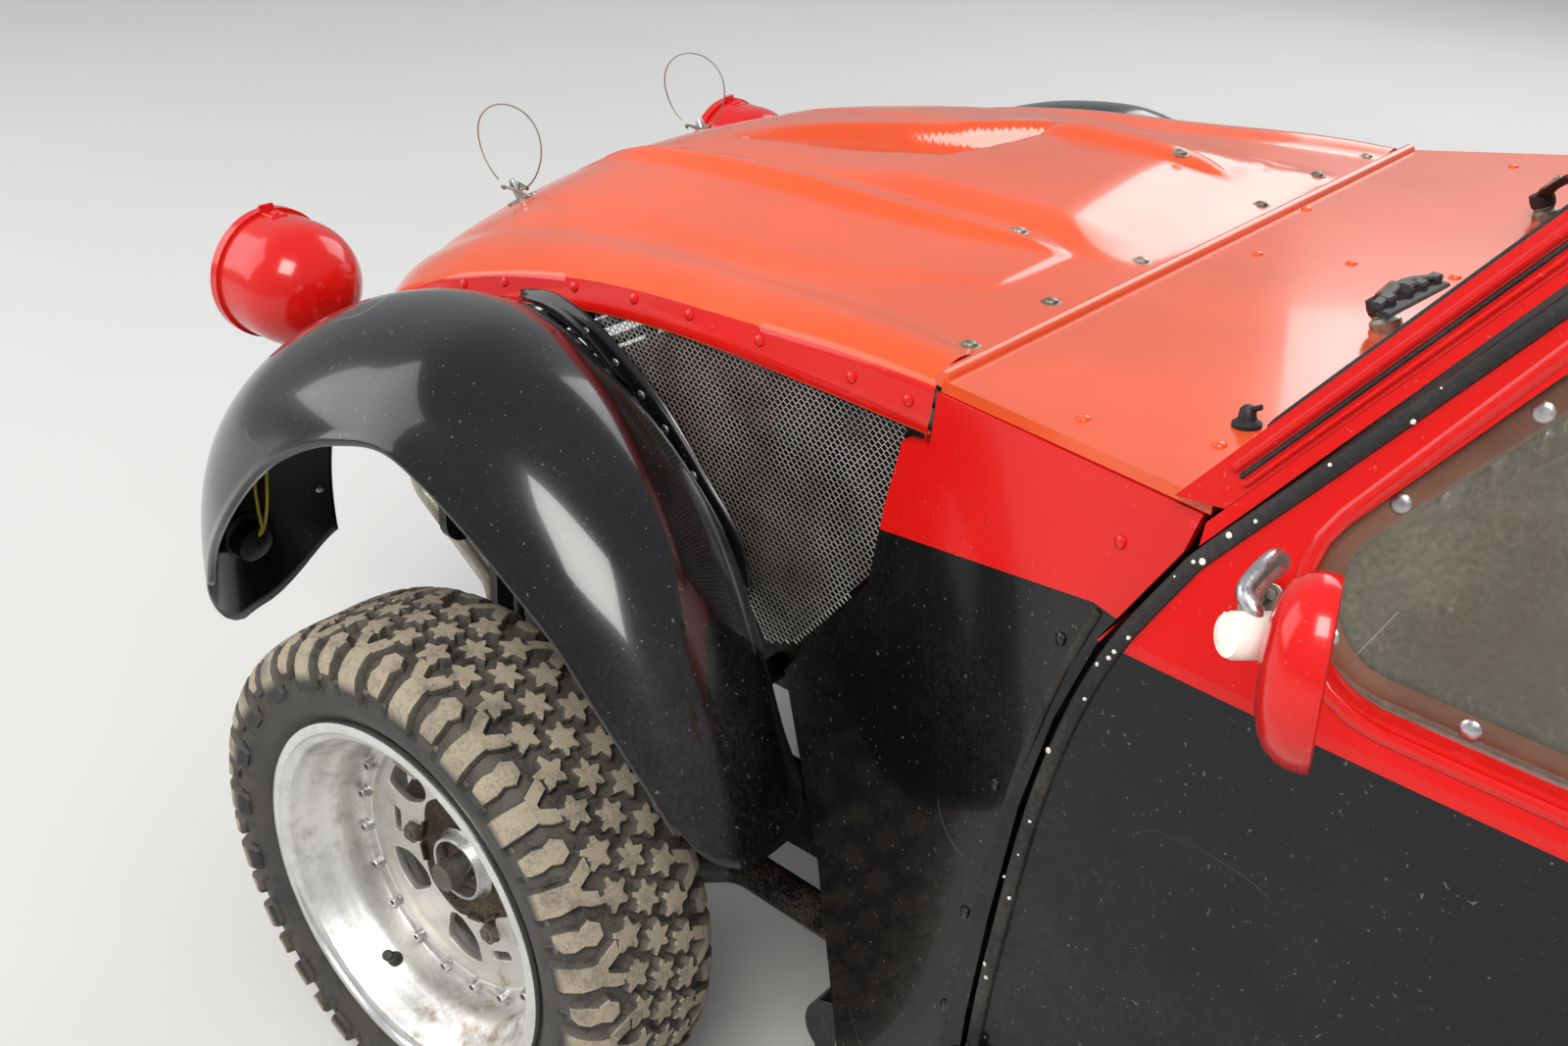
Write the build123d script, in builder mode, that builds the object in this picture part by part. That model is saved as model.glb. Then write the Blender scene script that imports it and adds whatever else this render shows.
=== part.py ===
from build123d import *
from math import asin, cos, degrees, radians, sin, sqrt
import os

os.makedirs("parts", exist_ok=True)

# Rally car in millimetres: +X forward, +Y left, +Z up, the ground at zero height
# and the origin under the middle of the overall length.
# Places along the car are given from an axle: front(dx) and rear(dx) turn them into X.
WHEELBASE = 2400
FRONT_REACH = 625
REAR_REACH = 755
TRACK = 1354
WHEEL_Z = 300
TYRE_R = 300
TYRE_W = 176
RIM_R = 208
RIM_W = 168
FIT = 0.3
MOVE_GAP = 6.0
BOTH = (1, -1)

AXLE_F = (FRONT_REACH + WHEELBASE + REAR_REACH) / 2 - FRONT_REACH
AXLE_R = AXLE_F - WHEELBASE
WHEEL_Y = TRACK / 2
WHEEL_IN = WHEEL_Y - TYRE_W / 2
WING_LIP_Y = WHEEL_Y + 65


def front(dx):
    return AXLE_F + dx


def rear(dx):
    return AXLE_R + dx


def side_prism(outline, mode, radius=0.0):
    """Side-view outline in X and Z, swept across the whole car."""
    with BuildSketch(Plane.XZ) as region:
        with BuildLine():
            if radius:
                FilletPolyline(*outline, radius=radius, close=True)
            else:
                Polyline(*outline, close=True)
        make_face()
    extrude(region.sketch, amount=1200, both=True, mode=mode)


def plan_prism(outline, mode, radius=0.0):
    """Plan-view outline in X and Y, swept through the whole height."""
    with BuildSketch(Plane.XY) as region:
        with BuildLine():
            if radius:
                FilletPolyline(*outline, radius=radius, close=True)
            else:
                Polyline(*outline, close=True)
        make_face()
    extrude(region.sketch, amount=2000, mode=mode)


def tube(points, radius, bend, mode=Mode.ADD):
    """Round tube along straight runs joined by arcs of one bend radius."""
    with BuildLine() as path:
        if len(points) == 2:
            Line(*points)
        else:
            FilletPolyline(*points, radius=bend)
    with BuildSketch(Plane(origin=path.line @ 0, z_dir=path.line % 0)) as ring:
        Circle(radius)
    sweep(ring.sketch, path=path.line, mode=mode)


def save(part, label):
    part.label = label
    export_step(part, f"parts/{label}.step")


# Chassis: a flat platform, rails ahead and behind, and two cross tubes for the arms
FLOOR_Z = 275
FLOOR_T = 6
PLATFORM_LOW = 215
PLATFORM_HALF = WHEEL_IN - 149
PLATFORM_FRONT = -450
PLATFORM_REAR = -1950
RAIL_Y = 280
RAIL_W = 60
RAIL_LOW = 205
RAIL_HIGH = 277
RAIL_NOSE = 400
RAIL_TAIL = -550
RAIL_TAIL_Z = 360
RAIL_TAIL_H = 70
CROSS_Z = 225
CROSS_R = 30
CROSS_HALF = WHEEL_IN - 203
CROSS_FRONT = -400
CROSS_REAR = 400
WING_STAY_X = 352
WING_STAY_Y = WHEEL_IN - 88
WING_STAY_Z = 714
platform_top = FLOOR_Z - FLOOR_T

with BuildPart() as chassis_frame:
    with BuildSketch(Plane.YZ.offset(front(PLATFORM_REAR))):
        with BuildLine():
            Polyline(
                (-PLATFORM_HALF, PLATFORM_LOW),
                (-PLATFORM_HALF + 130, PLATFORM_LOW),
                (-PLATFORM_HALF + 150, PLATFORM_LOW + 22),
                (PLATFORM_HALF - 150, PLATFORM_LOW + 22),
                (PLATFORM_HALF - 130, PLATFORM_LOW),
                (PLATFORM_HALF, PLATFORM_LOW),
                (PLATFORM_HALF, platform_top),
                (-PLATFORM_HALF, platform_top),
                close=True,
            )
        make_face()
    extrude(amount=PLATFORM_FRONT - PLATFORM_REAR)
    for side in BOTH:
        with BuildSketch(Plane.XZ.offset(-side * RAIL_Y)):
            with BuildLine():
                Polyline(
                    (front(PLATFORM_FRONT) - 60, PLATFORM_LOW + 22),
                    (front(PLATFORM_FRONT), RAIL_LOW),
                    (front(RAIL_NOSE), RAIL_LOW),
                    (front(RAIL_NOSE), RAIL_HIGH),
                    (front(PLATFORM_FRONT) + 20, RAIL_HIGH),
                    (front(PLATFORM_FRONT) + 10, platform_top),
                    (front(PLATFORM_FRONT) - 60, platform_top),
                    close=True,
                )
            make_face()
        extrude(amount=RAIL_W / 2, both=True)
        with BuildSketch(Plane.XZ.offset(-side * RAIL_Y)):
            with BuildLine():
                Polyline(
                    (front(PLATFORM_REAR) + 60, PLATFORM_LOW + 22),
                    (rear(CROSS_REAR) - 60, PLATFORM_LOW + 10),
                    (rear(RAIL_TAIL), RAIL_TAIL_Z),
                    (rear(RAIL_TAIL), RAIL_TAIL_Z + RAIL_TAIL_H),
                    (rear(CROSS_REAR) - 80, platform_top),
                    (front(PLATFORM_REAR) + 60, platform_top),
                    close=True,
                )
            make_face()
        extrude(amount=RAIL_W / 2, both=True)
    for x in (front(CROSS_FRONT), rear(CROSS_REAR)):
        with BuildSketch(Plane.XZ.offset(-CROSS_HALF)):
            with Locations((x, CROSS_Z)):
                Circle(CROSS_R)
        extrude(amount=2 * CROSS_HALF)
    with Locations((rear(CROSS_REAR), 0, CROSS_Z)):
        Box(100, 2 * RAIL_Y, 30)
    # Stays from the rails up to the front wings
    for side in BOTH:
        tube(
            (
                (front(WING_STAY_X) - 14, side * RAIL_Y, RAIL_HIGH - 10),
                (front(WING_STAY_X) - 14, side * RAIL_Y, 420),
                (front(WING_STAY_X) - 14, side * (WING_STAY_Y - 31), WING_STAY_Z - 40),
                (front(WING_STAY_X) - 14, side * (WING_STAY_Y - 10), WING_STAY_Z),
            ),
            8,
            30,
        )
        with Locations((front(WING_STAY_X), side * (WING_STAY_Y - 5), WING_STAY_Z)):
            Box(30, 10, 30)
save(chassis_frame.part, "chassis_frame")

# Body stations: half width at the sill, at the belt and at the cant rail, with heights
# (x, half_sill, half_belt, z_belt, half_cant, z_cant, z_crown, z_bottom)
CABIN = (
    (front(-540), WHEEL_IN + 61, WHEEL_IN + 47, 880, WHEEL_IN - 54, 1300, 1350, platform_top),
    (front(-1300), WHEEL_IN + 79, WHEEL_IN + 75, 880, WHEEL_IN - 29, 1300, 1385, platform_top),
    (rear(350), WHEEL_IN - 11, WHEEL_IN + 11, 868, WHEEL_IN - 54, 1190, 1280, platform_top),
)
TAIL = (
    (rear(350), WHEEL_IN - 11, WHEEL_IN + 11, 868, WHEEL_IN - 54, 1190, 1280, FLOOR_Z),
    (rear(-180), WHEEL_IN - 33, WHEEL_IN - 27, 815, WHEEL_IN - 77, 995, 1080, 425),
    (rear(-710), WHEEL_IN - 69, WHEEL_IN - 64, 640, WHEEL_IN - 89, 690, 742, 440),
)
WALL = 30
ROOF_T = 25
PANE_T = 5
PANE_INSET = 12


def body_skin(stations, inset, wall=0):
    """Body form, that far inside its outer face: one wall, or solid where wall is zero."""

    def corners(row, out):
        x, sill, belt, z_belt, cant, z_cant, z_crown, z_bottom = row
        drop = out * ROOF_T / WALL
        side = ((sill - out, z_bottom), (belt - out, z_belt), (cant - out, z_cant - drop * 0.4))
        return side, (0, z_crown - drop), [(-y, z) for y, z in side]

    with BuildPart() as skin:
        for row in stations:
            left, crown, right = corners(row, inset)
            with BuildSketch(Plane.YZ.offset(row[0])):
                with BuildLine():
                    Polyline(*left)
                    ThreePointArc(left[2], crown, right[2])
                    if wall:
                        low, low_crown, high = corners(row, inset + wall)
                        Polyline(right[2], right[1], right[0], high[0], high[1], high[2])
                        ThreePointArc(high[2], low_crown, low[2])
                        Polyline(low[2], low[1], low[0], left[0])
                    else:
                        Polyline(right[2], right[1], right[0], left[0])
                make_face()
        loft()
    return skin.part


def station(rows, x, column):
    """Value of one column of the body table at X, on the curve through its three rows."""
    total = 0
    for row in rows:
        share = 1
        for other in rows:
            if other is not row:
                share *= (x - other[0]) / (row[0] - other[0])
        total += share * row[column]
    return total


cabin_wall = body_skin(CABIN, 0, WALL)
cabin_solid = body_skin(CABIN, 0)
cabin_seat = body_skin(CABIN, -FIT)
cabin_pane = body_skin(CABIN, PANE_INSET, PANE_T)
tail_wall = body_skin(TAIL, 0, WALL)
tail_inside = body_skin(TAIL, WALL + FIT)
tail_seat = body_skin(TAIL, -FIT)
tail_pane = body_skin(TAIL, PANE_INSET, PANE_T)

# Floor: one sheet from side to side, which carries the sides
with BuildPart() as floor_pan:
    add(cabin_solid)
    side_prism(
        (
            (front(-446), platform_top),
            (front(-446), FLOOR_Z),
            (rear(352), FLOOR_Z),
            (rear(352), platform_top),
        ),
        Mode.INTERSECT,
    )
save(floor_pan.part, "floor_pan")

# Windscreen plane: its foot on the scuttle and its rake from the ground
SCREEN_FOOT = (-679, 976)
SCREEN_RAKE = 52.5
SCREEN_T = 26
rake_x = -cos(radians(SCREEN_RAKE))
rake_z = sin(radians(SCREEN_RAKE))


def on_screen(depth, z):
    """Point of the side view at height z, that far behind the windscreen's face."""
    foot_x = front(SCREEN_FOOT[0]) - depth * rake_z
    foot_z = SCREEN_FOOT[1] + depth * rake_x
    return (foot_x + (z - foot_z) * rake_x / rake_z, z)


# Scuttle: the fixed panel between bonnet and windscreen, and its flat sides
SEAM = -427
SEAM_Z = 955
SEAM_HALF = WHEEL_IN - 72
SCUTTLE_REAR = -728
SCUTTLE_REAR_Z = 990
SCUTTLE_T = 10
BEAD_X = -431
BEAD_R = 7
PANEL_T = 12
PANEL_SPLAY = 0.3666
PANEL_LEAN = 0.1306
SEAM_GAP = 6


def panel_y(dx, z):
    """Outer face of the flat scuttle side, as a distance from the middle."""
    return SEAM_HALF - PANEL_SPLAY * (dx - SEAM) - PANEL_LEAN * (z - SEAM_Z)


def scuttle_z(dx):
    """Height of the scuttle's upper face."""
    share = (SEAM - SEAM_GAP - dx) / (SEAM - SEAM_GAP - SCUTTLE_REAR)
    return SEAM_Z + share * (SCUTTLE_REAR_Z - SEAM_Z)


with BuildPart() as scuttle_top:
    side_prism(
        (
            (front(SEAM - SEAM_GAP), SEAM_Z),
            (front(SCUTTLE_REAR), SCUTTLE_REAR_Z),
            (front(SCUTTLE_REAR), SCUTTLE_REAR_Z - SCUTTLE_T),
            (front(SEAM - SEAM_GAP), SEAM_Z - SCUTTLE_T),
        ),
        Mode.ADD,
    )
    plan_prism(
        (
            (front(SEAM - SEAM_GAP), SEAM_HALF),
            (front(-711), panel_y(-711, 987)),
            (front(-711), WHEEL_IN - 3),
            (front(SCUTTLE_REAR), WHEEL_IN - 3),
            (front(SCUTTLE_REAR), 3 - WHEEL_IN),
            (front(-711), 3 - WHEEL_IN),
            (front(-711), -panel_y(-711, 987)),
            (front(SEAM - SEAM_GAP), -SEAM_HALF),
        ),
        Mode.INTERSECT,
    )
    with BuildSketch(Plane.XZ.offset(2 - SEAM_HALF)):
        with Locations((front(BEAD_X), SEAM_Z)):
            Circle(BEAD_R)
    extrude(amount=2 * SEAM_HALF - 4)
save(scuttle_top.part, "scuttle_top")

# (dx, z) round the side panel, from the seam's corner
SIDE_PANEL = (
    (-431, 944),
    (-706, 976),
    (-698, 945),
    (-645, 850),
    (-618, 734),
    (-592, 560),
    (-588, 427),
    (-588, FLOOR_Z),
    (-470, FLOOR_Z),
    (-455, 320),
    (-386, 465),
    (-292, 610),
    (-388, 753),
    (-392, 830),
    (-400, 890),
    (-434, 899),
)
with BuildPart() as scuttle_sides:
    for side in BOTH:
        face = Plane(
            origin=(front(SEAM), side * SEAM_HALF, SEAM_Z),
            x_dir=(1, -side * PANEL_SPLAY, 0),
            z_dir=(PANEL_SPLAY, side, PANEL_LEAN),
        )
        with BuildSketch(face):
            Rectangle(1600, 1800)
        extrude(amount=-PANEL_T)
    side_prism([(front(dx), z) for dx, z in SIDE_PANEL], Mode.INTERSECT)
save(scuttle_sides.part, "scuttle_sides")

BULKHEAD = -446
with BuildPart() as bulkhead:
    with BuildSketch(Plane.YZ.offset(front(BULKHEAD))):
        with BuildLine():
            foot = panel_y(BULKHEAD, FLOOR_Z) - PANEL_T * 1.1 - FIT
            head = panel_y(BULKHEAD, SEAM_Z - SCUTTLE_T) - PANEL_T * 1.1 - FIT
            top = SEAM_Z - SCUTTLE_T - FIT
            Polyline((foot, FLOOR_Z), (head, top), (-head, top), (-foot, FLOOR_Z), close=True)
        make_face()
    extrude(amount=-PANEL_T)
save(bulkhead.part, "bulkhead")

# Windscreen frame: pillars, header and foot rail in one raked slab of the body's form
SCREEN_LOW = 1012
SCREEN_HIGH = 1288
SCREEN_LOW_HALF = WHEEL_IN - 31
SCREEN_HIGH_HALF = WHEEL_IN - 111
screen_plane = Plane(
    origin=(front(SCREEN_FOOT[0]), 0, SCREEN_FOOT[1]),
    x_dir=(0, 1, 0),
    z_dir=(rake_z, 0, -rake_x),
)


def screen_outline(trim):
    """Windscreen opening in its own plane, smaller all round by the trim."""
    low = (SCREEN_LOW - SCREEN_FOOT[1]) / rake_z + trim
    high = (SCREEN_HIGH - SCREEN_FOOT[1]) / rake_z - trim
    with BuildSketch(screen_plane) as opening:
        with BuildLine():
            FilletPolyline(
                (SCREEN_LOW_HALF - trim, low),
                (SCREEN_HIGH_HALF - trim, high),
                (-SCREEN_HIGH_HALF + trim, high),
                (-SCREEN_LOW_HALF + trim, low),
                radius=38,
                close=True,
            )
        make_face()
    return opening.sketch


with BuildPart() as windscreen_frame:
    add(cabin_solid)
    side_prism(
        (
            on_screen(0, scuttle_z(-687) + FIT),
            on_screen(0, 1500),
            on_screen(SCREEN_T, 1500),
            on_screen(SCREEN_T, scuttle_z(-722) + FIT),
        ),
        Mode.INTERSECT,
    )
    extrude(screen_outline(0), amount=60, both=True, mode=Mode.SUBTRACT)
save(windscreen_frame.part, "windscreen_frame")

# Doors: the front edge follows the side panel and then the windscreen pillar
DOOR_GAP = 6
DOOR_LOW = 300
DOOR_TOP = 1262
ROOF_LINE = 1298
DOOR_REAR = -1480
PILLAR_DEPTH = SCREEN_T + 12
pillar_foot = on_screen(PILLAR_DEPTH, 955)
door_edge = (
    (front(-612), DOOR_LOW),
    (front(-612), 485),
    (front(-618), 593),
    (front(-628), 706),
    (front(-644), 794),
    (front(-667), 868),
    pillar_foot,
    on_screen(PILLAR_DEPTH, DOOR_TOP),
    (front(DOOR_REAR), DOOR_TOP),
    (front(DOOR_REAR), DOOR_LOW),
)
door_hole = (
    (front(-612) + DOOR_GAP, DOOR_LOW - DOOR_GAP),
    (front(-612) + DOOR_GAP, 485),
    (front(-618) + DOOR_GAP, 593),
    (front(-628) + DOOR_GAP, 706),
    (front(-644) + DOOR_GAP, 794),
    (front(-667) + DOOR_GAP, 868),
    (pillar_foot[0] + DOOR_GAP, 950),
    on_screen(PILLAR_DEPTH - DOOR_GAP, DOOR_TOP + DOOR_GAP),
    (front(DOOR_REAR) - DOOR_GAP, DOOR_TOP + DOOR_GAP),
    (front(DOOR_REAR) - DOOR_GAP, DOOR_LOW - DOOR_GAP),
)
window_x = front(-726)
window_lean = -0.7295
WINDOW_LOW = 905
WINDOW_TOP = 1220


def window_outline(trim):
    top = WINDOW_TOP - trim
    return (
        (window_x - 1.7 * trim, WINDOW_LOW + trim),
        (window_x + (top - WINDOW_LOW) * window_lean - 1.3 * trim, top),
        (front(DOOR_REAR) + 48 + trim, top),
        (front(DOOR_REAR) + 48 + trim, WINDOW_LOW + trim),
    )


def quarter_outline(trim):
    fore = front(DOOR_REAR) - 72 - trim
    return (
        (fore, WINDOW_LOW + 20 + trim),
        (fore, WINDOW_TOP - trim),
        (front(-1740) + trim, WINDOW_TOP - trim),
        (front(-1930) + 2 * trim, WINDOW_LOW + 20 + trim),
    )


HINGE_X = -612
HINGE_Y = WHEEL_IN + 78
HINGE_R = 9
HINGE_PIN_R = 4
HINGE_H = 26
HINGE_Z = (335, 430)
MIRROR_Y = WHEEL_Y + 115
MIRROR_Z = 988
# (dx, half width, half height) from the bowl's front to its rim
MIRROR = (
    (-800, 20, 38),
    (-822, 40, 62),
    (-862, 44, 68),
)



def keep_side(side):
    """Keeps what lies on one side of the car's middle."""
    with Locations((0, side * WHEEL_Y, 0)):
        Box(2 * WHEELBASE, TRACK, 2 * WHEELBASE, mode=Mode.INTERSECT)


for side, word in ((1, "left"), (-1, "right")):
    with BuildPart() as door:
        add(cabin_wall)
        keep_side(side)
        side_prism(door_edge, Mode.INTERSECT)
        side_prism(window_outline(0), Mode.SUBTRACT, radius=66)
        for z in HINGE_Z:
            with Locations((front(HINGE_X) - 29, side * (HINGE_Y - 14), z + HINGE_H / 2 + 1)):
                Box(34, 20, HINGE_H)
            with Locations((front(HINGE_X) - 12, side * (HINGE_Y - 5), z + HINGE_H / 2 + 1)):
                Box(24, 10, HINGE_H)
            with Locations((front(HINGE_X), side * HINGE_Y, z + HINGE_H / 2 + 1)):
                Cylinder(HINGE_R, HINGE_H)
                Cylinder(HINGE_PIN_R + FIT, 3 * HINGE_H, mode=Mode.SUBTRACT)
    save(door.part, f"door_{word}")

    with BuildPart() as door_window:
        add(cabin_pane)
        keep_side(side)
        side_prism(window_outline(FIT), Mode.INTERSECT, radius=66)
    save(door_window.part, f"door_window_{word}")

    with BuildPart() as body_side:
        add(cabin_wall)
        keep_side(side)
        side_prism(
            (
                (front(-589), FLOOR_Z),
                (front(-589), 427),
                (front(-593), 560),
                (front(-619), 734),
                (front(-646), 850),
                (front(-713), 950),
                on_screen(SCREEN_T + FIT, 977),
                on_screen(SCREEN_T + FIT, ROOF_LINE),
                (front(-1300), ROOF_LINE),
                (front(-1700), ROOF_LINE - 34),
                (rear(350), ROOF_LINE - 108),
                (rear(350), FLOOR_Z),
            ),
            Mode.INTERSECT,
        )
        side_prism(door_hole, Mode.SUBTRACT)
        side_prism(quarter_outline(0), Mode.SUBTRACT, radius=40)
        for z in HINGE_Z:
            with Locations((front(HINGE_X) + 10, side * (HINGE_Y - 14), z - HINGE_H / 2 - 1)):
                Box(20, 20, HINGE_H)
            with Locations((front(HINGE_X), side * HINGE_Y, z - HINGE_H / 2 - 1)):
                Cylinder(HINGE_R, HINGE_H)
            with Locations((front(HINGE_X), side * HINGE_Y, z)):
                Cylinder(HINGE_PIN_R, 2 * HINGE_H)
    save(body_side.part, f"body_side_{word}")

    with BuildPart() as mirror:
        for dx, half_width, half_height in MIRROR:
            with BuildSketch(Plane.YZ.offset(front(dx))):
                with Locations((side * MIRROR_Y, MIRROR_Z)):
                    Ellipse(half_width, half_height)
        loft()
        tube(
            (
                (front(-835), side * (WHEEL_Y - 37), 905),
                (front(-835), side * (MIRROR_Y - 72), 930),
                (front(-836), side * (MIRROR_Y - 12), 965),
            ),
            9,
            40,
        )
        add(cabin_seat, mode=Mode.SUBTRACT)
    save(mirror.part, f"mirror_{word}")

# Roof panel from the windscreen header to the tail
with BuildPart() as roof_panel:
    add(cabin_wall)
    side_prism(
        (
            on_screen(SCREEN_T + FIT, ROOF_LINE + FIT),
            on_screen(SCREEN_T + FIT, 1500),
            (rear(350), 1500),
            (rear(350), ROOF_LINE - 108 + FIT),
            (front(-1700), ROOF_LINE - 34 + FIT),
            (front(-1300), ROOF_LINE + FIT),
        ),
        Mode.INTERSECT,
    )
save(roof_panel.part, "roof_panel")

# Tail: one panel with the rear window and the boot opening
REAR_WINDOW = (270, -75, WHEEL_IN - 189)
BOOT_FRONT = -145
BOOT_REAR = -640
BOOT_HALF = WHEEL_IN - 169


def boot_outline(gap):
    return (
        (rear(BOOT_FRONT) + gap, BOOT_HALF + gap),
        (rear(BOOT_REAR) - gap, BOOT_HALF + gap),
        (rear(BOOT_REAR) - gap, -BOOT_HALF - gap),
        (rear(BOOT_FRONT) + gap, -BOOT_HALF - gap),
    )


def rear_window_outline(trim):
    fore, aft, half_width = REAR_WINDOW
    return (
        (rear(fore) - trim, half_width - trim),
        (rear(aft) + trim, half_width - 20 - trim),
        (rear(aft) + trim, -half_width + 20 + trim),
        (rear(fore) - trim, -half_width + trim),
    )


BOOT_HINGE_X = rear(BOOT_FRONT) + DOOR_GAP / 2
BOOT_HINGE_Z = station(TAIL, BOOT_HINGE_X, 6) + 10
BOOT_HINGE_Y = 130


def boot_hinge(step):
    """Two hinge barrels with their leaves, beside each other along the boot's top edge."""
    for side in BOTH:
        y = side * BOOT_HINGE_Y + step * (HINGE_H / 2 + 1)
        with BuildSketch(Plane.XZ.offset(-y - HINGE_H / 2)) as barrel:
            with Locations((BOOT_HINGE_X, BOOT_HINGE_Z)):
                Circle(HINGE_R)
        extrude(barrel.sketch, amount=HINGE_H)
        with Locations((BOOT_HINGE_X + step * 15, y, BOOT_HINGE_Z - 20)):
            Box(22, HINGE_H, 30)


with BuildPart() as tail_panel:
    add(tail_wall)
    with Locations((rear(350) - WHEELBASE - FIT, 0, 0)):
        Box(2 * WHEELBASE, 2 * TRACK, 2 * WHEELBASE, mode=Mode.INTERSECT)
    plan_prism(boot_outline(DOOR_GAP), Mode.SUBTRACT, radius=30)
    plan_prism(rear_window_outline(0), Mode.SUBTRACT, radius=40)
    with BuildSketch(Plane.YZ.offset(rear(-710))):
        with BuildLine():
            half_sill, half_belt, z_belt, half_cant, z_cant, z_crown, z_low = TAIL[-1][1:]
            Polyline((half_sill, z_low), (half_belt, z_belt), (half_cant, z_cant))
            ThreePointArc((half_cant, z_cant), (0, z_crown), (-half_cant, z_cant))
            Polyline((-half_cant, z_cant), (-half_belt, z_belt), (-half_sill, z_low), (half_sill, z_low))
        make_face()
    extrude(amount=PANEL_T)
    boot_hinge(1)
    with BuildSketch(Plane.XZ.offset(-BOOT_HINGE_Y - HINGE_H)):
        with Locations((BOOT_HINGE_X, BOOT_HINGE_Z)):
            Circle(HINGE_PIN_R)
    extrude(amount=2 * HINGE_H)
    with BuildSketch(Plane.XZ.offset(BOOT_HINGE_Y - HINGE_H)):
        with Locations((BOOT_HINGE_X, BOOT_HINGE_Z)):
            Circle(HINGE_PIN_R)
    extrude(amount=2 * HINGE_H)
save(tail_panel.part, "tail_panel")

with BuildPart() as boot_lid:
    add(tail_wall)
    side_prism(
        ((rear(0), 560), (rear(0), 1500), (rear(-700), 1500), (rear(-700), 560)),
        Mode.INTERSECT,
    )
    plan_prism(boot_outline(0), Mode.INTERSECT, radius=30)
    boot_hinge(-1)
    with BuildSketch(Plane.XZ.offset(-600)):
        with Locations((BOOT_HINGE_X, BOOT_HINGE_Z)):
            Circle(HINGE_PIN_R + FIT)
    extrude(amount=1200, mode=Mode.SUBTRACT)
save(boot_lid.part, "boot_lid")

# Boot floor with the wall behind the cabin
BOOT_FLOOR_Z = RAIL_TAIL_Z + RAIL_TAIL_H
REAR_WALL = 338
with BuildPart() as boot_floor:
    add(tail_inside)
    side_prism(
        (
            (rear(REAR_WALL), FLOOR_Z + 6),
            (rear(REAR_WALL), 860),
            (rear(REAR_WALL) - FLOOR_T, 860),
            (rear(REAR_WALL) - FLOOR_T, BOOT_FLOOR_Z + FLOOR_T),
            (rear(-710) + PANEL_T + FIT, BOOT_FLOOR_Z + FLOOR_T),
            (rear(-710) + PANEL_T + FIT, BOOT_FLOOR_Z),
            (rear(REAR_WALL) - FLOOR_T, BOOT_FLOOR_Z),
            (rear(REAR_WALL) - FLOOR_T, FLOOR_Z + 6),
        ),
        Mode.INTERSECT,
    )
save(boot_floor.part, "boot_floor")

# Fixed glass: windscreen, rear window and the quarter windows
with BuildPart() as rear_glass:
    add(tail_pane)
    side_prism(
        ((rear(-100), 900), (rear(-100), 1500), (rear(320), 1500), (rear(320), 900)),
        Mode.INTERSECT,
    )
    plan_prism(rear_window_outline(FIT), Mode.INTERSECT, radius=40)
with BuildPart() as quarter_glass:
    add(cabin_pane)
    side_prism(quarter_outline(FIT), Mode.INTERSECT, radius=40)
with BuildPart() as cabin_glass:
    extrude(screen_outline(FIT), amount=-PANE_INSET - PANE_T)
    extrude(screen_outline(FIT), amount=-PANE_INSET, mode=Mode.SUBTRACT)
    add(rear_glass.part)
    add(quarter_glass.part)
save(cabin_glass.part, "cabin_glass")

# Bonnet stations: (dx, hem height, and from the seam's half width: hem, shoulder, with
# the heights of shoulder and crown)
BONNET = (
    (BEAD_X + BEAD_R + 0.5, 905, 0, 62, 955, 957),
    (-290, 904, -9, 95, 950, 957),
    (-150, 901, -17, 117, 941, 955),
    (-30, 889, -24, 124, 934, 954),
    (80, 867, -30, 127, 922, 950),
    (165, 842, -36, 131, 906, 942),
    (240, 814, -41, 137, 884, 930),
    (340, 763, -65, 155, 838, 892),
    (420, 728, -118, 195, 794, 848),
    (475, 702, -172, 242, 752, 798),
)
BONNET_T = 8
SKIRT_H = 40
SHOULDER_BULGE = 0.2


def bonnet_form(inset, wall=0):
    """Bonnet form, that far inside its outer face: one wall, or solid where wall is zero."""

    def edge(row, out):
        dx, hem_z, hem_in, shoulder_in, shoulder_z, crown_z = row
        hem = (SEAM_HALF + hem_in - out, hem_z)
        skirt = (hem[0] - 6, hem_z + SKIRT_H - out / 2)
        shoulder = (SEAM_HALF - shoulder_in, shoulder_z - out)
        run = shoulder[0] - skirt[0]
        rise = shoulder[1] - skirt[1]
        middle = (
            (skirt[0] + shoulder[0]) / 2 + rise * SHOULDER_BULGE,
            (skirt[1] + shoulder[1]) / 2 - run * SHOULDER_BULGE,
        )
        return hem, skirt, middle, shoulder, (0, crown_z - out)

    def outer_line(row, out):
        hem, skirt, middle, shoulder, crown = edge(row, out)
        Polyline((-hem[0], hem[1]), (-skirt[0], skirt[1]))
        ThreePointArc((-skirt[0], skirt[1]), (-middle[0], middle[1]), (-shoulder[0], shoulder[1]))
        ThreePointArc((-shoulder[0], shoulder[1]), crown, shoulder)
        ThreePointArc(shoulder, middle, skirt)
        Polyline(skirt, hem)
        return hem

    with BuildPart() as form:
        for row in BONNET:
            with BuildSketch(Plane.YZ.offset(front(row[0]))):
                with BuildLine():
                    hem = outer_line(row, inset)
                    if wall:
                        low = outer_line(row, inset + wall)
                        Line(hem, low)
                        Line((-hem[0], hem[1]), (-low[0], low[1]))
                    else:
                        Line(hem, (-hem[0], hem[1]))
                make_face()
        loft(ruled=True)
    return form.part


# Raised ribs along the bonnet: (dx, y, half width, height of the bonnet there, rise)
RIB = (
    (-360, 180, 10, 955, 1),
    (-150, 180, 30, 952, 9),
    (80, 172, 34, 945, 12),
    (240, 158, 30, 923, 10),
    (350, 146, 14, 882, 2),
)
# Recess in the middle of the bonnet: its ends, its sides and its floor at both ends
SCOOP_FORE = 165
SCOOP_AFT = -100
SCOOP_SIDES = (-235, 75)
SCOOP_FLOOR = (944, 905)
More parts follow.
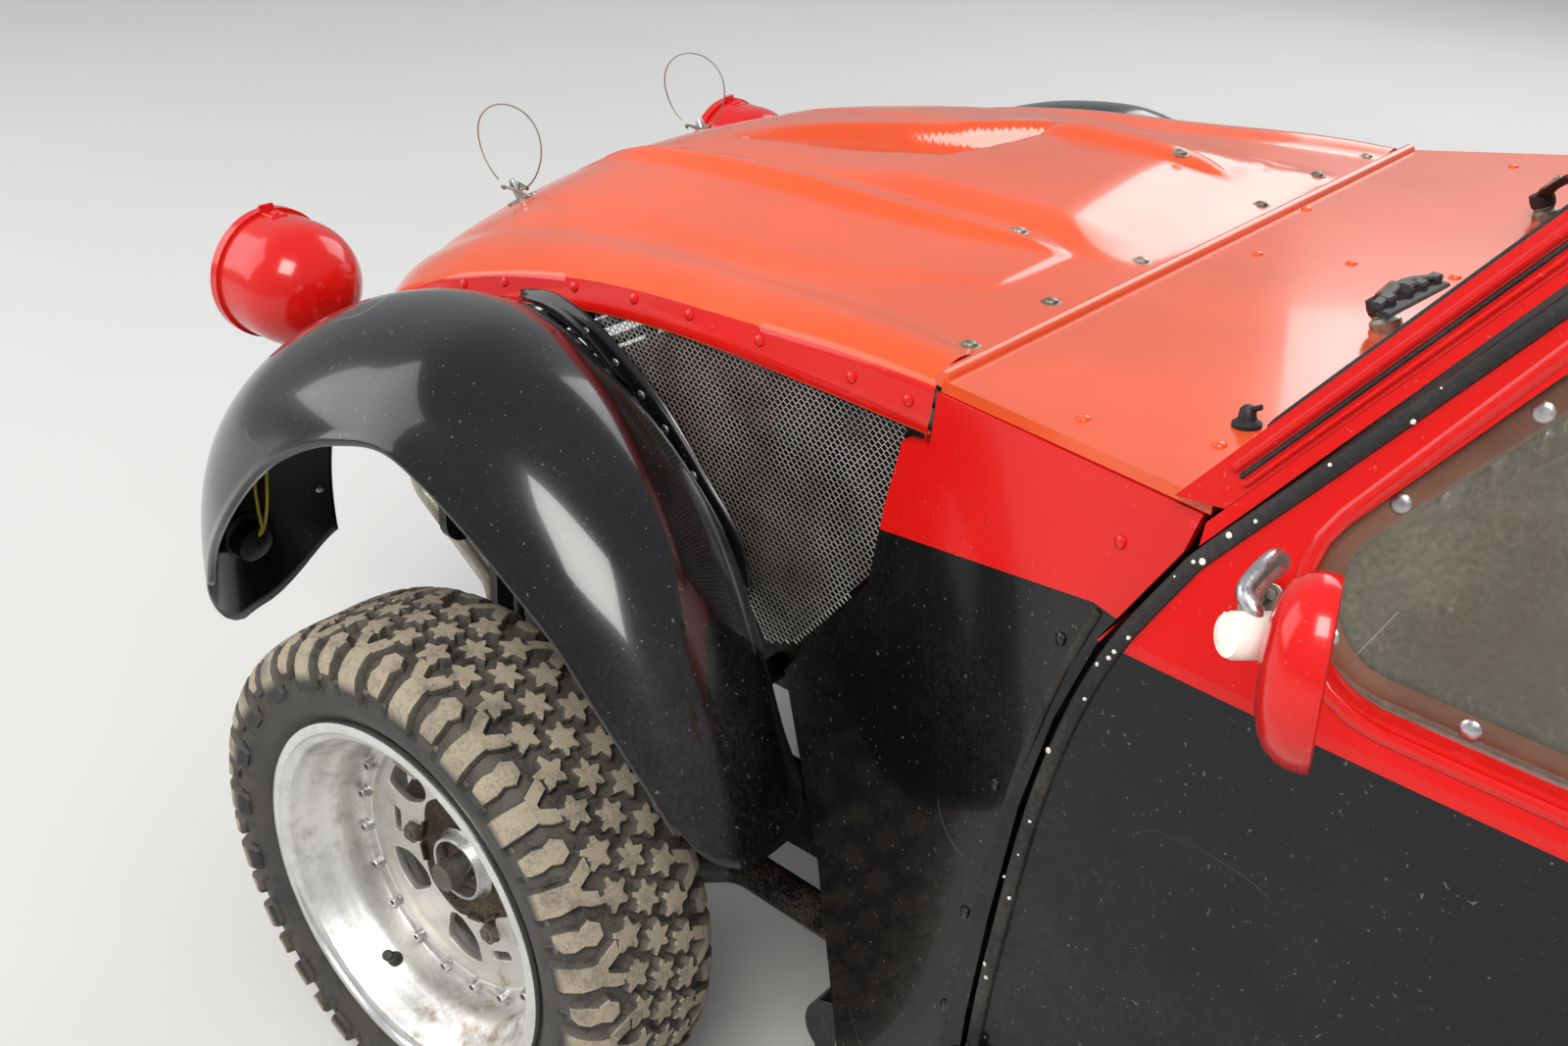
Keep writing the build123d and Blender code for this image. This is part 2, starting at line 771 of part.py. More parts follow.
# Domed bulge beside the seam: its place, its height over the bonnet and its width
DOME = (-285, 60)
DOME_TOP = 990
DOME_R = 380


def scoop_wedge(margin):
    """Wedge that the recess takes away, or its pan where the margin is a thickness."""
    fore, aft = front(SCOOP_FORE), front(SCOOP_AFT) - margin
    with BuildSketch(Plane.XZ.offset(-SCOOP_SIDES[1] - margin)) as wedge:
        with BuildLine():
            Polyline(
                (fore, SCOOP_FLOOR[0] - margin),
                (aft, SCOOP_FLOOR[1] - margin),
                (aft, SEAM_Z + 60),
                (fore, SEAM_Z + 60),
                close=True,
            )
        make_face()
    with BuildPart() as made:
        extrude(wedge.sketch, amount=SCOOP_SIDES[1] - SCOOP_SIDES[0] + 2 * margin)
    return made.part


def dome_form(inset):
    """Cap of a ball above the bonnet, cut off at the seam."""
    with BuildPart() as dome:
        with Locations((front(DOME[0]), DOME[1], DOME_TOP - DOME_R)):
            Sphere(DOME_R - inset)
        with Locations((front(BONNET[0][0]) + 200, 0, SEAM_Z - 15 + 100)):
            Box(400, 2 * SEAM_HALF - 200, 200, mode=Mode.INTERSECT)
    return dome.part


bonnet_solid = bonnet_form(0)
with BuildPart() as bonnet_panel:
    add(bonnet_form(0, BONNET_T))
    add(dome_form(0))
    add(dome_form(BONNET_T), mode=Mode.SUBTRACT)
    for side in BOTH:
        with BuildPart(mode=Mode.PRIVATE) as rib:
            for dx, y, half, low, rise in RIB:
                with BuildSketch(Plane.YZ.offset(front(dx))):
                    with BuildLine():
                        fore = (side * y - half, low)
                        aft = (side * y + half, low)
                        ThreePointArc(fore, (side * y, low + rise), aft)
                        Polyline(aft, (aft[0], low - 6), (fore[0], low - 6), fore)
                    make_face()
            loft(ruled=True)
        add(rib.part)
    add(scoop_wedge(BONNET_T / 2), mode=Mode.SUBTRACT)
    with BuildPart(mode=Mode.PRIVATE) as scoop_pan:
        add(scoop_wedge(BONNET_T / 2))
        add(bonnet_solid, mode=Mode.INTERSECT)
        add(scoop_wedge(0), mode=Mode.SUBTRACT)
    add(scoop_pan.part)
save(bonnet_panel.part, "bonnet_panel")

# Front wings: radial sections about a point above the wheel, from nose to rear tip
# (angle, from the wheel's middle: inner y, crown y and lip y, then the three radii)
WING = (
    (-8, -217, -97, 3, 476, 482, 424),
    (35, -177, -37, 65, 480, 488, 366),
    (88, -182, -37, 65, 450, 480, 405),
    (112, -177, -32, 65, 386, 442, 366),
    (137, -137, -22, 65, 345, 416, 362),
    (161, -77, 3, 65, 402, 414, 402),
)
WING_X = -20
WING_Z = 420
WING_T = 5
# (y from the wheel's middle, z) round the nose lobe, seen from ahead
NOSE_LOBE = (
    (240, 640),
    (65, 585),
    (-20, 392),
    (-140, 388),
    (-215, 470),
    (-330, 520),
    (-330, 200),
    (240, 200),
)

for side, word in ((1, "left"), (-1, "right")):
    with BuildPart() as front_wing:
        for angle, in_dy, top_dy, lip_dy, in_r, top_r, lip_r in WING:
            radial = Plane(
                origin=(front(WING_X), 0, WING_Z),
                x_dir=(0, side, 0),
                z_dir=(side * sin(radians(angle)), 0, -side * cos(radians(angle))),
            )
            with BuildSketch(radial):
                with BuildLine():
                    t = WING_T
                    in_y, top_y, lip_y = WHEEL_Y + in_dy, WHEEL_Y + top_dy, WHEEL_Y + lip_dy
                    ThreePointArc((in_y, in_r), (top_y, top_r), (lip_y, lip_r))
                    Line((lip_y, lip_r), (lip_y - t, lip_r))
                    ThreePointArc((lip_y - t, lip_r), (top_y, top_r - t), (in_y + t, in_r - t))
                    Line((in_y + t, in_r - t), (in_y, in_r))
                make_face()
        loft()
        with BuildSketch(Plane.YZ.offset(front(200))) as lobe:
            with BuildLine():
                corners = [(side * (WHEEL_Y + dy), z) for dy, z in NOSE_LOBE]
                FilletPolyline(*corners, radius=48, close=True)
            make_face()
        extrude(lobe.sketch, amount=600, mode=Mode.SUBTRACT)
        with Locations((front(WING_STAY_X), side * (WING_STAY_Y - 5), WING_STAY_Z)):
            Box(30 + 2 * FIT, 10 + 2 * FIT, 30 + 2 * FIT, mode=Mode.SUBTRACT)
    save(front_wing.part, f"front_wing_{word}")

# Mesh panels between bonnet hem, wing and side panel
MESH_T = 4
# (dx, z) round the panel
MESH = (
    (-12, 868),
    (-135, 892),
    (-388, 894),
    (-380, 830),
    (-376, 757),
    (-296, 634),
    (-262, 626),
    (-222, 672),
    (-135, 790),
)
MESH_Y = SEAM_HALF - 8
MESH_DX = -392
MESH_Z = 890
MESH_TAPER = 0.0572
MESH_LEAN = 0.0146

with BuildPart() as side_meshes:
    for side in BOTH:
        face = Plane(
            origin=(front(MESH_DX), side * MESH_Y, MESH_Z),
            x_dir=(1, -side * MESH_TAPER, 0),
            z_dir=(MESH_TAPER, side, MESH_LEAN),
        )
        with BuildSketch(face):
            Rectangle(1200, 1200)
        extrude(amount=-MESH_T)
    side_prism([(front(dx), z) for dx, z in MESH], Mode.INTERSECT)
save(side_meshes.part, "side_meshes")

# Grille between the lamps, below the bonnet's nose
GRILLE_X = 372
GRILLE_HALF = SEAM_HALF - 137
GRILLE_LOW = 430
GRILLE_HIGH = 700
GRILLE_BARS = 7
with BuildPart() as front_grille:
    with BuildSketch(Plane.YZ.offset(front(GRILLE_X))):
        with Locations((0, (GRILLE_LOW + GRILLE_HIGH) / 2)):
            RectangleRounded(2 * GRILLE_HALF, GRILLE_HIGH - GRILLE_LOW, 30)
            RectangleRounded(
                2 * GRILLE_HALF - 60, GRILLE_HIGH - GRILLE_LOW - 60, 12, mode=Mode.SUBTRACT
            )
            with GridLocations(0, (GRILLE_HIGH - GRILLE_LOW - 60) / GRILLE_BARS, 1, GRILLE_BARS):
                Rectangle(2 * GRILLE_HALF - 60, 8)
            Rectangle(10, GRILLE_HIGH - GRILLE_LOW - 60)
    extrude(amount=-14)
    for side in BOTH:
        stay_low = RAIL_HIGH + FIT
        stay_high = GRILLE_LOW + 20
        with Locations((front(GRILLE_X) - 7, side * RAIL_Y, (stay_low + stay_high) / 2)):
            Box(14, 40, stay_high - stay_low)
save(front_grille.part, "front_grille")

# Headlamp bar, lamp bowls and lenses
LAMP_X = 558
LAMP_Y = WHEEL_IN - 159
LAMP_Z = 742
LAMP_R = 78
BAR_X = 545
BAR_Z = 630
BAR_R = 14
BAR_HALF = LAMP_Y + 40
STEM_R = 9

with BuildPart() as headlamp_bar:
    with BuildSketch(Plane.XZ.offset(-BAR_HALF)):
        with Locations((front(BAR_X), BAR_Z)):
            Circle(BAR_R)
    extrude(amount=2 * BAR_HALF)
    for side in BOTH:
        tube(
            (
                (front(BAR_X), side * RAIL_Y, BAR_Z),
                (front(BAR_X) - 10, side * RAIL_Y, 420),
                (front(RAIL_NOSE) - 14, side * RAIL_Y, 320),
                (front(RAIL_NOSE) - 14, side * RAIL_Y, RAIL_HIGH + FIT),
            ),
            12,
            40,
        )
        with BuildSketch(Plane.XY.offset(BAR_Z)):
            with Locations((front(BAR_X), side * LAMP_Y)):
                Circle(STEM_R)
        extrude(amount=LAMP_Z - LAMP_R + 8 - BAR_Z)
        with Locations((front(LAMP_X), side * LAMP_Y, LAMP_Z)):
            Sphere(LAMP_R + FIT, mode=Mode.SUBTRACT)
save(headlamp_bar.part, "headlamp_bar")

# Lamp bowl and lens are turned about the X axis and then placed
RING_X = 44
lens_reach = FRONT_REACH - LAMP_X
lens_rise = lens_reach - 54
lens_curve = (lens_rise**2 + (LAMP_R - 7) ** 2) / (2 * lens_rise)

with BuildPart() as bowl_blank:
    with BuildSketch(Plane.XZ):
        with BuildLine():
            Polyline(
                (-LAMP_R, 0),
                (RING_X, 0),
                (RING_X, LAMP_R - 6),
                (RING_X + 8, LAMP_R - 6),
                (RING_X + 14, LAMP_R - 2),
                (RING_X + 14, LAMP_R + 4),
                (RING_X + 2, LAMP_R + 4),
                (RING_X + 2, LAMP_R),
                (0, LAMP_R),
            )
            CenterArc((0, 0), LAMP_R, 90, 90)
        make_face()
    revolve(axis=Axis.X)

with BuildPart() as lens_blank:
    with BuildSketch(Plane.XZ):
        with BuildLine():
            Polyline(
                (lens_reach, 0),
                (RING_X + FIT, 0),
                (RING_X + FIT, LAMP_R - 7),
                (54, LAMP_R - 7),
            )
            RadiusArc((54, LAMP_R - 7), (lens_reach, 0), lens_curve)
        make_face()
    revolve(axis=Axis.X)

lamp_places = [(front(LAMP_X), side * LAMP_Y, LAMP_Z) for side in BOTH]
with BuildPart() as headlamps:
    with Locations(*lamp_places):
        add(bowl_blank.part)
save(headlamps.part, "headlamps")

with BuildPart() as headlamp_lenses:
    with Locations(*lamp_places):
        add(lens_blank.part)
save(headlamp_lenses.part, "headlamp_lenses")

# Engine and gearbox: one plain block, with the rack housing under it
ENGINE = (60, 350, RAIL_Y - RAIL_W / 2 - FIT, 325, 620)
ENGINE_FOOT = 240
GEARBOX = (-380, 60, 130, 262, 500)
RACK_X = 130
RACK_Z = 292
RACK_R = 9
with BuildPart() as engine_block:
    for fore, aft, half_width, low, high in (ENGINE, GEARBOX):
        with Locations((front((fore + aft) / 2), 0, (low + high) / 2)):
            Box(aft - fore, 2 * half_width, high - low)
    fillet(engine_block.edges().filter_by(Axis.Z).group_by(Axis.X)[-1], 20)
    with Locations((front(290), 0, (ENGINE_FOOT + ENGINE[3]) / 2)):
        Box(60, 2 * ENGINE[2], ENGINE[3] - ENGINE_FOOT)
save(engine_block.part, "engine_block")

with BuildPart() as rack_housing:
    with BuildSketch(Plane.XZ.offset(-180)):
        with Locations((front(RACK_X), RACK_Z)):
            Circle(20)
    extrude(amount=360)
    for y in (-120, 120):
        with Locations((front(RACK_X), y, (RACK_Z + ENGINE[3]) / 2)):
            Box(34, 30, ENGINE[3] - RACK_Z)
    with BuildSketch(Plane.XZ.offset(-200)):
        with Locations((front(RACK_X), RACK_Z)):
            Circle(RACK_R + FIT)
    extrude(amount=400, mode=Mode.SUBTRACT)
save(rack_housing.part, "rack_housing")

# Suspension: swinging arms on the cross tubes, and a spring unit along each side
KINGPIN_Y = WHEEL_Y - 117
KINGPIN_R = 12
ARM_R = 22
DRUM_R = 38
DRUM_IN = CROSS_HALF + FIT
DRUM_OUT = WHEEL_IN - 59
BOSS_R = 24
BOSS_LOW = CROSS_Z - 26
BOSS_HIGH = CROSS_Z + 26
LUG_Z = 172
LUG_T = 24
SPINDLE_R = 16 - FIT
SPINDLE_OUT = WHEEL_Y + 23

with BuildPart() as suspension_arms:
    for side in BOTH:
        for hub_x, pivot_x, turn in (
            (front(0), front(CROSS_FRONT), 1),
            (rear(0), rear(CROSS_REAR), -1),
        ):
            with BuildSketch(Plane.XZ.offset(-side * DRUM_IN)):
                with Locations((pivot_x, CROSS_Z)):
                    Circle(DRUM_R)
            extrude(amount=-side * (DRUM_OUT - DRUM_IN))
            with BuildSketch(Plane.XZ.offset(-side * (DRUM_OUT - LUG_T))):
                with BuildLine():
                    Polyline(
                        (pivot_x - 30, CROSS_Z),
                        (pivot_x - 16, LUG_Z - 12),
                        (pivot_x + 16, LUG_Z - 12),
                        (pivot_x + 30, CROSS_Z),
                        close=True,
                    )
                make_face()
            extrude(amount=-side * LUG_T)
            tube(
                (
                    (pivot_x, side * (DRUM_OUT - 85), CROSS_Z),
                    (pivot_x + turn * 80, side * (CROSS_HALF + 16), CROSS_Z),
                    (pivot_x + turn * 240, side * (CROSS_HALF + 10), CROSS_Z),
                    (pivot_x + turn * 350, side * (KINGPIN_Y - 55), CROSS_Z),
                    (hub_x, side * KINGPIN_Y, CROSS_Z),
                ),
                ARM_R,
                50,
            )
            with Locations((hub_x, side * KINGPIN_Y, (BOSS_LOW + BOSS_HIGH) / 2)):
                Cylinder(BOSS_R, BOSS_HIGH - BOSS_LOW)
        with Locations((front(0), side * KINGPIN_Y, CROSS_Z)):
            Cylinder(KINGPIN_R + FIT, 2 * CROSS_R + 20, mode=Mode.SUBTRACT)
        with Locations((rear(0), side * KINGPIN_Y, CROSS_Z + 50)):
            Cylinder(BOSS_R, 110)
        with BuildSketch(Plane.XZ.offset(-side * (KINGPIN_Y - 20))):
            with Locations((rear(0), WHEEL_Z)):
                Circle(SPINDLE_R)
        extrude(amount=-side * (SPINDLE_OUT - KINGPIN_Y + 20))
save(suspension_arms.part, "suspension_arms")

SPRING_R = 44
SPRING_Y = WHEEL_IN - 71
SPRING_Z = 218
SPRING_LEN = 640
ROD_R = 8
with BuildPart() as spring_units:
    spring_mid = (front(CROSS_FRONT) + rear(CROSS_REAR)) / 2
    for side in BOTH:
        with BuildSketch(Plane.YZ.offset(spring_mid - SPRING_LEN / 2)):
            with Locations((side * SPRING_Y, SPRING_Z)):
                Circle(SPRING_R)
        extrude(amount=SPRING_LEN)
        rod_back = rear(CROSS_REAR) + 24
        rod_front = front(CROSS_FRONT) - 24
        with BuildSketch(Plane.YZ.offset(rod_back)):
            with Locations((side * SPRING_Y, LUG_Z + 14)):
                Circle(ROD_R)
        extrude(amount=rod_front - rod_back)
save(spring_units.part, "spring_units")

# Knuckles: hub carrier, steering arm, kingpin and wheel spindle in one piece
CARRIER_R = 30
CARRIER_LOW = BOSS_HIGH + MOVE_GAP
CARRIER_HIGH = 342
PIN_LOW = BOSS_LOW - MOVE_GAP - 8
STEER_ARM = 130
for side, word in ((1, "left"), (-1, "right")):
    with BuildPart() as knuckle:
        with BuildSketch(Plane.XY.offset(CARRIER_LOW)):
            with Locations((front(0), side * KINGPIN_Y)):
                Circle(CARRIER_R)
        extrude(amount=CARRIER_HIGH - CARRIER_LOW)
        with BuildSketch(Plane.XY.offset(PIN_LOW)):
            with Locations((front(0), side * KINGPIN_Y)):
                Circle(KINGPIN_R)
        extrude(amount=CARRIER_LOW - PIN_LOW)
        with BuildSketch(Plane.XY.offset(PIN_LOW)):
            with Locations((front(0), side * KINGPIN_Y)):
                Circle(20)
        extrude(amount=8)
        with BuildSketch(Plane.XY.offset(RACK_Z + RACK_R + 7)):
            with BuildLine():
                Polyline(
                    (front(0), side * (KINGPIN_Y - 16)),
                    (front(STEER_ARM), side * (KINGPIN_Y - 9)),
                    (front(STEER_ARM), side * (KINGPIN_Y + 9)),
                    (front(0), side * (KINGPIN_Y + 16)),
                    close=True,
                )
            make_face()
            with Locations((front(STEER_ARM), side * KINGPIN_Y)):
                Circle(13)
        extrude(amount=14)
        with BuildSketch(Plane.XZ.offset(-side * KINGPIN_Y)):
            with Locations((front(0), WHEEL_Z)):
                Circle(SPINDLE_R)
        extrude(amount=-side * (SPINDLE_OUT - KINGPIN_Y))
    save(knuckle.part, f"knuckle_{word}")

with BuildPart() as track_rod:
    with BuildSketch(Plane.XZ.offset(-KINGPIN_Y)):
        with Locations((front(RACK_X), RACK_Z)):
            Circle(RACK_R)
    extrude(amount=2 * KINGPIN_Y)
    for side in BOTH:
        with Locations((front(RACK_X), side * KINGPIN_Y, RACK_Z)):
            Cylinder(14, 2 * RACK_R + 2)
save(track_rod.part, "track_rod")

SHAFT_R = 16
JOINT_R = 34
with BuildPart() as driveshafts:
    for side in BOTH:
        out = KINGPIN_Y - CARRIER_R - MOVE_GAP
        with BuildSketch(Plane.XZ.offset(-side * (out - 60))):
            with Locations((front(0), WHEEL_Z)):
                Circle(JOINT_R)
        extrude(amount=-side * 60)
        with BuildSketch(Plane.XZ.offset(-side * GEARBOX[2])):
            with Locations((front(0), WHEEL_Z)):
                Circle(SHAFT_R)
        extrude(amount=-side * (out - GEARBOX[2]))
save(driveshafts.part, "driveshafts")

# Exhaust, from the engine back under the floor to a silencer behind the axle
EXHAUST_Y = 180
EXHAUST_Z = 168
EXHAUST_R = 18
with BuildPart() as exhaust:
    tube(
        (
            (front(200), -EXHAUST_Y, ENGINE[3]),
            (front(200), -EXHAUST_Y, EXHAUST_Z),
            (rear(200), -EXHAUST_Y, EXHAUST_Z),
            (rear(-60), -EXHAUST_Y, 290),
            (rear(-200), -EXHAUST_Y, 290),
        ),
        EXHAUST_R,
        60,
    )
    with BuildSketch(Plane.YZ.offset(rear(-180))):
        with Locations((-EXHAUST_Y, 290)):
            Ellipse(62, 46)
    extrude(amount=-330)
    tube(((rear(-480), -EXHAUST_Y, 290), (rear(-700), -EXHAUST_Y, 290)), EXHAUST_R, 0)
save(exhaust.part, "exhaust")

# Rear wings: radial sections about the rear wheel
# (angle, inner y, inner radius, crown radius, lip radius)
REAR_WING = (
    (8, WHEEL_IN - 19, 425, 432, 402),
    (90, WHEEL_IN - 44, 392, 426, 382),
    (172, WHEEL_IN - 59, 425, 432, 402),
)
REAR_CROWN_Y = WHEEL_Y - 12
with BuildPart() as rear_wings:
    for side in BOTH:
        wing_faces = []
        for angle, in_y, in_r, top_r, lip_r in REAR_WING:
            radial = Plane(
                origin=(rear(0), 0, WHEEL_Z),
                x_dir=(0, side, 0),
                z_dir=(side * sin(radians(angle)), 0, -side * cos(radians(angle))),
            )
            with BuildSketch(radial, mode=Mode.PRIVATE) as section:
                with BuildLine():
                    t = WING_T
                    ThreePointArc((in_y, in_r), (REAR_CROWN_Y, top_r), (WING_LIP_Y, lip_r))
                    Line((WING_LIP_Y, lip_r), (WING_LIP_Y - t, lip_r))
                    ThreePointArc((WING_LIP_Y - t, lip_r), (REAR_CROWN_Y, top_r - t), (in_y, in_r - t))
                    Line((in_y, in_r - t), (in_y, in_r))
                make_face()
            wing_faces.append(section.sketch)
        loft(wing_faces)
    add(cabin_seat, mode=Mode.SUBTRACT)
    add(tail_seat, mode=Mode.SUBTRACT)
save(rear_wings.part, "rear_wings")

# Wheels: a dished rim with a holed centre disc, and its tyre, both about the wheel's middle
RIM_LIP = RIM_W / 2
TYRE_SEAT_R = 190
HUB_R = 37
HUB_BACK = -40
BORE_R = 16
DISC_FACE = -8
DISC_T = 12
HOLE_IN = 62
HOLE_OUT = 126
HOLE_HALF = 17
HOLE_PLACES = (35, 85)
SLOT_R = 112
LUG_COUNT = 3

with BuildPart() as rim_blank:
    with BuildSketch(Plane.YZ):
        with BuildLine():
            Polyline(
                (BORE_R, HUB_BACK),
                (HUB_R, HUB_BACK),
                (HUB_R + 10, DISC_FACE - DISC_T),
                (160, DISC_FACE - DISC_T),
                (160, -34),
                (174, -52),
                (181, -70),
                (184, -79),
                (198, -RIM_LIP),
                (RIM_R, -RIM_LIP),
                (RIM_R, -RIM_LIP + 7),
                (TYRE_SEAT_R, -RIM_LIP + 8),
                (TYRE_SEAT_R, -58),
                (184, -50),
                (168, -32),
                (170, 30),
                (184, 50),
                (TYRE_SEAT_R, 58),
                (TYRE_SEAT_R, RIM_LIP - 8),
                (RIM_R, RIM_LIP - 7),
                (RIM_R, RIM_LIP),
                (198, RIM_LIP),
                (184, 79),
                (181, 70),
                (174, 52),
                (162, 30),
                (160, 2),
                (148, 0),
                (146, DISC_FACE),
                (HUB_R + 8, DISC_FACE),
                (HUB_R, 0),
                (BORE_R, 0),
                close=True,
            )
        make_face()
    revolve(axis=Axis.Z)
    with BuildSketch(Plane.XY.offset(DISC_FACE - 30)):
        for lug in range(LUG_COUNT):
            start = lug * 360 / LUG_COUNT
            for place in HOLE_PLACES:
                low = radians(start + place - HOLE_HALF)
                high = radians(start + place + HOLE_HALF)
                with BuildLine():
                    Polyline(
                        (HOLE_IN * cos(low), HOLE_IN * sin(low)),
                        (HOLE_OUT * cos(low), HOLE_OUT * sin(low)),
                        (HOLE_OUT * cos(high), HOLE_OUT * sin(high)),
                        (HOLE_IN * cos(high), HOLE_IN * sin(high)),
                        close=True,
                    )
                make_face()
        with PolarLocations(SLOT_R, LUG_COUNT):
            RectangleRounded(18, 34, 7)
    extrude(amount=60, mode=Mode.SUBTRACT)

# Tyre: (height on the axle, radius) round its outer face, then blocks on both shoulders
TREAD_R = 290
TYRE_SIDES = 36
TYRE_FORM = (
    (-RIM_LIP + 8 + FIT, RIM_R + 1),
    (-TYRE_W / 2, 244),
    (-TYRE_W / 2 + 5, 276),
    (-TYRE_W / 2 + 18, TREAD_R),
    (TYRE_W / 2 - 18, TREAD_R),
    (TYRE_W / 2 - 5, 276),
    (TYRE_W / 2, 244),
    (RIM_LIP - 8 - FIT, RIM_R + 1),
)
BLOCK_COUNT = 22
BLOCK_IN = 34
BLOCK_OUT = 84
BLOCK_W = 42
BLOCK_LOW = 272
block_top = sqrt(TYRE_R**2 - (BLOCK_W / 2) ** 2)
block_turn = degrees(asin(BLOCK_W / 2 / TYRE_R))

with BuildPart() as tyre_blank:
    for height, radius in TYRE_FORM:
        with BuildSketch(Plane.XY.offset(height)):
            RegularPolygon(radius, TYRE_SIDES)
    loft(ruled=True)
    for step, side in ((0, 1), (0.5, -1)):
        for block in range(BLOCK_COUNT):
            turn = 90 + block_turn + (block + step) * 360 / BLOCK_COUNT
            with Locations(Location((0, 0, 0), (0, 0, turn))):
                with Locations(((BLOCK_LOW + block_top) / 2, 0, side * (BLOCK_IN + BLOCK_OUT) / 2)):
                    Box(block_top - BLOCK_LOW, BLOCK_W, BLOCK_OUT - BLOCK_IN)
    with BuildSketch(Plane.XY.offset(-TYRE_W)):
        RegularPolygon((TYRE_SEAT_R + FIT) / cos(radians(180 / TYRE_SIDES)), TYRE_SIDES)
    extrude(amount=2 * TYRE_W, mode=Mode.SUBTRACT)

WHEELS = (
    ("front_left", front(0), 1),
    ("front_right", front(0), -1),
    ("rear_left", rear(0), 1),
    ("rear_right", rear(0), -1),
)
for word, x, side in WHEELS:
    for blank, kind in ((rim_blank, "rim"), (tyre_blank, "tyre")):
        with BuildPart() as wheel_piece:
            with Locations(Location((x, side * WHEEL_Y, WHEEL_Z), (-side * 90, 0, 0))):
                add(blank.part)
        save(wheel_piece.part, f"{kind}_{word}")

# Cabin: bucket seats, roll cage, dashboard and steering wheel
SEAT_Y = 290
SEAT_HALF = 225
SEAT_X = -1190
BOLSTER = 45
with BuildPart() as seats:
    for side in BOTH:
        with BuildSketch(Plane.XZ.offset(-side * (SEAT_Y - SEAT_HALF))):
            with BuildLine():
                Polyline(
                    (front(SEAT_X), FLOOR_Z + 60),
                    (front(SEAT_X), FLOOR_Z + 210),
                    (front(SEAT_X - 340), FLOOR_Z + 230),
                    (front(SEAT_X - 440), FLOOR_Z + 620),
                    (front(SEAT_X - 500), FLOOR_Z + 780),
                    (front(SEAT_X - 560), FLOOR_Z + 770),
                    (front(SEAT_X - 500), FLOOR_Z),
                    (front(SEAT_X - 60), FLOOR_Z),
                    close=True,
                )
            make_face()
        extrude(amount=-side * 2 * SEAT_HALF)
        with BuildSketch(Plane.XZ.offset(-side * (SEAT_Y - SEAT_HALF + BOLSTER))):
            with BuildLine():
                Polyline(
                    (front(SEAT_X + 40), FLOOR_Z + 170),
                    (front(SEAT_X - 400), FLOOR_Z + 140),
                    (front(SEAT_X - 520), FLOOR_Z + 620),
                    (front(SEAT_X - 380), FLOOR_Z + 640),
                    (front(SEAT_X - 300), FLOOR_Z + 300),
                    (front(SEAT_X + 40), FLOOR_Z + 300),
                    close=True,
                )
            make_face()
        extrude(amount=-side * 2 * (SEAT_HALF - BOLSTER), mode=Mode.SUBTRACT)
save(seats.part, "seats")

CAGE_R = 19
CAGE_Y = WHEEL_IN - 44
HOOP_X = -1780
HOOP_Z = 1215
with BuildPart() as roll_cage:
    tube(
        (
            (front(HOOP_X), CAGE_Y, FLOOR_Z - 10),
            (front(HOOP_X), CAGE_Y, 860),
            (front(HOOP_X), CAGE_Y - 90, HOOP_Z),
            (front(HOOP_X), 90 - CAGE_Y, HOOP_Z),
            (front(HOOP_X), -CAGE_Y, 860),
            (front(HOOP_X), -CAGE_Y, FLOOR_Z - 10),
        ),
        CAGE_R,
        90,
    )
    for side in BOTH:
        tube(
            (
                (front(-700), side * (CAGE_Y + 25), FLOOR_Z - 10),
                (front(-760), side * (CAGE_Y + 25), 900),
                (front(-1080), side * (CAGE_Y - 75), HOOP_Z),
                (front(HOOP_X), side * (CAGE_Y - 97), HOOP_Z),
            ),
            CAGE_R,
            90,
        )
        tube(
            (
                (front(HOOP_X), side * (CAGE_Y - 95), HOOP_Z - 40),
                (rear(REAR_WALL) + CAGE_R + 2, side * (CAGE_Y - 105), 700),
            ),
            CAGE_R,
            0,
        )
    tube(
        (
            (front(-1080), CAGE_Y - 75, HOOP_Z),
            (front(-1080), 75 - CAGE_Y, HOOP_Z),
        ),
        CAGE_R,
        0,
    )
    with Locations((0, 0, FLOOR_Z - 50)):
        Box(2400, 1200, 100, mode=Mode.SUBTRACT)
save(roll_cage.part, "roll_cage")

DASH_HALF = WHEEL_IN - 57
with BuildPart() as dashboard:
    with BuildSketch(Plane.XZ.offset(-DASH_HALF)):
        with BuildLine():
            Polyline(
                (front(-600), 830),
                (front(-600), 920),
                (front(-680), scuttle_z(-680) - SCUTTLE_T - FIT),
                (front(-700), scuttle_z(-700) - SCUTTLE_T - FIT),
                (front(-790), 935),
                (front(-800), 880),
                (front(-770), 800),
                close=True,
            )
        make_face()
    extrude(amount=2 * DASH_HALF)
    fillet(dashboard.edges().filter_by(Axis.Y).group_by(Axis.X)[0], 14)
save(dashboard.part, "dashboard")

STEER_X = -1000
STEER_Z = 830
with BuildPart() as steering_wheel:
    wheel_plane = Plane(
        origin=(front(STEER_X), SEAT_Y, STEER_Z), x_dir=(0, 1, 0), z_dir=(-0.9, 0, 0.436)
    )
    with BuildSketch(wheel_plane):
        Circle(48)
        for turn in (0, 120, 240):
            with Locations(Location((0, 0, 0), (0, 0, turn))):
                with Locations((0, -85)):
                    Rectangle(34, 170)
    extrude(amount=5)
    with BuildSketch(Plane(origin=wheel_plane.origin, x_dir=wheel_plane.z_dir, z_dir=(0, 1, 0))):
        with Locations((2, 175)):
            Circle(13)
    revolve(axis=Axis(wheel_plane.origin, wheel_plane.z_dir))
    with BuildSketch(wheel_plane):
        Circle(16)
    extrude(amount=-700)
    with Locations((front(BULKHEAD) - PANEL_T - FIT + 300, 0, 600)):
        Box(600, 1200, 1200, mode=Mode.SUBTRACT)
save(steering_wheel.part, "steering_wheel")

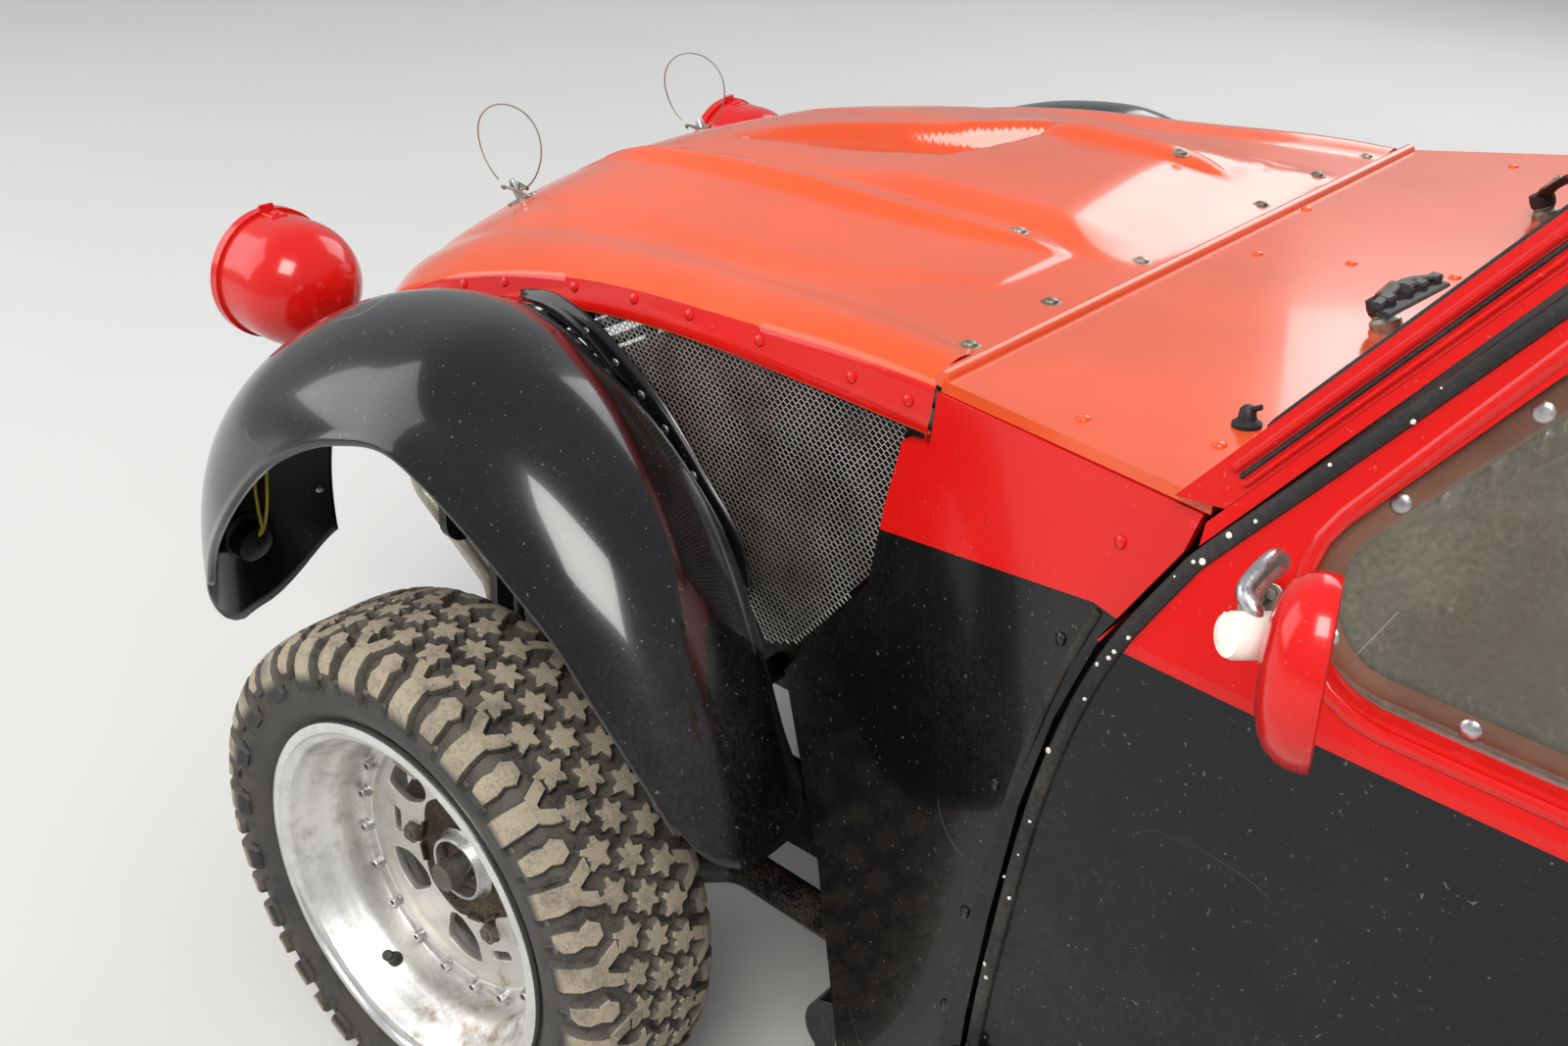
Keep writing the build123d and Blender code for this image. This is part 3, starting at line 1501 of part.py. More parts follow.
# Wipers: pivots on the scuttle, arms and blades lying low on the windscreen
WIPER_Y = (205, -240)
WIPER_DX = -668
with BuildPart() as wipers:
    for y in WIPER_Y:
        pivot_z = scuttle_z(WIPER_DX) + 2
        with Locations((front(WIPER_DX), y, pivot_z + 14)):
            Cylinder(13, 28)
        tube(
            (
                (front(WIPER_DX), y, pivot_z + 26),
                (front(WIPER_DX) - 30, y + 60, pivot_z + 60),
                (front(WIPER_DX) - 62, y + 260, pivot_z + 98),
            ),
            5,
            20,
        )
save(wipers.part, "wipers")

# Rear end: lamps, bumper bar and towing eyes
BUMPER_R = 20
BUMPER_Z = 430
BUMPER_HALF = WHEEL_IN - 109
REAR_END = -REAR_REACH
with BuildPart() as rear_bumper:
    with BuildSketch(Plane.XZ.offset(-BUMPER_HALF)):
        with Locations((rear(REAR_END) + BUMPER_R, BUMPER_Z)):
            Circle(BUMPER_R)
    extrude(amount=2 * BUMPER_HALF)
    for side in BOTH:
        with Locations(((rear(RAIL_TAIL) + rear(REAR_END) + BUMPER_R) / 2, side * RAIL_Y, 395)):
            Box(rear(RAIL_TAIL) - rear(REAR_END) - BUMPER_R, 40, 50)
save(rear_bumper.part, "rear_bumper")

with BuildPart() as rear_lamps:
    for side in BOTH:
        for z, radius in ((600, 38), (510, 30)):
            with BuildSketch(Plane.YZ.offset(rear(-710) - FIT)):
                with Locations((side * (BUMPER_HALF - 40), z)):
                    Circle(radius)
            extrude(amount=-24, taper=12)
save(rear_lamps.part, "rear_lamps")

EYE_R = 20
EYE_T = 14
with BuildPart() as tow_eyes:
    for x, bar_z, eye_z, turn in (
        (front(RAIL_NOSE), (RAIL_LOW + RAIL_HIGH) / 2, (RAIL_LOW + RAIL_HIGH) / 2, 1),
        (rear(RAIL_TAIL), RAIL_TAIL_Z + 30, RAIL_TAIL_Z - 25, -1),
    ):
        with BuildSketch(Plane.XZ):
            with Locations((x + turn * 50, eye_z)):
                Circle(2 * EYE_R)
            with Locations((x + turn * 25, (bar_z + eye_z) / 2)):
                Rectangle(50, bar_z - eye_z + 44)
            with Locations((x + turn * 50, eye_z)):
                Circle(EYE_R, mode=Mode.SUBTRACT)
        extrude(amount=EYE_T / 2, both=True)
        with Locations((x - turn * 4, 0, bar_z)):
            Box(8, 2 * (RAIL_Y - RAIL_W / 2 - FIT), 44)
save(tow_eyes.part, "tow_eyes")
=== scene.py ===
"""Rally car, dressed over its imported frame: paint, glass, tread, trim and studio."""

import math
import random

import bmesh
import bpy
from bpy.props import FloatProperty, FloatVectorProperty, IntProperty, PointerProperty
from mathutils import Matrix, Vector


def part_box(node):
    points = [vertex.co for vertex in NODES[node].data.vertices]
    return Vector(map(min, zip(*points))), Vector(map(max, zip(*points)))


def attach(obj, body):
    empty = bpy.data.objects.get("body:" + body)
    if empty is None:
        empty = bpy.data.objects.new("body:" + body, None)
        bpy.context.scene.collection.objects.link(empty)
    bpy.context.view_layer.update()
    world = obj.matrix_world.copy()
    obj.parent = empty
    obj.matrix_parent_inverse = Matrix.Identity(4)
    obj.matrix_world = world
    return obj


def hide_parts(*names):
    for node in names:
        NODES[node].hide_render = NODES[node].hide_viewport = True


bl_info = {
    "name": "Rally car dressing",
    "version": (1, 0, 0),
    "blender": (4, 5, 0),
    "location": "View3D > Sidebar > Rally car",
    "description": "Builds the paint, tread, trim and studio of the rally car",
    "category": "Object",
}

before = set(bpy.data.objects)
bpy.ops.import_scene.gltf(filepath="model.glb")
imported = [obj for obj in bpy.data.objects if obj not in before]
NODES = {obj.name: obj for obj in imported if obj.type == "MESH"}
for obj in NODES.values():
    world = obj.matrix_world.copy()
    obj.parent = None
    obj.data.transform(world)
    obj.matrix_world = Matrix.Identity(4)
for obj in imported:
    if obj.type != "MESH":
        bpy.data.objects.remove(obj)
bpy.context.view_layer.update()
SIDES = (("left", 1), ("right", -1))
WHEELS = (
    ("front_left", 1),
    ("front_right", -1),
    ("rear_left", 1),
    ("rear_right", -1),
)


def middle(node):
    """Centre of a node's box."""
    low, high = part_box(node)
    return (Vector(low) + Vector(high)) / 2


AXLE_F = middle("tyre_front_left").x
AXLE_R = middle("tyre_rear_left").x
WHEEL_Z = middle("tyre_front_left").z
TYRE_R = WHEEL_Z


def front(dx):
    """X in metres of a place given in millimetres from the front axle."""
    return AXLE_F + dx / 1000


def rear(dx):
    """X in metres of a place given in millimetres from the rear axle."""
    return AXLE_R + dx / 1000


def mm(*values):
    """Point in metres from millimetres ahead of the front axle, left, and up."""
    x, y, z = values
    return Vector((front(x), y / 1000, z / 1000))


def back(*values):
    """Point in metres from millimetres ahead of the rear axle, left, and up."""
    x, y, z = values
    return Vector((rear(x), y / 1000, z / 1000))


def curve_value(rows, x, column=1):
    """Smooth value of a table's column at x, through rows sorted by their first column."""
    if x <= rows[0][0]:
        return rows[0][column]
    if x >= rows[-1][0]:
        return rows[-1][column]
    last = len(rows) - 1
    for i in range(last):
        if x <= rows[i + 1][0]:
            break
    x0, x1 = rows[i][0], rows[i + 1][0]
    y0, y1 = rows[i][column], rows[i + 1][column]
    slopes = []
    for k in (i, i + 1):
        low, high = rows[max(k - 1, 0)], rows[min(k + 1, last)]
        slopes.append((high[column] - low[column]) / (high[0] - low[0]))
    t = (x - x0) / (x1 - x0)
    run = x1 - x0
    a = (2 * t**3 - 3 * t**2 + 1) * y0 + (t**3 - 2 * t**2 + t) * run * slopes[0]
    return a + (3 * t**2 - 2 * t**3) * y1 + (t**3 - t**2) * run * slopes[1]


def ease(value, low, high):
    """Smooth step from 0 at low to 1 at high."""
    t = min(1.0, max(0.0, (value - low) / (high - low)))
    return t * t * (3 - 2 * t)


def spread(low, high, count):
    """Evenly spaced values from low to high."""
    return [low + (high - low) * i / (count - 1) for i in range(count)]


# Mesh helpers


def upright(axis):
    """Two directions square to an axis and to each other."""
    axis = Vector(axis).normalized()
    side = axis.cross(Vector((0, 0, 1)))
    if side.length < 0.01:
        side = Vector((1, 0, 0))
    side.normalize()
    return side, side.cross(axis).normalized()


class Shape:
    """Points and faces of one piece, gathered from simple forms in metres."""

    def __init__(self):
        self.points = []
        self.faces = []

    def ring(self, points):
        start = len(self.points)
        self.points.extend(Vector(p) for p in points)
        return list(range(start, len(self.points)))

    def skin(self, rings, closed=True, caps=False):
        """Faces between rings of the same number of points."""
        for one, two in zip(rings, rings[1:]):
            last = len(one) if closed else len(one) - 1
            for i in range(last):
                j = (i + 1) % len(one)
                self.faces.append((one[i], one[j], two[j], two[i]))
        if caps:
            self.faces.append(tuple(rings[0]))
            self.faces.append(tuple(reversed(rings[-1])))
        return self

    def sheet(self, rows):
        """Open surface through rows of points."""
        return self.skin([self.ring(row) for row in rows], closed=False)

    def tube(self, path, radius, sides=10, flat=1.0, caps=True):
        """Round or flattened bar along a path; radius is a number or one for each point."""
        path = [Vector(p) for p in path]
        rings = []
        side = None
        for i, point in enumerate(path):
            ahead = (path[min(i + 1, len(path) - 1)] - path[max(i - 1, 0)]).normalized()
            if side is None:
                side, up = upright(ahead)
            side = (side - ahead * side.dot(ahead)).normalized()
            up = side.cross(ahead)
            r = radius[i] if isinstance(radius, (list, tuple)) else radius
            turn = [2 * math.pi * k / sides for k in range(sides)]
            rings.append(
                self.ring(point + side * r * math.cos(a) + up * r * flat * math.sin(a) for a in turn)
            )
        return self.skin(rings, caps=caps)

    def lathe(self, profile, at, axis, sides=48, caps=False, closed=False):
        """Profile of (radius, height) turned about an axis through a point."""
        at, axis = Vector(at), Vector(axis).normalized()
        side, up = upright(axis)
        rings = []
        for r, h in profile:
            turn = [2 * math.pi * k / sides for k in range(sides)]
            rings.append(self.ring(at + axis * h + (side * math.cos(a) + up * math.sin(a)) * r for a in turn))
        if closed:
            rings.append(rings[0])
        return self.skin(rings, caps=caps)

    def slab(self, outline, depth, inset=0.0):
        """Flat plate: an outline of points, pushed along a depth vector, edges drawn in."""
        outline = [Vector(p) for p in outline]
        depth = Vector(depth)
        middle_point = sum(outline, Vector()) / len(outline)

        def drawn(share, amount):
            shifted = []
            for p in outline:
                inward = middle_point - p
                shifted.append(p + inward.normalized() * amount + depth * share)
            return self.ring(shifted)

        edge = min(0.45, inset / depth.length) if inset else 0.0
        if edge:
            rings = [drawn(0, inset), drawn(edge, 0), drawn(1 - edge, 0), drawn(1, inset)]
        else:
            rings = [drawn(0, 0), drawn(1, 0)]
        return self.skin(rings, caps=True)

    def stud(self, at, axis, radius, height, sides=16, dome=True):
        """Rivet or round head on a surface."""
        if dome:
            profile = [(radius, -0.0005), (radius, height * 0.2), (radius * 0.85, height * 0.65)]
            profile += [(radius * 0.5, height * 0.93), (radius * 0.12, height)]
        else:
            profile = [
                (radius, -0.0005), (radius, height * 0.8), (radius * 0.85, height), (radius * 0.1, height)
            ]
        return self.lathe(profile, at, axis, sides, caps=True)

    def bolt(self, at, axis, radius, height, washer=1.45):
        """Hexagon head on a washer, with a turned chamfer."""
        at, axis = Vector(at), Vector(axis).normalized()
        if washer:
            self.stud(at, axis, radius * washer, height * 0.22, 20, dome=False)
        profile = [(radius, 0), (radius, height * 0.82), (radius * 0.86, height), (radius * 0.1, height)]
        return self.lathe(profile, at + axis * height * 0.15, axis, 6, caps=True)

    def box(self, at, size, turn=None, inset=0.0015):
        """Block with drawn-in edges, turned by a matrix about its middle."""
        half = Vector(size) / 2
        corners = [(-half.x, -half.y), (half.x, -half.y), (half.x, half.y), (-half.x, half.y)]
        inset = min(inset, half.x * 0.5, half.y * 0.5, half.z * 0.5)
        rings = []
        for z, draw in ((-half.z, inset), (-half.z + inset, 0), (half.z - inset, 0), (half.z, inset)):
            points = []
            for x, y in corners:
                p = Vector((x - math.copysign(draw, x), y - math.copysign(draw, y), z))
                points.append(Vector(at) + (turn @ p if turn else p))
            rings.append(self.ring(points))
        return self.skin(rings, caps=True)


def thicken(piece, amount, offset=-1.0):
    """Gives an open surface its thickness."""
    solid = piece.modifiers.new("thickness", "SOLIDIFY")
    solid.thickness = amount
    solid.offset = offset
    solid.use_even_offset = False


def add_piece(name, shape, finish, body="chassis", stands_for=(), sharp=35.0, closed=True):
    """Object from a shape, with its finish, riding on a body of the frame."""
    mesh = bpy.data.meshes.new(name)
    mesh.from_pydata(shape.points, [], shape.faces)
    if closed:
        work = bmesh.new()
        work.from_mesh(mesh)
        bmesh.ops.recalc_face_normals(work, faces=work.faces)
        work.to_mesh(mesh)
        work.free()
    mesh.shade_smooth()
    if sharp:
        mesh.set_sharp_from_angle(angle=math.radians(sharp))
    mesh.materials.append(MATERIALS[finish])
    piece = bpy.data.objects.new(name, mesh)
    bpy.context.scene.collection.objects.link(piece)
    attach(piece, body)
    if stands_for:
        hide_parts(*stands_for)
    return piece


# Settings


def colour(rgb):
    """Linear colour from 0 to 255 display values."""
    parts = []
    for value in rgb:
        v = value / 255
        parts.append(v / 12.92 if v <= 0.04045 else ((v + 0.055) / 1.055) ** 2.4)
    return (*parts, 1.0)


def tint(title, about, rgb):
    """Colour setting with its default in display values."""
    return FloatVectorProperty(
        name=title, description=about, subtype="COLOR", size=3, min=0, max=1, default=colour(rgb)[:3]
    )


def size(title, about, value):
    """Length setting in metres."""
    return FloatProperty(name=title, description=about, default=value, min=0.0, unit="LENGTH", precision=4)


class PaintSettings(bpy.types.PropertyGroup):
    """Colours and wear of the painted and rubber surfaces."""

    # Sunlit red: an orange copy of the red paint with painted sunlight and reflection, for the top faces of
    # the bonnet and the scuttle; the body red is the paint's own colour
    sunlit_red: tint("Bonnet red", "Orange red of the bonnet and the scuttle", (231, 87, 40))
    body_red: tint("Body red", "Deep red of the doors' upper half, the skirts and the tail", (214, 18, 14))
    black: tint("Black", "Gloss black of the wings and the lower half of the doors", (9, 9, 11))
    tread_dust: tint("Tread dust", "Dry mud on the tyre blocks", (166, 154, 134))
    dust: FloatProperty(
        name="Dust", description="Share of road dust on the panels",
        default=0.35, min=0, max=1, subtype="FACTOR"
    )
    wear: FloatProperty(
        name="Wear", description="Share of scratches on the panels",
        default=0.25, min=0, max=1, subtype="FACTOR"
    )


class PanelSettings(bpy.types.PropertyGroup):
    """Sizes of the sheet metal and its fastenings."""

    sheet: size("Sheet", "Thickness of the bonnet and wing sheet", 0.0016)
    rivet: size("Rivet radius", "Radius of the pop rivets' heads", 0.0055)
    screw: size("Screw radius", "Radius of the dome screws' heads", 0.0065)
    cell: size("Mesh cell", "Width of one cell of the expanded metal", 0.0068)
    strand: size("Mesh strand", "Width of the expanded metal's strands", 0.0011)


class WheelSettings(bpy.types.PropertyGroup):
    """Sizes of the tread and of the fittings on the wheels."""

    block: size("Block height", "Height of the tread blocks over the carcass", 0.0095)
    pitches: IntProperty(
        name="Pitches", description="Tread pitches round the tyre", default=22, min=12, max=40
    )
    bolts: IntProperty(name="Rim bolts", description="Socket bolts round the dish", default=20, min=6, max=40)
    bolt: size("Bolt radius", "Radius of the socket bolts' heads", 0.0058)


class StageSettings(bpy.types.PropertyGroup):
    """Floor and lamps of the studio."""

    floor: tint("Floor", "Colour of the studio floor", (214, 213, 210))
    key: FloatProperty(
        name="Key lamp", description="Power of the main lamp", default=420.0, min=0, unit="POWER"
    )
    fill: FloatProperty(
        name="Fill lamp", description="Power of the side lamp", default=120.0, min=0, unit="POWER"
    )
    back: FloatProperty(
        name="Back lamp", description="Power of the far lamp", default=160.0, min=0, unit="POWER"
    )
    sky: FloatProperty(
        name="Sky", description="Strength of the even light from all round", default=0.62, min=0
    )


# Shader helpers


class Board:
    """A node tree that adds nodes by kind and joins their sockets by name."""

    def __init__(self, tree):
        self.tree = tree

    def add(self, kind, settings=None, **inputs):
        node = self.tree.nodes.new("ShaderNode" + kind)
        for key, value in (settings or {}).items():
            setattr(node, key, value)
        for key, value in inputs.items():
            self.feed(node, key, value)
        return node

    def feed(self, node, key, value):
        name = key.replace("_", " ")
        socket = node.inputs[int(name[1:])] if name[0] == "i" and name[1:].isdigit() else node.inputs[name]
        if isinstance(value, bpy.types.NodeSocket):
            self.tree.links.new(value, socket)
        else:
            socket.default_value = value

    def math(self, operation, a, b=0.5, clamp=False):
        node = self.add("Math", {"operation": operation, "use_clamp": clamp}, i0=a, i1=b)
        return node.outputs[0]

    def mix(self, share, a, b):
        node = self.add("Mix", {"data_type": "RGBA"})
        self.feed(node, "i0", share)
        self.feed(node, "i6", a)
        self.feed(node, "i7", b)
        return node.outputs[2]

    def blend(self, share, a, b):
        node = self.add("Mix", {"data_type": "FLOAT"})
        self.feed(node, "i0", share)
        self.feed(node, "i2", a)
        self.feed(node, "i3", b)
        return node.outputs[0]

    def span(self, value, low, high, to_low=0.0, to_high=1.0):
        node = self.add("MapRange", {"clamp": True})
        for key, given in (("Value", value), ("From Min", low), ("From Max", high)):
            self.feed(node, key, given)
        self.feed(node, "To Min", to_low)
        self.feed(node, "To Max", to_high)
        return node.outputs[0]

    def noise(self, scale, detail=4.0, roughness=0.5, place=None):
        place = place or self.place()
        return self.add("TexNoise", Vector=place, Scale=scale, Detail=detail, Roughness=roughness).outputs[0]

    def place(self):
        return self.add("TexCoord").outputs["Object"]

    def bump(self, strength, distance, height):
        return self.add("Bump", Strength=strength, Distance=distance, Height=height).outputs[0]


def group(name, inputs, outputs, build):
    """Node group with named sockets: inputs and outputs are (name, kind, default) rows."""
    tree = bpy.data.node_groups.new(name, "ShaderNodeTree")
    for title, kind, default in inputs:
        socket = tree.interface.new_socket(title, in_out="INPUT", socket_type="NodeSocket" + kind)
        socket.default_value = default
    for title, kind in outputs:
        tree.interface.new_socket(title, in_out="OUTPUT", socket_type="NodeSocket" + kind)
    board = Board(tree)
    start = tree.nodes.new("NodeGroupInput")
    end = tree.nodes.new("NodeGroupOutput")
    build(board, start.outputs, lambda key, value: tree.links.new(value, end.inputs[key]))
    return tree


def road_dust(board, given, give):
    """Dust that thickens towards the ground and lies in patches."""
    place = board.place()
    height = board.add("SeparateXYZ", i0=place).outputs[2]
    low = board.span(height, given["Clear height"], 0.05)
    patches = board.add("TexNoise", Vector=place, Scale=given["Patch scale"], Detail=7.0, Roughness=0.62)
    fine = board.noise(240.0, 3.0, place=place)
    both = board.math("MULTIPLY", patches.outputs[0], board.math("ADD", fine, 0.5))
    mask = board.span(both, 0.46, 0.80)
    lying = board.math("ADD", board.math("MULTIPLY", low, 0.8), 0.2)
    give("Mask", board.math("MULTIPLY", board.math("MULTIPLY", mask, lying), given["Amount"], True))


# (turn, stretch) of the three runs of scratches
SCRATCH_RUNS = ((0.5, 1.0), (1.9, 1.3), (2.6, 0.8))


def scratch_marks(board, given, give):
    """Thin straight and curved scratches in a few directions."""
    place = board.place()
    total = None
    for turn, stretch in SCRATCH_RUNS:
        turned = board.add("Mapping", Vector=place, Rotation=(turn * 0.4, turn, turn * 0.7))
        bent = board.add("TexNoise", Vector=turned.outputs[0], Scale=3.0, Detail=2.0)
        shifted = board.add("VectorMath", {"operation": "ADD"}, i0=turned.outputs[0], i1=bent.outputs[1])
        thin = board.add("Mapping", Vector=shifted.outputs[0], Scale=(2.0, 90.0 * stretch, 2.0))
        lines = board.add("TexNoise", Vector=thin.outputs[0], Scale=given["Scale"], Detail=2.0)
        peak = board.span(lines.outputs[0], 0.72, 0.77)
        total = peak if total is None else board.math("MAXIMUM", total, peak)
    patch = board.noise(5.0, 3.0, place=place)
    kept = board.math("MULTIPLY", total, board.span(patch, 0.5, 0.62))
    give("Mask", board.math("MULTIPLY", kept, given["Amount"], True))


def fine_grain(board, given, give):
    """Even fine relief, for cast metal, moulded plastic and rolled paint."""
    coarse = board.add("TexNoise", Vector=board.place(), Scale=given["Scale"], Detail=4.0, Roughness=0.55)
    give("Height", coarse.outputs[0])
    give("Mask", board.span(coarse.outputs[0], 0.35, 0.65))


GROUPS = {}


def build_groups():
    GROUPS["dust"] = group(
        "Road dust",
        (("Clear height", "Float", 0.9), ("Patch scale", "Float", 7.0), ("Amount", "Float", 0.5)),
        (("Mask", "Float"),),
        road_dust,
    )
    GROUPS["scratches"] = group(
        "Scratches", (("Scale", "Float", 1.0), ("Amount", "Float", 0.5)), (("Mask", "Float"),), scratch_marks
    )
    GROUPS["grain"] = group(
        "Fine grain", (("Scale", "Float", 400.0),), (("Height", "Float"), ("Mask", "Float")), fine_grain
    )


def effect(board, name, **values):
    node = board.add("Group", {"node_tree": GROUPS[name]})
    for key, value in values.items():
        board.feed(node, key, value)
    return node.outputs


MATERIALS = {}


def material(name, **values):
    """New material with a Principled BSDF, its own sockets set from the values."""
    made = bpy.data.materials.new(name)
    made.use_nodes = True
    board = Board(made.node_tree)
    shader = made.node_tree.nodes["Principled BSDF"]
    for key, value in values.items():
        board.feed(shader, key, value)
    MATERIALS[name] = made
    return board, shader


DUST = colour((150, 140, 124))
SPECK = colour((178, 172, 160))


def darker(tone, share):
    return tuple(v * share for v in tone[:3]) + (1.0,)


def worn_paint(board, base, shade, dust, marks, specks=0.12):
    """Colour and roughness of sprayed paint: faded patches, scratches and road dust."""
    tone = board.mix(board.span(board.noise(4.0, 5.0), 0.35, 0.65), base, shade)
    speck = board.math("MULTIPLY", board.span(board.noise(230.0, 2.0), 0.70, 0.74), specks)
    scored = effect(board, "scratches", Scale=1.0, Amount=marks)["Mask"]
    dusty = effect(board, "dust", Amount=dust)["Mask"]
    marked = board.mix(board.math("MAXIMUM", board.math("MULTIPLY", scored, 0.6), speck), tone, SPECK)
    covered = board.mix(board.math("MULTIPLY", dusty, 0.6), marked, DUST)
    rough = board.math("ADD", board.math("MULTIPLY", dusty, 0.45), board.math("MULTIPLY", scored, 0.2))
    return covered, board.math("ADD", rough, 0.2, True)


def paint_relief(board, strength=0.06):
    """Orange peel and shallow waves of thin hand-worked panels."""
    peel = effect(board, "grain", Scale=300.0)["Height"]
    height = board.math("ADD", board.math("MULTIPLY", peel, 0.04), board.noise(6.0, 1.0))
    return board.bump(strength, 0.01, height)


def paint(name, base, dust, marks, coat=0.35, specks=0.12, gloss=0.3):
    board, shader = material(name, Coat_Weight=coat, Coat_Roughness=0.06, Specular_IOR_Level=gloss)
    tone, rough = worn_paint(board, base, darker(base, 0.86), dust, marks, specks)
    board.feed(shader, "Base Color", tone)
    board.feed(shader, "Roughness", rough)
    board.feed(shader, "Normal", paint_relief(board))


def split_paint(red_tone, black_tone, dust, marks):
    """Red over black along one line that steps down from the door belt to the bonnet."""
    board, shader = material("two_tone_paint", Coat_Weight=0.25, Coat_Roughness=0.06, Specular_IOR_Level=0.22)
    red, rough_a = worn_paint(board, red_tone, darker(red_tone, 0.9), dust, marks)
    black, rough_b = worn_paint(board, black_tone, darker(black_tone, 1.4), dust, marks, 0.22)
    place = board.add("SeparateXYZ", i0=board.place())
    ahead = board.math("MAXIMUM", board.math("SUBTRACT", place.outputs[0], front(-634)), 0.0)
    line = board.math("SUBTRACT", 0.872, board.math("MULTIPLY", ahead, 0.2735))
    upper = board.math("GREATER_THAN", place.outputs[2], line)
    board.feed(shader, "Base Color", board.mix(upper, black, red))
    board.feed(shader, "Roughness", board.blend(upper, rough_b, rough_a))
    board.feed(shader, "Normal", paint_relief(board))


def metal(name, bright, dark, rough, grain=300.0, dust=0.4, relief=0.1):
    """Bare metal: cloudy tone, grit in the surface and road dust."""
    board, shader = material(name, Metallic=1.0)
    tone = board.mix(board.span(board.noise(18.0, 6.0), 0.35, 0.68), bright, dark)
    dusty = effect(board, "dust", Amount=dust)["Mask"]
    grit = effect(board, "grain", Scale=grain)
    board.feed(shader, "Base Color", board.mix(dusty, tone, DUST))
    soiled = board.math("MULTIPLY", board.math("ADD", dusty, grit["Mask"]), 0.25)
    board.feed(shader, "Roughness", board.math("ADD", soiled, rough, True))
    board.feed(shader, "Normal", board.bump(relief, 0.002, grit["Height"]))


def plastic(name, base, rough=0.5, dust=0.35, grain=500.0, relief=0.2):
    """Moulded plastic or rubber: cloudy tone, fine grain and dust."""
    board, shader = material(name, Specular_IOR_Level=0.45)
    lighter = tuple(min(1.0, v * 1.7 + 0.006) for v in base[:3]) + (1.0,)
    tone = board.mix(board.span(board.noise(9.0, 5.0), 0.4, 0.7), base, lighter)
    dusty = effect(board, "dust", Amount=dust, Clear_height=1.4)["Mask"]
    grit = effect(board, "grain", Scale=grain)
    board.feed(shader, "Base Color", board.mix(board.math("MULTIPLY", dusty, 0.6), tone, DUST))
    board.feed(shader, "Roughness", board.math("ADD", board.math("MULTIPLY", dusty, 0.3), rough, True))
    board.feed(shader, "Normal", board.bump(relief, 0.001, grit["Height"]))


def rusty_steel():
    """Nuts and studs: brown rust over dull steel."""
    board, shader = material("rusty_steel", Metallic=0.55)
    rust = board.span(board.noise(120.0, 8.0, 0.7), 0.38, 0.66)
    board.feed(shader, "Base Color", board.mix(rust, colour((112, 106, 98)), colour((84, 60, 44))))
    board.feed(shader, "Roughness", board.span(rust, 0.0, 1.0, 0.42, 0.85))
    board.feed(shader, "Normal", board.bump(0.5, 0.001, rust))


def grease():
    """Brown grease, wet in places."""
    board, shader = material("grease", Specular_IOR_Level=0.6)
    lumps = board.noise(90.0, 6.0, 0.6)
    board.feed(
        shader, "Base Color",
        board.mix(board.span(lumps, 0.35, 0.7), colour((34, 26, 20)), colour((96, 62, 36)))
    )
    board.feed(shader, "Roughness", board.span(lumps, 0.3, 0.7, 0.2, 0.6))
    board.feed(shader, "Normal", board.bump(0.7, 0.003, lumps))


def from_axle(board):
    """Distance from the middle of a wheel piece, across its axle."""
    flat = board.add("Mapping", Vector=board.place(), Scale=(1.0, 0.0, 1.0)).outputs[0]
    return board.add("VectorMath", {"operation": "LENGTH"}, i0=flat).outputs["Value"]


def wheel_alloy():
    """Satin cast disc, grime in the dish's corners, a little rust, and a brighter turned lip."""
    board, shader = material("wheel_alloy", Metallic=1.0)
    radius = from_axle(board)
    lip = board.span(radius, 0.186, 0.194)
    cast = board.span(radius, 0.149, 0.146)
    grime = board.noise(26.0, 8.0, 0.7)
    stain = board.math("MULTIPLY", board.span(grime, 0.46, 0.72), board.blend(cast, 0.75, 0.3))
    patch = board.math(
        "MULTIPLY", board.span(board.noise(7.0, 8.0, 0.7), 0.60, 0.68), board.span(grime, 0.42, 0.6)
    )
    rust = board.math("MULTIPLY", patch, board.blend(lip, 0.8, 0.0))
    pale = board.mix(cast, colour((222, 221, 218)), colour((214, 212, 206)))
    inner = board.mix(stain, pale, colour((142, 136, 128)))
    outer = board.mix(board.math("MULTIPLY", stain, 0.5), colour((226, 226, 225)), colour((160, 157, 152)))
    board.feed(shader, "Base Color", board.mix(rust, board.mix(lip, inner, outer), colour((150, 112, 74))))
    dull = board.span(grime, 0.3, 0.7, 0.34, 0.56)
    board.feed(shader, "Roughness", board.blend(lip, board.blend(cast, dull, 0.56), 0.24))
    turned = board.math("SINE", board.math("MULTIPLY", radius, 5200.0))
    grit = effect(board, "grain", Scale=350.0)["Height"]
    board.feed(
        shader, "Normal", board.bump(0.16, 0.001, board.blend(lip, grit, board.math("MULTIPLY", turned, 0.3)))
    )


def tyre_rubber(name, dirt_tone, on_block):
    """Dark rubber with fine rings on the sidewall, or the muddy outer faces of the blocks."""
    board, shader = material(name, Specular_IOR_Level=0.35)
    radius = from_axle(board)
    cloud = board.noise(30.0, 8.0, 0.65)
    both = board.math("MULTIPLY", cloud, board.math("ADD", board.noise(320.0, 3.0), 0.45))
    shoulder = board.span(radius, 0.240, 0.275)
    film = board.span(both, 0.24, 0.52)
    if on_block:
        ends = board.span(radius, 0.256, 0.268)
        share = board.math("MULTIPLY", board.math("ADD", board.math("MULTIPLY", film, 0.62), 0.34), ends)
    else:
        share = board.math("MULTIPLY", film, board.math("ADD", board.math("MULTIPLY", shoulder, 0.14), 0.08))
    rubber = board.mix(cloud, colour((24, 25, 27)), colour((46, 46, 48)))
    board.feed(shader, "Base Color", board.mix(share, rubber, dirt_tone))
    board.feed(shader, "Roughness", board.span(share, 0.0, 0.6, 0.48, 0.92))
    rings = board.math("SINE", board.math("MULTIPLY", radius, 2600.0))
    kept = board.math("MULTIPLY", rings, board.math("SUBTRACT", 1.0, shoulder))
    height = board.math("ADD", board.math("MULTIPLY", kept, 0.3), both)
    board.feed(shader, "Normal", board.bump(0.35, 0.0012, height))


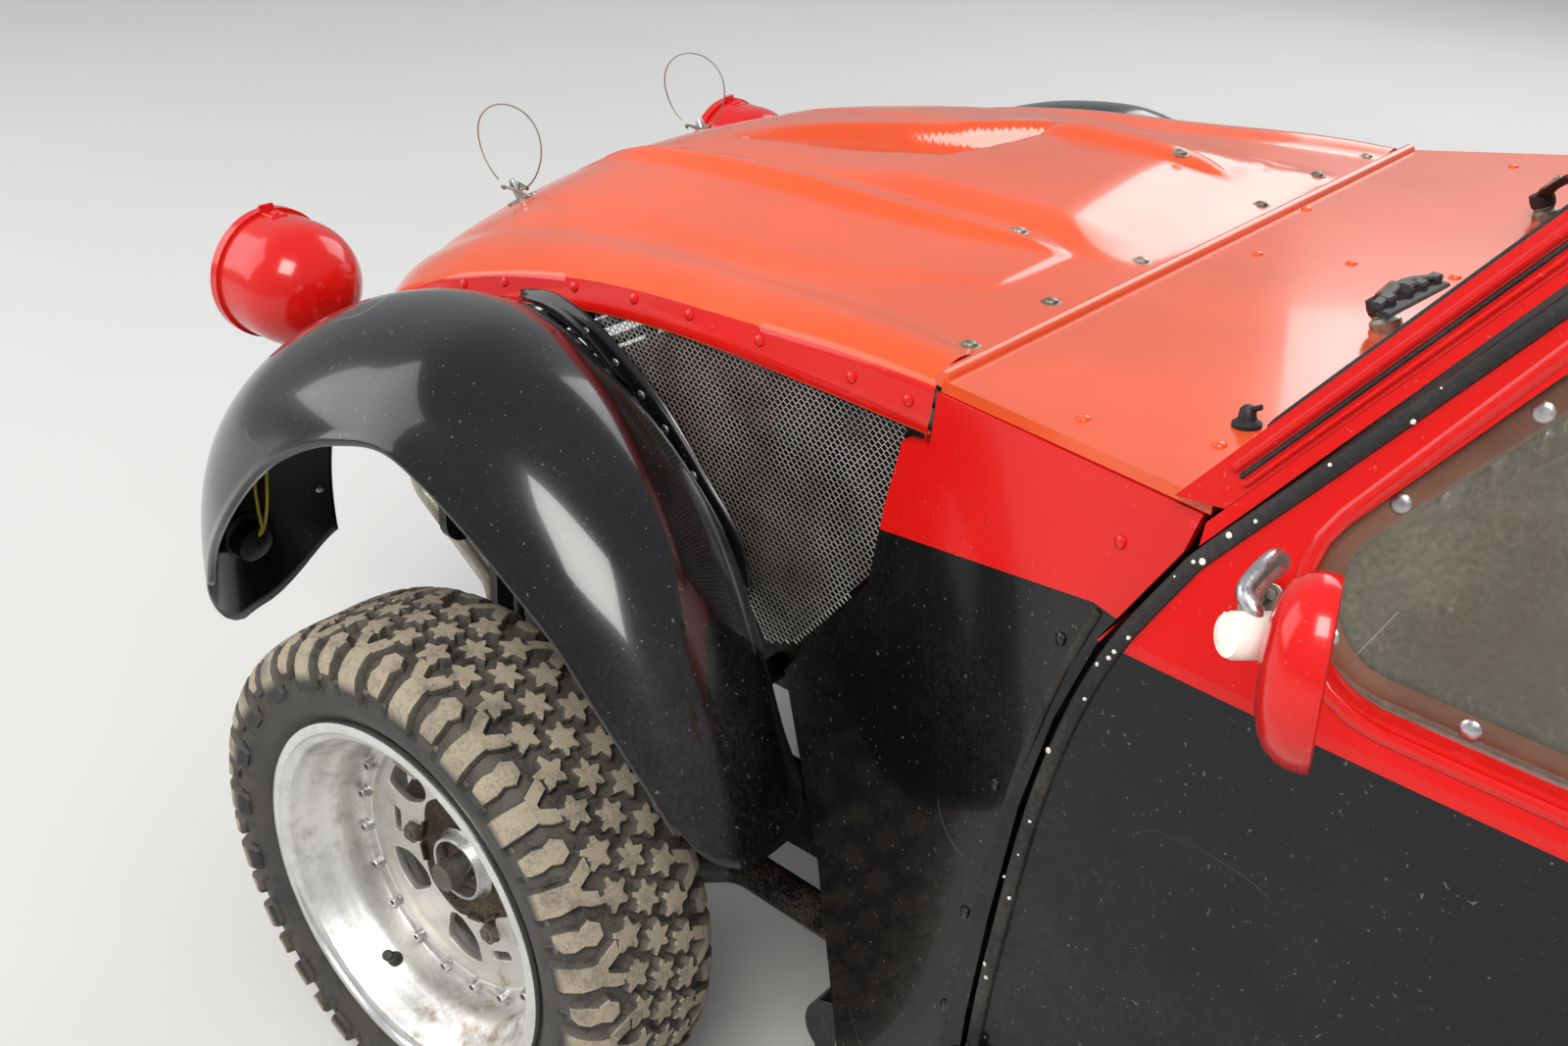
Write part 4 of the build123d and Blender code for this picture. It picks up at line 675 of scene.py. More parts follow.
def glass(name, base, rough=0.03, alpha=0.3, dust=0.5):
    """Thin pane: mostly clear, with dust and fine scratches that catch the light."""
    board, shader = material(name, Metallic=0.0, IOR=1.45, Specular_IOR_Level=0.5, Coat_Weight=0.3)
    dusty = effect(board, "dust", Amount=dust, Clear_height=2.5, Patch_scale=4.0)["Mask"]
    scored = effect(board, "scratches", Scale=1.6, Amount=0.6)["Mask"]
    board.feed(shader, "Base Color", board.mix(dusty, base, colour((150, 145, 130))))
    both = board.math("MAXIMUM", board.math("MULTIPLY", dusty, 0.45), board.math("MULTIPLY", scored, 0.5))
    board.feed(shader, "Alpha", board.math("ADD", both, alpha, True))
    board.feed(shader, "Roughness", board.math("ADD", board.math("MULTIPLY", dusty, 0.3), rough, True))


def mirror_glass():
    board, shader = material("mirror_glass", Metallic=1.0)
    dusty = effect(board, "dust", Amount=0.5, Clear_height=2.0)["Mask"]
    board.feed(shader, "Base Color", board.mix(dusty, colour((226, 230, 232)), DUST))
    board.feed(shader, "Roughness", board.span(dusty, 0.0, 1.0, 0.03, 0.5))


def lens_glass():
    """Fluted lamp glass."""
    board, shader = material("lens_glass", IOR=1.5, Transmission_Weight=0.85, Roughness=0.08)
    place = board.add("SeparateXYZ", i0=board.place())
    flutes = board.math("SINE", board.math("MULTIPLY", place.outputs[1], 700.0))
    board.feed(shader, "Normal", board.bump(0.6, 0.003, flutes))
    grit = effect(board, "grain", Scale=60.0)["Mask"]
    board.feed(shader, "Base Color", board.mix(grit, colour((250, 250, 248)), colour((225, 228, 226))))


def cloth(name, base, thread, scale=900.0):
    """Woven seat cloth: two crossed threads with a soft sheen."""
    board, shader = material(name, Sheen_Weight=0.35, Sheen_Roughness=0.5, Specular_IOR_Level=0.2)
    turned = board.add("Mapping", Vector=board.place(), Rotation=(0.6, 0.5, 0.8)).outputs[0]
    parts = board.add("SeparateXYZ", i0=turned)
    warp = board.math("SINE", board.math("MULTIPLY", parts.outputs[0], scale))
    weft = board.math("SINE", board.math("MULTIPLY", parts.outputs[1], scale))
    weave = board.math("MULTIPLY", warp, weft)
    wear = board.noise(12.0, 6.0)
    mixed = board.math("ADD", board.math("MULTIPLY", board.span(weave, -1.0, 1.0), 0.6), wear, True)
    board.feed(shader, "Base Color", board.mix(board.span(mixed, 0.4, 1.0), base, thread))
    board.feed(shader, "Roughness", board.span(mixed, 0.0, 1.0, 0.75, 0.95))
    board.feed(shader, "Normal", board.bump(0.4, 0.0008, weave))


def build_materials(given):
    """Every finish, from the paint settings."""
    sunlit_red, body_red, black, dirt = (
        (*tone, 1.0) for tone in (given.sunlit_red, given.body_red, given.black, given.tread_dust)
    )
    dust, wear = given.dust, given.wear
    # Orange copy of the red with painted sunlight and reflection, for the top faces
    paint("sunlit_red_paint", sunlit_red, dust * 0.6, wear * 0.7)
    paint("red_paint", body_red, dust, wear)
    paint("black_paint", black, dust * 0.5, wear * 1.6, 0.45, 0.25, 0.3)
    paint("frame_paint", colour((24, 24, 26)), 0.8, 0.3, 0.1)
    split_paint(body_red, black, dust * 0.45, wear)
    metal("alloy_sheet", colour((170, 170, 172)), colour((130, 130, 130)), 0.35, dust=0.5)
    metal("bright_alloy", colour((205, 205, 206)), colour((170, 170, 170)), 0.22, dust=0.2)
    metal("mesh_alloy", colour((214, 213, 210)), colour((160, 156, 150)), 0.3, dust=0.2)
    metal("cast_metal", colour((128, 127, 124)), colour((84, 80, 74)), 0.5, 90.0, 0.7, relief=0.5)
    metal("zinc_steel", colour((176, 172, 160)), colour((120, 112, 96)), 0.34, dust=0.4)
    metal("dark_steel", colour((58, 54, 50)), colour((78, 62, 48)), 0.5, dust=0.5)
    rusty_steel()
    plastic("black_plastic", colour((20, 20, 21)))
    plastic("black_rubber", colour((14, 14, 15)), 0.6, 0.4, 300.0, 0.4)
    plastic("wire_yellow", colour((188, 170, 44)), 0.45, 0.2)
    plastic("wire_green", colour((60, 110, 50)), 0.45, 0.2)
    plastic("sealant_white", colour((200, 196, 186)), 0.5, 0.3)
    plastic("pane_edge", colour((98, 66, 50)), 0.3, 0.3, 200.0, 0.2)
    plastic("dial_face", colour((222, 220, 212)), 0.4, 0.1)
    plastic("lamp_red", colour((150, 10, 12)), 0.12, 0.3, 80.0, 0.3)
    plastic("lamp_amber", colour((200, 96, 10)), 0.12, 0.3, 80.0, 0.3)
    grease()
    wheel_alloy()
    tyre_rubber("tyre_rubber", dirt, False)
    tyre_rubber("tread_rubber", dirt, True)
    glass("clear_glass", colour((200, 208, 206)), 0.03, 0.16, 0.35)
    glass("side_pane", colour((120, 116, 104)), 0.10, 0.34, 0.8)
    mirror_glass()
    lens_glass()
    cloth("seat_cloth", colour((22, 22, 24)), colour((54, 54, 58)))
    cloth("belt_webbing", colour((120, 14, 14)), colour((160, 28, 24)), 1500.0)


# Which finish each frame node carries
NODE_FINISH = {
    "frame_paint": ("chassis_frame", "suspension_arms", "roll_cage"),
    "red_paint": ("windscreen_frame", "roof_panel", "tail_panel", "boot_lid", "headlamps"),
    # The bonnet and scuttle tops take the orange copy of the red: painted sunlight and reflection over the
    # red paint
    "sunlit_red_paint": ("bonnet_panel", "scuttle_top"),
    "two_tone_paint": ("scuttle_sides",),
    "black_paint": ("rear_wings",),
    "alloy_sheet": ("floor_pan", "bulkhead", "boot_floor"),
    "mesh_alloy": ("side_meshes",),
    "black_plastic": ("front_grille", "dashboard", "steering_wheel", "wipers"),
    "zinc_steel": ("headlamp_bar", "spring_units", "tow_eyes", "rear_bumper", "track_rod"),
    "dark_steel": ("exhaust", "driveshafts"),
    "cast_metal": ("engine_block", "rack_housing"),
    "clear_glass": ("cabin_glass",),
    "lens_glass": ("headlamp_lenses",),
    "lamp_red": ("rear_lamps",),
    "seat_cloth": ("seats",),
}
SIDE_FINISH = {
    "two_tone_paint": ("door", "body_side"),
    "side_pane": ("door_window",),
    "red_paint": ("mirror",),
    "black_paint": ("front_wing",),
    "cast_metal": ("knuckle",),
}


def finish_nodes():
    pairs = [(node, name) for name, found in NODE_FINISH.items() for node in found]
    for name, stems in SIDE_FINISH.items():
        pairs += [(f"{stem}_{side}", name) for stem in stems for side, _ in SIDES]
    for word, _ in WHEELS:
        pairs += [(f"rim_{word}", "wheel_alloy"), (f"tyre_{word}", "tyre_rubber")]
    for node, name in pairs:
        target = NODES[node]
        target.data.materials.clear()
        target.data.materials.append(MATERIALS[name])


class CarOperator:
    """Common ground of the operators."""

    bl_options = {"REGISTER", "UNDO"}

    def execute(self, context):
        self.build(context.scene)
        return {"FINISHED"}


class DressFinishes(CarOperator, bpy.types.Operator):
    """Makes every finish and gives each frame node its own"""

    bl_idname = "rally.finishes"
    bl_label = "Finishes"

    def build(self, scene):
        build_groups()
        build_materials(scene.rally_paint)
        finish_nodes()


# Bonnet

# (mm ahead of the front axle, hem height, and inwards of the seam's half width: hem,
# shoulder, with the heights of shoulder and crown)
BONNET = (
    (-423.5, 905, 0, 62, 955, 957),
    (-290, 904, -9, 95, 950, 957),
    (-150, 901, -17, 117, 941, 955),
    (-30, 889, -24, 124, 934, 954),
    (80, 867, -30, 127, 922, 950),
    (165, 842, -36, 131, 906, 942),
    (240, 814, -41, 137, 884, 930),
    (340, 763, -65, 155, 838, 892),
    (420, 728, -118, 195, 794, 848),
    (475, 702, -172, 242, 752, 798),
)
SEAM_HALF = 517
SKIRT_H = 40
SKIRT_IN = 6
SHOULDER_DROP = 12
RIB = (
    (-355, 174, 4, 0), (-300, 176, 26, 8), (-150, 182, 36, 13), (80, 176, 38, 14), (240, 160, 32, 10),
    (372, 140, 14, 0)
)
CREASE = ((-349, 299), (-230, 350), (-104, 372), (80, 350), (300, 290))
CREASE_STEP = 2.6
# Outline of the scoop seen from above, from its tip along the near edge and back
SCOOP = (
    (186, 58),
    (50, 34),
    (-88, 8),
    (-104, -60),
    (-112, -150),
    (-108, -252),
    (-20, -196),
    (60, -138),
    (125, -74),
    (170, -8),
)
SCOOP_DEPTH = 50
SCOOP_TIP = 186
# Raised middle of the bonnet, falling to the seam behind a curved crest
PLATEAU_SIDES = (-330, 150)
PLATEAU_RISE = 19
CREST = ((-300, 20), (-264, 110), (-184, 147), (-75, 163), (30, 152), (104, 135), (160, 85))


def between(rows, x):
    """Straight-line value at x between two (x, value) rows."""
    (x0, a), (x1, b) = rows
    return a + (b - a) * (x - x0) / (x1 - x0)


def circle_arc(a, b, c, count):
    """Points on the circle arc from a through b to c."""
    (ax, ay), (bx, by), (cx, cy) = a, b, c
    d = 2 * (ax * (by - cy) + bx * (cy - ay) + cx * (ay - by))
    if abs(d) < 1e-9:
        return [(ax + (cx - ax) * i / count, ay + (cy - ay) * i / count) for i in range(count + 1)]
    a2, b2, c2 = ax * ax + ay * ay, bx * bx + by * by, cx * cx + cy * cy
    ux = (a2 * (by - cy) + b2 * (cy - ay) + c2 * (ay - by)) / d
    uy = (a2 * (cx - bx) + b2 * (ax - cx) + c2 * (bx - ax)) / d
    r = math.hypot(ax - ux, ay - uy)
    start, mid, end = (math.atan2(y - uy, x - ux) for x, y in (a, b, c))
    turn = (end - start) % (2 * math.pi)
    if (mid - start) % (2 * math.pi) > turn:
        turn -= 2 * math.pi
    return [
        (ux + r * math.cos(start + turn * i / count), uy + r * math.sin(start + turn * i / count))
        for i in range(count + 1)
    ]


def inside(outline, x, z):
    """Whether a place lies in a closed outline."""
    found = False
    for (x0, z0), (x1, z1) in zip(outline, outline[1:] + outline[:1]):
        if (z0 > z) != (z1 > z) and x < x0 + (x1 - x0) * (z - z0) / (z1 - z0):
            found = not found
    return found


def polyline_gap(rows, x, y):
    """Distance of a place from a broken line of (x, y) points."""
    best = 1e9
    for (x0, y0), (x1, y1) in zip(rows, rows[1:]):
        run = Vector((x1 - x0, y1 - y0))
        t = min(1.0, max(0.0, ((x - x0) * run.x + (y - y0) * run.y) / run.length_squared))
        best = min(best, math.hypot(x - x0 - run.x * t, y - y0 - run.y * t))
    return best


def outline_depth(outline, x, y):
    """Distance of a place from a closed outline, positive inside it."""
    gap = polyline_gap(outline + outline[:1], x, y)
    return gap if inside(outline, x, y) else -gap


def bonnet_relief(x, y, z):
    """Height of the bonnet's top at a place, with its ribs, strip, crest and scoop."""
    side = abs(y)
    rib_y = curve_value(RIB, x, 1)
    half, rise = curve_value(RIB, x, 2), curve_value(RIB, x, 3)
    if y < 0:
        rise *= 1 - ease(x, -160, -60)
    if RIB[0][0] < x < RIB[-1][0] and half > 1:
        t = abs(side - rib_y) / half
        z += rise * (1 - ease(t, 0.12, 1.0))
    if x < 300:
        strip = min(curve_value(CREASE, x) - side, side - rib_y)
        z += CREASE_STEP * ease(strip, -2, 7) * ease(x, -352, -340)
    if PLATEAU_SIDES[0] < y < PLATEAU_SIDES[1] + 30:
        back_off = x - BONNET[0][0]
        crest = curve_value(CREST, y)
        climb = ease(back_off / max(crest, 1), 0.0, 1.06)
        near = ease(y, PLATEAU_SIDES[0], PLATEAU_SIDES[0] + 120)
        wide = near * ease(-y, -PLATEAU_SIDES[1] - 30, -PLATEAU_SIDES[1] + 50)
        z += PLATEAU_RISE * climb * wide * (1 - ease(x, -150, 60))
    if SCOOP[5][0] - 20 < x < SCOOP_TIP + 10 and -270 < y < 80:
        depth = SCOOP_DEPTH * (0.24 + 0.76 * (SCOOP_TIP - x) / (SCOOP_TIP - SCOOP[4][0]))
        z -= depth * ease(outline_depth(SCOOP, x, y), -6, 20)
    return z


def bonnet_row(x):
    """(y, z) points across the bonnet at one station, from the left hem to the right."""
    hem_z, hem_in, shoulder_in, shoulder_z, crown_z = (curve_value(BONNET, x, k) for k in range(1, 6))
    hem = (SEAM_HALF + hem_in, hem_z)
    drop = SHOULDER_DROP * ease(x, -400, -120)
    skirt = (hem[0] - SKIRT_IN, hem_z + SKIRT_H - drop)
    shoulder = (SEAM_HALF - shoulder_in, shoulder_z - drop * 0.45)
    run, rise = shoulder[0] - skirt[0], shoulder[1] - skirt[1]
    bulge = 0.2 - 0.08 * drop / SHOULDER_DROP
    mid = ((skirt[0] + shoulder[0]) / 2 + rise * bulge, (skirt[1] + shoulder[1]) / 2 - run * bulge)
    half = [(hem[0] - 5, hem_z - 0.5), (hem[0] - 1.5, hem_z - 2), (hem[0], hem_z)]
    half += [(hem[0] - SKIRT_IN * t, hem_z + (SKIRT_H - drop) * t) for t in (0.3, 0.6, 0.85)]
    half += circle_arc(skirt, mid, shoulder, 9)
    inner = 246
    crown = [shoulder[0] + (inner - shoulder[0]) * t for t in spread(0, 1, 12)[1:-1]]
    crown += spread(inner, 0, 42)
    for y in crown:
        half.append((y, crown_z - (crown_z - shoulder_z) * (y / shoulder[0]) ** 2))
    for _ in range(2):
        eased = half[:4]
        for i in range(4, len(half) - 1):
            before, here, after = half[i - 1], half[i], half[i + 1]
            eased.append((here[0], (before[1] + 2 * here[1] + after[1]) / 4) if i < 26 else here)
        half = eased + [half[-1]]
    row = half + [(-y, z) for y, z in reversed(half[:-1])]
    return [(y, bonnet_relief(x, y, z) if abs(y) < shoulder[0] + 8 else z) for y, z in row]


class BuildBonnet(CarOperator, bpy.types.Operator):
    """Shapes the bonnet skin with its ribs, crease, bulge and scoop"""

    bl_idname = "rally.bonnet"
    bl_label = "Bonnet"

    def build(self, scene):
        skin = Shape()
        stations = spread(BONNET[0][0], BONNET[-1][0], 150)
        rows = []
        edge = bonnet_row(stations[0])
        rows.append([mm(stations[0] + 1, y, z - 9) for y, z in edge])
        for x in stations:
            rows.append([mm(x, y, z) for y, z in bonnet_row(x)])
        edge = bonnet_row(stations[-1])
        rows.append([mm(stations[-1] - 2, y * 0.995, z - 10) for y, z in edge])
        skin.sheet(rows)
        piece = add_piece("bonnet_skin", skin, "sunlit_red_paint", "bonnet", ("bonnet_panel",), 50, closed=False)
        # The flat top keeps the orange copy with painted sunlight; the steep side faces take the plain red
        # paint: lit and shaded copies of one paint
        piece.data.materials.append(MATERIALS["red_paint"])
        for face in piece.data.polygons:
            spot = face.center
            if abs(face.normal.z) < 0.55 and abs(spot.y) > 0.25:
                face.material_index = 1
        thicken(piece, scene.rally_panels.sheet)


SKIRT_RIVETS = (193, 124, 16, -69, -143, -231, -338, -400)
SEAM_SCREWS = ((-402, 298), (-407, 136), (-407, 438), (-288, 171))
BONNET_PINS = ((335, 262), (380, -112))


def lie_on(node, start, towards):
    """Where a line from a place meets a node's surface, and the surface's direction there."""
    target = NODES[node] if isinstance(node, str) else node
    start, towards = Vector(start), Vector(towards).normalized()
    hit, place, facing, _ = target.ray_cast(start, towards, distance=3.0)
    if not hit:
        raise RuntimeError(f"nothing of {target.name} lies that way from {tuple(start)}")
    if facing.dot(towards) > 0:
        facing = -facing
    return place, facing


class FixBonnet(CarOperator, bpy.types.Operator):
    """Adds the skirt rivets, seam screws and wire pins of the bonnet"""

    bl_idname = "rally.bonnet_fixings"
    bl_label = "Bonnet fixings"

    def build(self, scene):
        skin = bpy.data.objects["bonnet_skin"]
        sizes = scene.rally_panels
        rivets = Shape()
        for dx in SKIRT_RIVETS:
            hem_z = curve_value(BONNET, dx, 1)
            for _, side in SIDES:
                place, facing = lie_on(skin, mm(dx, side * 700, hem_z + 20), (0, -side, 0))
                rivets.stud(place, facing, sizes.rivet, 0.003)
        add_piece("bonnet_rivets", rivets, "red_paint", "bonnet")
        screws = Shape()
        for dx, y in SEAM_SCREWS:
            for side in (1, -1):
                place, facing = lie_on(skin, mm(dx, side * y, 1100), (0, 0, -1))
                screws.stud(place - facing * 0.0008, facing, sizes.screw * 1.5, 0.0012, 24, dome=False)
                screws.stud(place, facing, sizes.screw, 0.0042, 20)
        add_piece("bonnet_screws", screws, "zinc_steel", "bonnet")
        plates, pins = Shape(), Shape()
        for dx, y in BONNET_PINS:
            place, facing = lie_on(skin, mm(dx, y, 1100), (0, 0, -1))
            plates.stud(place, facing, 0.019, 0.0022, 28, dome=False)
            plates.lathe([(0.0055, 0), (0.0055, 0.020), (0.004, 0.026), (0.0005, 0.027)], place, facing, 14)
            loop = []
            for step in range(33):
                turn = math.pi * (2 * (step + 1.2) / 34.4 + 0.5) + 0.25
                loop.append(
                    place + Vector(
                        (
                            0.02 - 0.054 * math.cos(turn), 0.004 * math.sin(2 * turn),
                            0.058 - 0.05 * math.sin(turn)
                        )
                    )
                )
            pins.tube(loop, 0.0009, 8)
            clip = [place + Vector((-0.014, 0.004, 0.017)), place + Vector((0.016, -0.004, 0.017))]
            pins.tube(clip, 0.0024, 8)
            ear = [
                place + Vector((0.03 * math.cos(t), 0.016 * math.sin(t), 0.006 + 0.01 * abs(math.sin(t))))
                for t in spread(0, math.pi, 12)
            ]
            pins.tube(ear, 0.0016, 8)
        add_piece("bonnet_pin_plates", plates, "bright_alloy", "bonnet")
        add_piece("bonnet_pin_wires", pins, "zinc_steel", "bonnet")


# Front wings

# (angle about a point over the wheel; from the wheel's middle the inner edge's, crown's and
# lip's places across; then the three radii)
WING = (
    (-8, -217, -97, 3, 476, 482, 424),
    (35, -177, -37, 65, 480, 488, 366),
    (62, -180, -37, 65, 470, 486, 382),
    (79, -182, -37, 65, 455, 482, 398),
    (88, -182, -37, 65, 430, 480, 405),
    (96, -181, -36, 65, 398, 468, 392),
    (104, -180, -34, 65, 372, 456, 378),
    (114, -176, -31, 65, 338, 440, 366),
    (124, -166, -27, 65, 325, 428, 363),
    (137, -137, -22, 65, 335, 416, 362),
    (150, -105, -10, 64, 364, 412, 380),
    (161, -77, 3, 60, 402, 414, 402),
)
WING_AT = (-20, 420)
WHEEL_MM = 677
NOSE_LINE = ((-330, 520), (-215, 470), (-140, 388), (-20, 392), (65, 585), (240, 640))
FLANGE = ((76, 12), (84, 27), (94, 38), (104, 42), (114, 46), (124, 42), (131, 10))
TIP_ROUND = 52


def mesh_y(dx, z):
    """Outer face of the side mesh, as a distance from the middle."""
    return 509 - 0.0572 * (dx + 392) - 0.0146 * (z - 890)


# Steps in mm over which the lower front edge is evened
NOSE_SPREAD = (-36, -18, 0, 18, 36)


def nose_height(dy):
    """Height of the wing's lower front edge at a distance from the wheel's middle."""
    total = 0
    for shift in NOSE_SPREAD:
        y = dy + shift
        for (y0, z0), (y1, z1) in zip(NOSE_LINE, NOSE_LINE[1:]):
            if y0 <= y <= y1:
                total += z0 + (z1 - z0) * (y - y0) / (y1 - y0)
                break
    return total / 5


def wing_place(angle, share):
    """Place on the wing at an angle, from 0 at its inner edge to 1 at its lip."""
    in_dy, top_dy, lip_dy, in_r, top_r, lip_r = (curve_value(WING, angle, k) for k in range(1, 7))
    arc = circle_arc((in_dy, in_r), (top_dy, top_r), (lip_dy, lip_r), 40)
    spot = share * 40
    low = min(39, int(spot))
    dy = arc[low][0] + (arc[low + 1][0] - arc[low][0]) * (spot - low)
    r = arc[low][1] + (arc[low + 1][1] - arc[low][1]) * (spot - low)
    return dy, r


def wing_point(angle, dy, r, side):
    turn = math.radians(angle)
    return mm(WING_AT[0] + r * math.cos(turn), side * (WHEEL_MM + dy), WING_AT[1] + r * math.sin(turn))


def wing_ends(share):
    """First and last angle of the wing's skin at a share of its width."""
    low, high = -8.0, 60.0
    for _ in range(24):
        angle = (low + high) / 2
        dy, r = wing_place(angle, share)
        if WING_AT[1] + r * math.sin(math.radians(angle)) < nose_height(dy):
            low = angle
        else:
            high = angle
    width = 150
    edge = min(share, 1 - share) * width
    drop = TIP_ROUND - math.sqrt(max(0.0, TIP_ROUND**2 - max(0.0, TIP_ROUND - edge) ** 2))
    return high, 161 - math.degrees(drop / 402)


# (outward, down) over the rolled edge of a wing, in mm
ARCH_ROLL = ((2.0, 2.0), (2.6, 5.0), (1.0, 7.6), (-2.5, 8.0), (-5.0, 6.0))


def wing_grid(side):
    """Rows of points along the wing, from its inner edge to its rolled lip."""
    rows = []
    shares = spread(0, 1, 40)
    for share in shares:
        first, last = wing_ends(share)
        row = []
        for step in spread(0, 1, 110):
            angle = first + (last - first) * step
            dy, r = wing_place(angle, share)
            row.append(wing_point(angle, dy, r, side))
        rows.append(row)
    first, last = wing_ends(1)
    for out, down in ARCH_ROLL:
        row = []
        for step in spread(0, 1, 110):
            angle = first + (last - first) * step
            dy, r = wing_place(angle, 1)
            row.append(wing_point(angle, dy + out, r - down, side))
        rows.append(row)
    return rows


# (ahead of the axle, height) of the rivets along a side panel, in mm
SEAM_RIVETS = ((-7, 862), (-49, 843), (-86, 822), (-120, 798), (-160, 764), (-198, 723))
# (angle round the wheel, share of the width) of the rivets by a wing's inner edge
EDGE_RIVETS = ((12, 0.06), (30, 0.04), (52, 0.04), (66, 0.04), (146, 0.1), (155, 0.16))


class BuildWings(CarOperator, bpy.types.Operator):
    """Shapes both front wings with their nose, rolled lip and riveted inner flange"""

    bl_idname = "rally.front_wings"
    bl_label = "Front wings"

    def build(self, scene):
        sizes = scene.rally_panels
        for word, side in SIDES:
            skin = Shape()
            skin.sheet(wing_grid(side))
            node = f"front_wing_{word}"
            piece = add_piece(
                f"wing_skin_{word}", skin, "black_paint", stands_for=(node,), sharp=50, closed=False
            )
            thicken(piece, sizes.sheet, 0.0)
            flange = Shape()
            rows = [[], [], [], [], [], []]
            for angle in spread(FLANGE[0][0], FLANGE[-1][0], 60):
                _, r = wing_place(angle, 0)
                rise = curve_value(FLANGE, angle)
                turn = math.radians(angle)
                for k, (share, out) in enumerate(
                    ((-0.06, 1.5), (0.12, 4.0), (0.3, 4.5), (0.42, 7.5), (0.55, 4.5), (1.0, 4.0))
                ):
                    here = r + rise * share
                    dx, z = WING_AT[0] + here * math.cos(turn), WING_AT[1] + here * math.sin(turn)
                    rows[k].append(mm(dx, side * (mesh_y(dx, z) + out), z))
            flange.sheet(rows)
            piece = add_piece(f"wing_flange_{word}", flange, "black_paint", sharp=50, closed=False)
            thicken(piece, sizes.sheet, 0.0)
            rivets = Shape()
            for dx, z in SEAM_RIVETS:
                rivets.stud(mm(dx, side * (mesh_y(dx, z) + 4.5), z), (0, side, 0), sizes.rivet, 0.003)
            for angle, share in EDGE_RIVETS:
                dy, r = wing_place(angle, share)
                place = wing_point(angle, dy, r, side)
                dy, r = wing_place(angle, share + 0.02)
                along = wing_point(angle, dy, r, side) - place
                turn = math.radians(angle)
                facing = along.cross(Vector((-math.sin(turn), 0, math.cos(turn)))) * -side
                rivets.stud(place + facing.normalized() * 0.0008, facing, sizes.rivet, 0.003)
            add_piece(f"wing_rivets_{word}", rivets, "bright_alloy")
            lamp = Shape()
            dy, r = wing_place(10, 0.5)
            place = wing_point(10, dy, r, side)
            back_way = Vector((-1, 0, -0.15)).normalized()
            profile = [
                (0.030, 0.002), (0.030, 0.010), (0.024, 0.014), (0.022, 0.034), (0.008, 0.040),
                (0.0005, 0.041)
            ]
            lamp.lathe(profile, place, back_way, 28, caps=True)
            add_piece(f"indicator_back_{word}", lamp, "black_plastic")
            lens = Shape()
            lens.lathe(
                [(0.030, 0.0), (0.028, 0.006), (0.018, 0.011), (0.0005, 0.013)], place, -back_way, 28,
                caps=True
            )
            add_piece(f"indicator_lens_{word}", lens, "lamp_amber")
            wires = Shape()
            for lift in (0.0, 0.006):
                path = []
                for t in spread(0, 1, 18):
                    angle = 11 + 40 * t
                    dy, r = wing_place(angle, 0.45 - 0.3 * t)
                    hang = 30 + 16 * math.sin(t * 9 + lift * 300) * (1 - t)
                    path.append(wing_point(angle, dy + lift * 1000, r - hang * (1 - 0.8 * t) - 3, side))
                path[0] = place + back_way * 0.036 + Vector((0, 0, lift))
                wires.tube(path, 0.0019, 8)
            add_piece(f"indicator_wires_{word}", wires, "wire_yellow")


# (mm ahead of the axle, height) along the dark inner arch
INNER_ARCH = (
    (-446, 430),
    (-400, 540),
    (-330, 630),
    (-230, 690),
    (-90, 722),
    (80, 724),
    (220, 700),
    (330, 655),
)


class BuildArches(CarOperator, bpy.types.Operator):
    """Hangs the inner arch liners under the bonnet's edges and folds the scuttle's front edges"""

    bl_idname = "rally.inner_arches"
    bl_label = "Inner arches"

    def build(self, scene):
        for word, side in SIDES:
            liner = Shape()
            rows = []
            for x in spread(INNER_ARCH[0][0], INNER_ARCH[-1][0], 48):
                z = curve_value(INNER_ARCH, x)
                out = min(488, mesh_y(x, z) - 9) if x > -300 else 470
                row = [(out, z - 16), (out - 3, z - 2), (out - 16, z + 4)]
                row += [(y, z + 4 + 1.6 * math.sin(y * 0.16)) for y in spread(out - 26, 318, 12)]
                row += [(310, z - 2), (308, z - 18)]
                rows.append([mm(x, side * y, height) for y, height in row])
            liner.sheet(rows)
            piece = add_piece(f"inner_arch_{word}", liner, "frame_paint", sharp=40, closed=False)
            thicken(piece, scene.rally_panels.sheet, 0.0)
            fold = Shape()
            path = ((-468, 300), (-452, 340), (-386, 466), (-300, 600), (-304, 630), (-388, 753), (-394, 830))
            rows = []
            for dx, z in path:
                y = SEAM_HALF - 0.3666 * (dx + 427) - 0.1306 * (z - 955)
                rows.append(
                    [
                        mm(dx - 3, side * (y - 6), z), mm(dx - 4, side * (y - 20), z),
                        mm(dx - 8, side * (y - 62), z)
                    ]
                )
            fold.sheet(rows)
            piece = add_piece(f"scuttle_fold_{word}", fold, "frame_paint", sharp=40, closed=False)
            thicken(piece, scene.rally_panels.sheet, 0.0)


# Side meshes

MESH_EDGE = (
    (-8, 882),
    (-135, 906),
    (-400, 908),
    (-392, 830),
    (-386, 757),
    (-300, 640),
    (-262, 622),
    (-222, 668),
    (-135, 782),
)


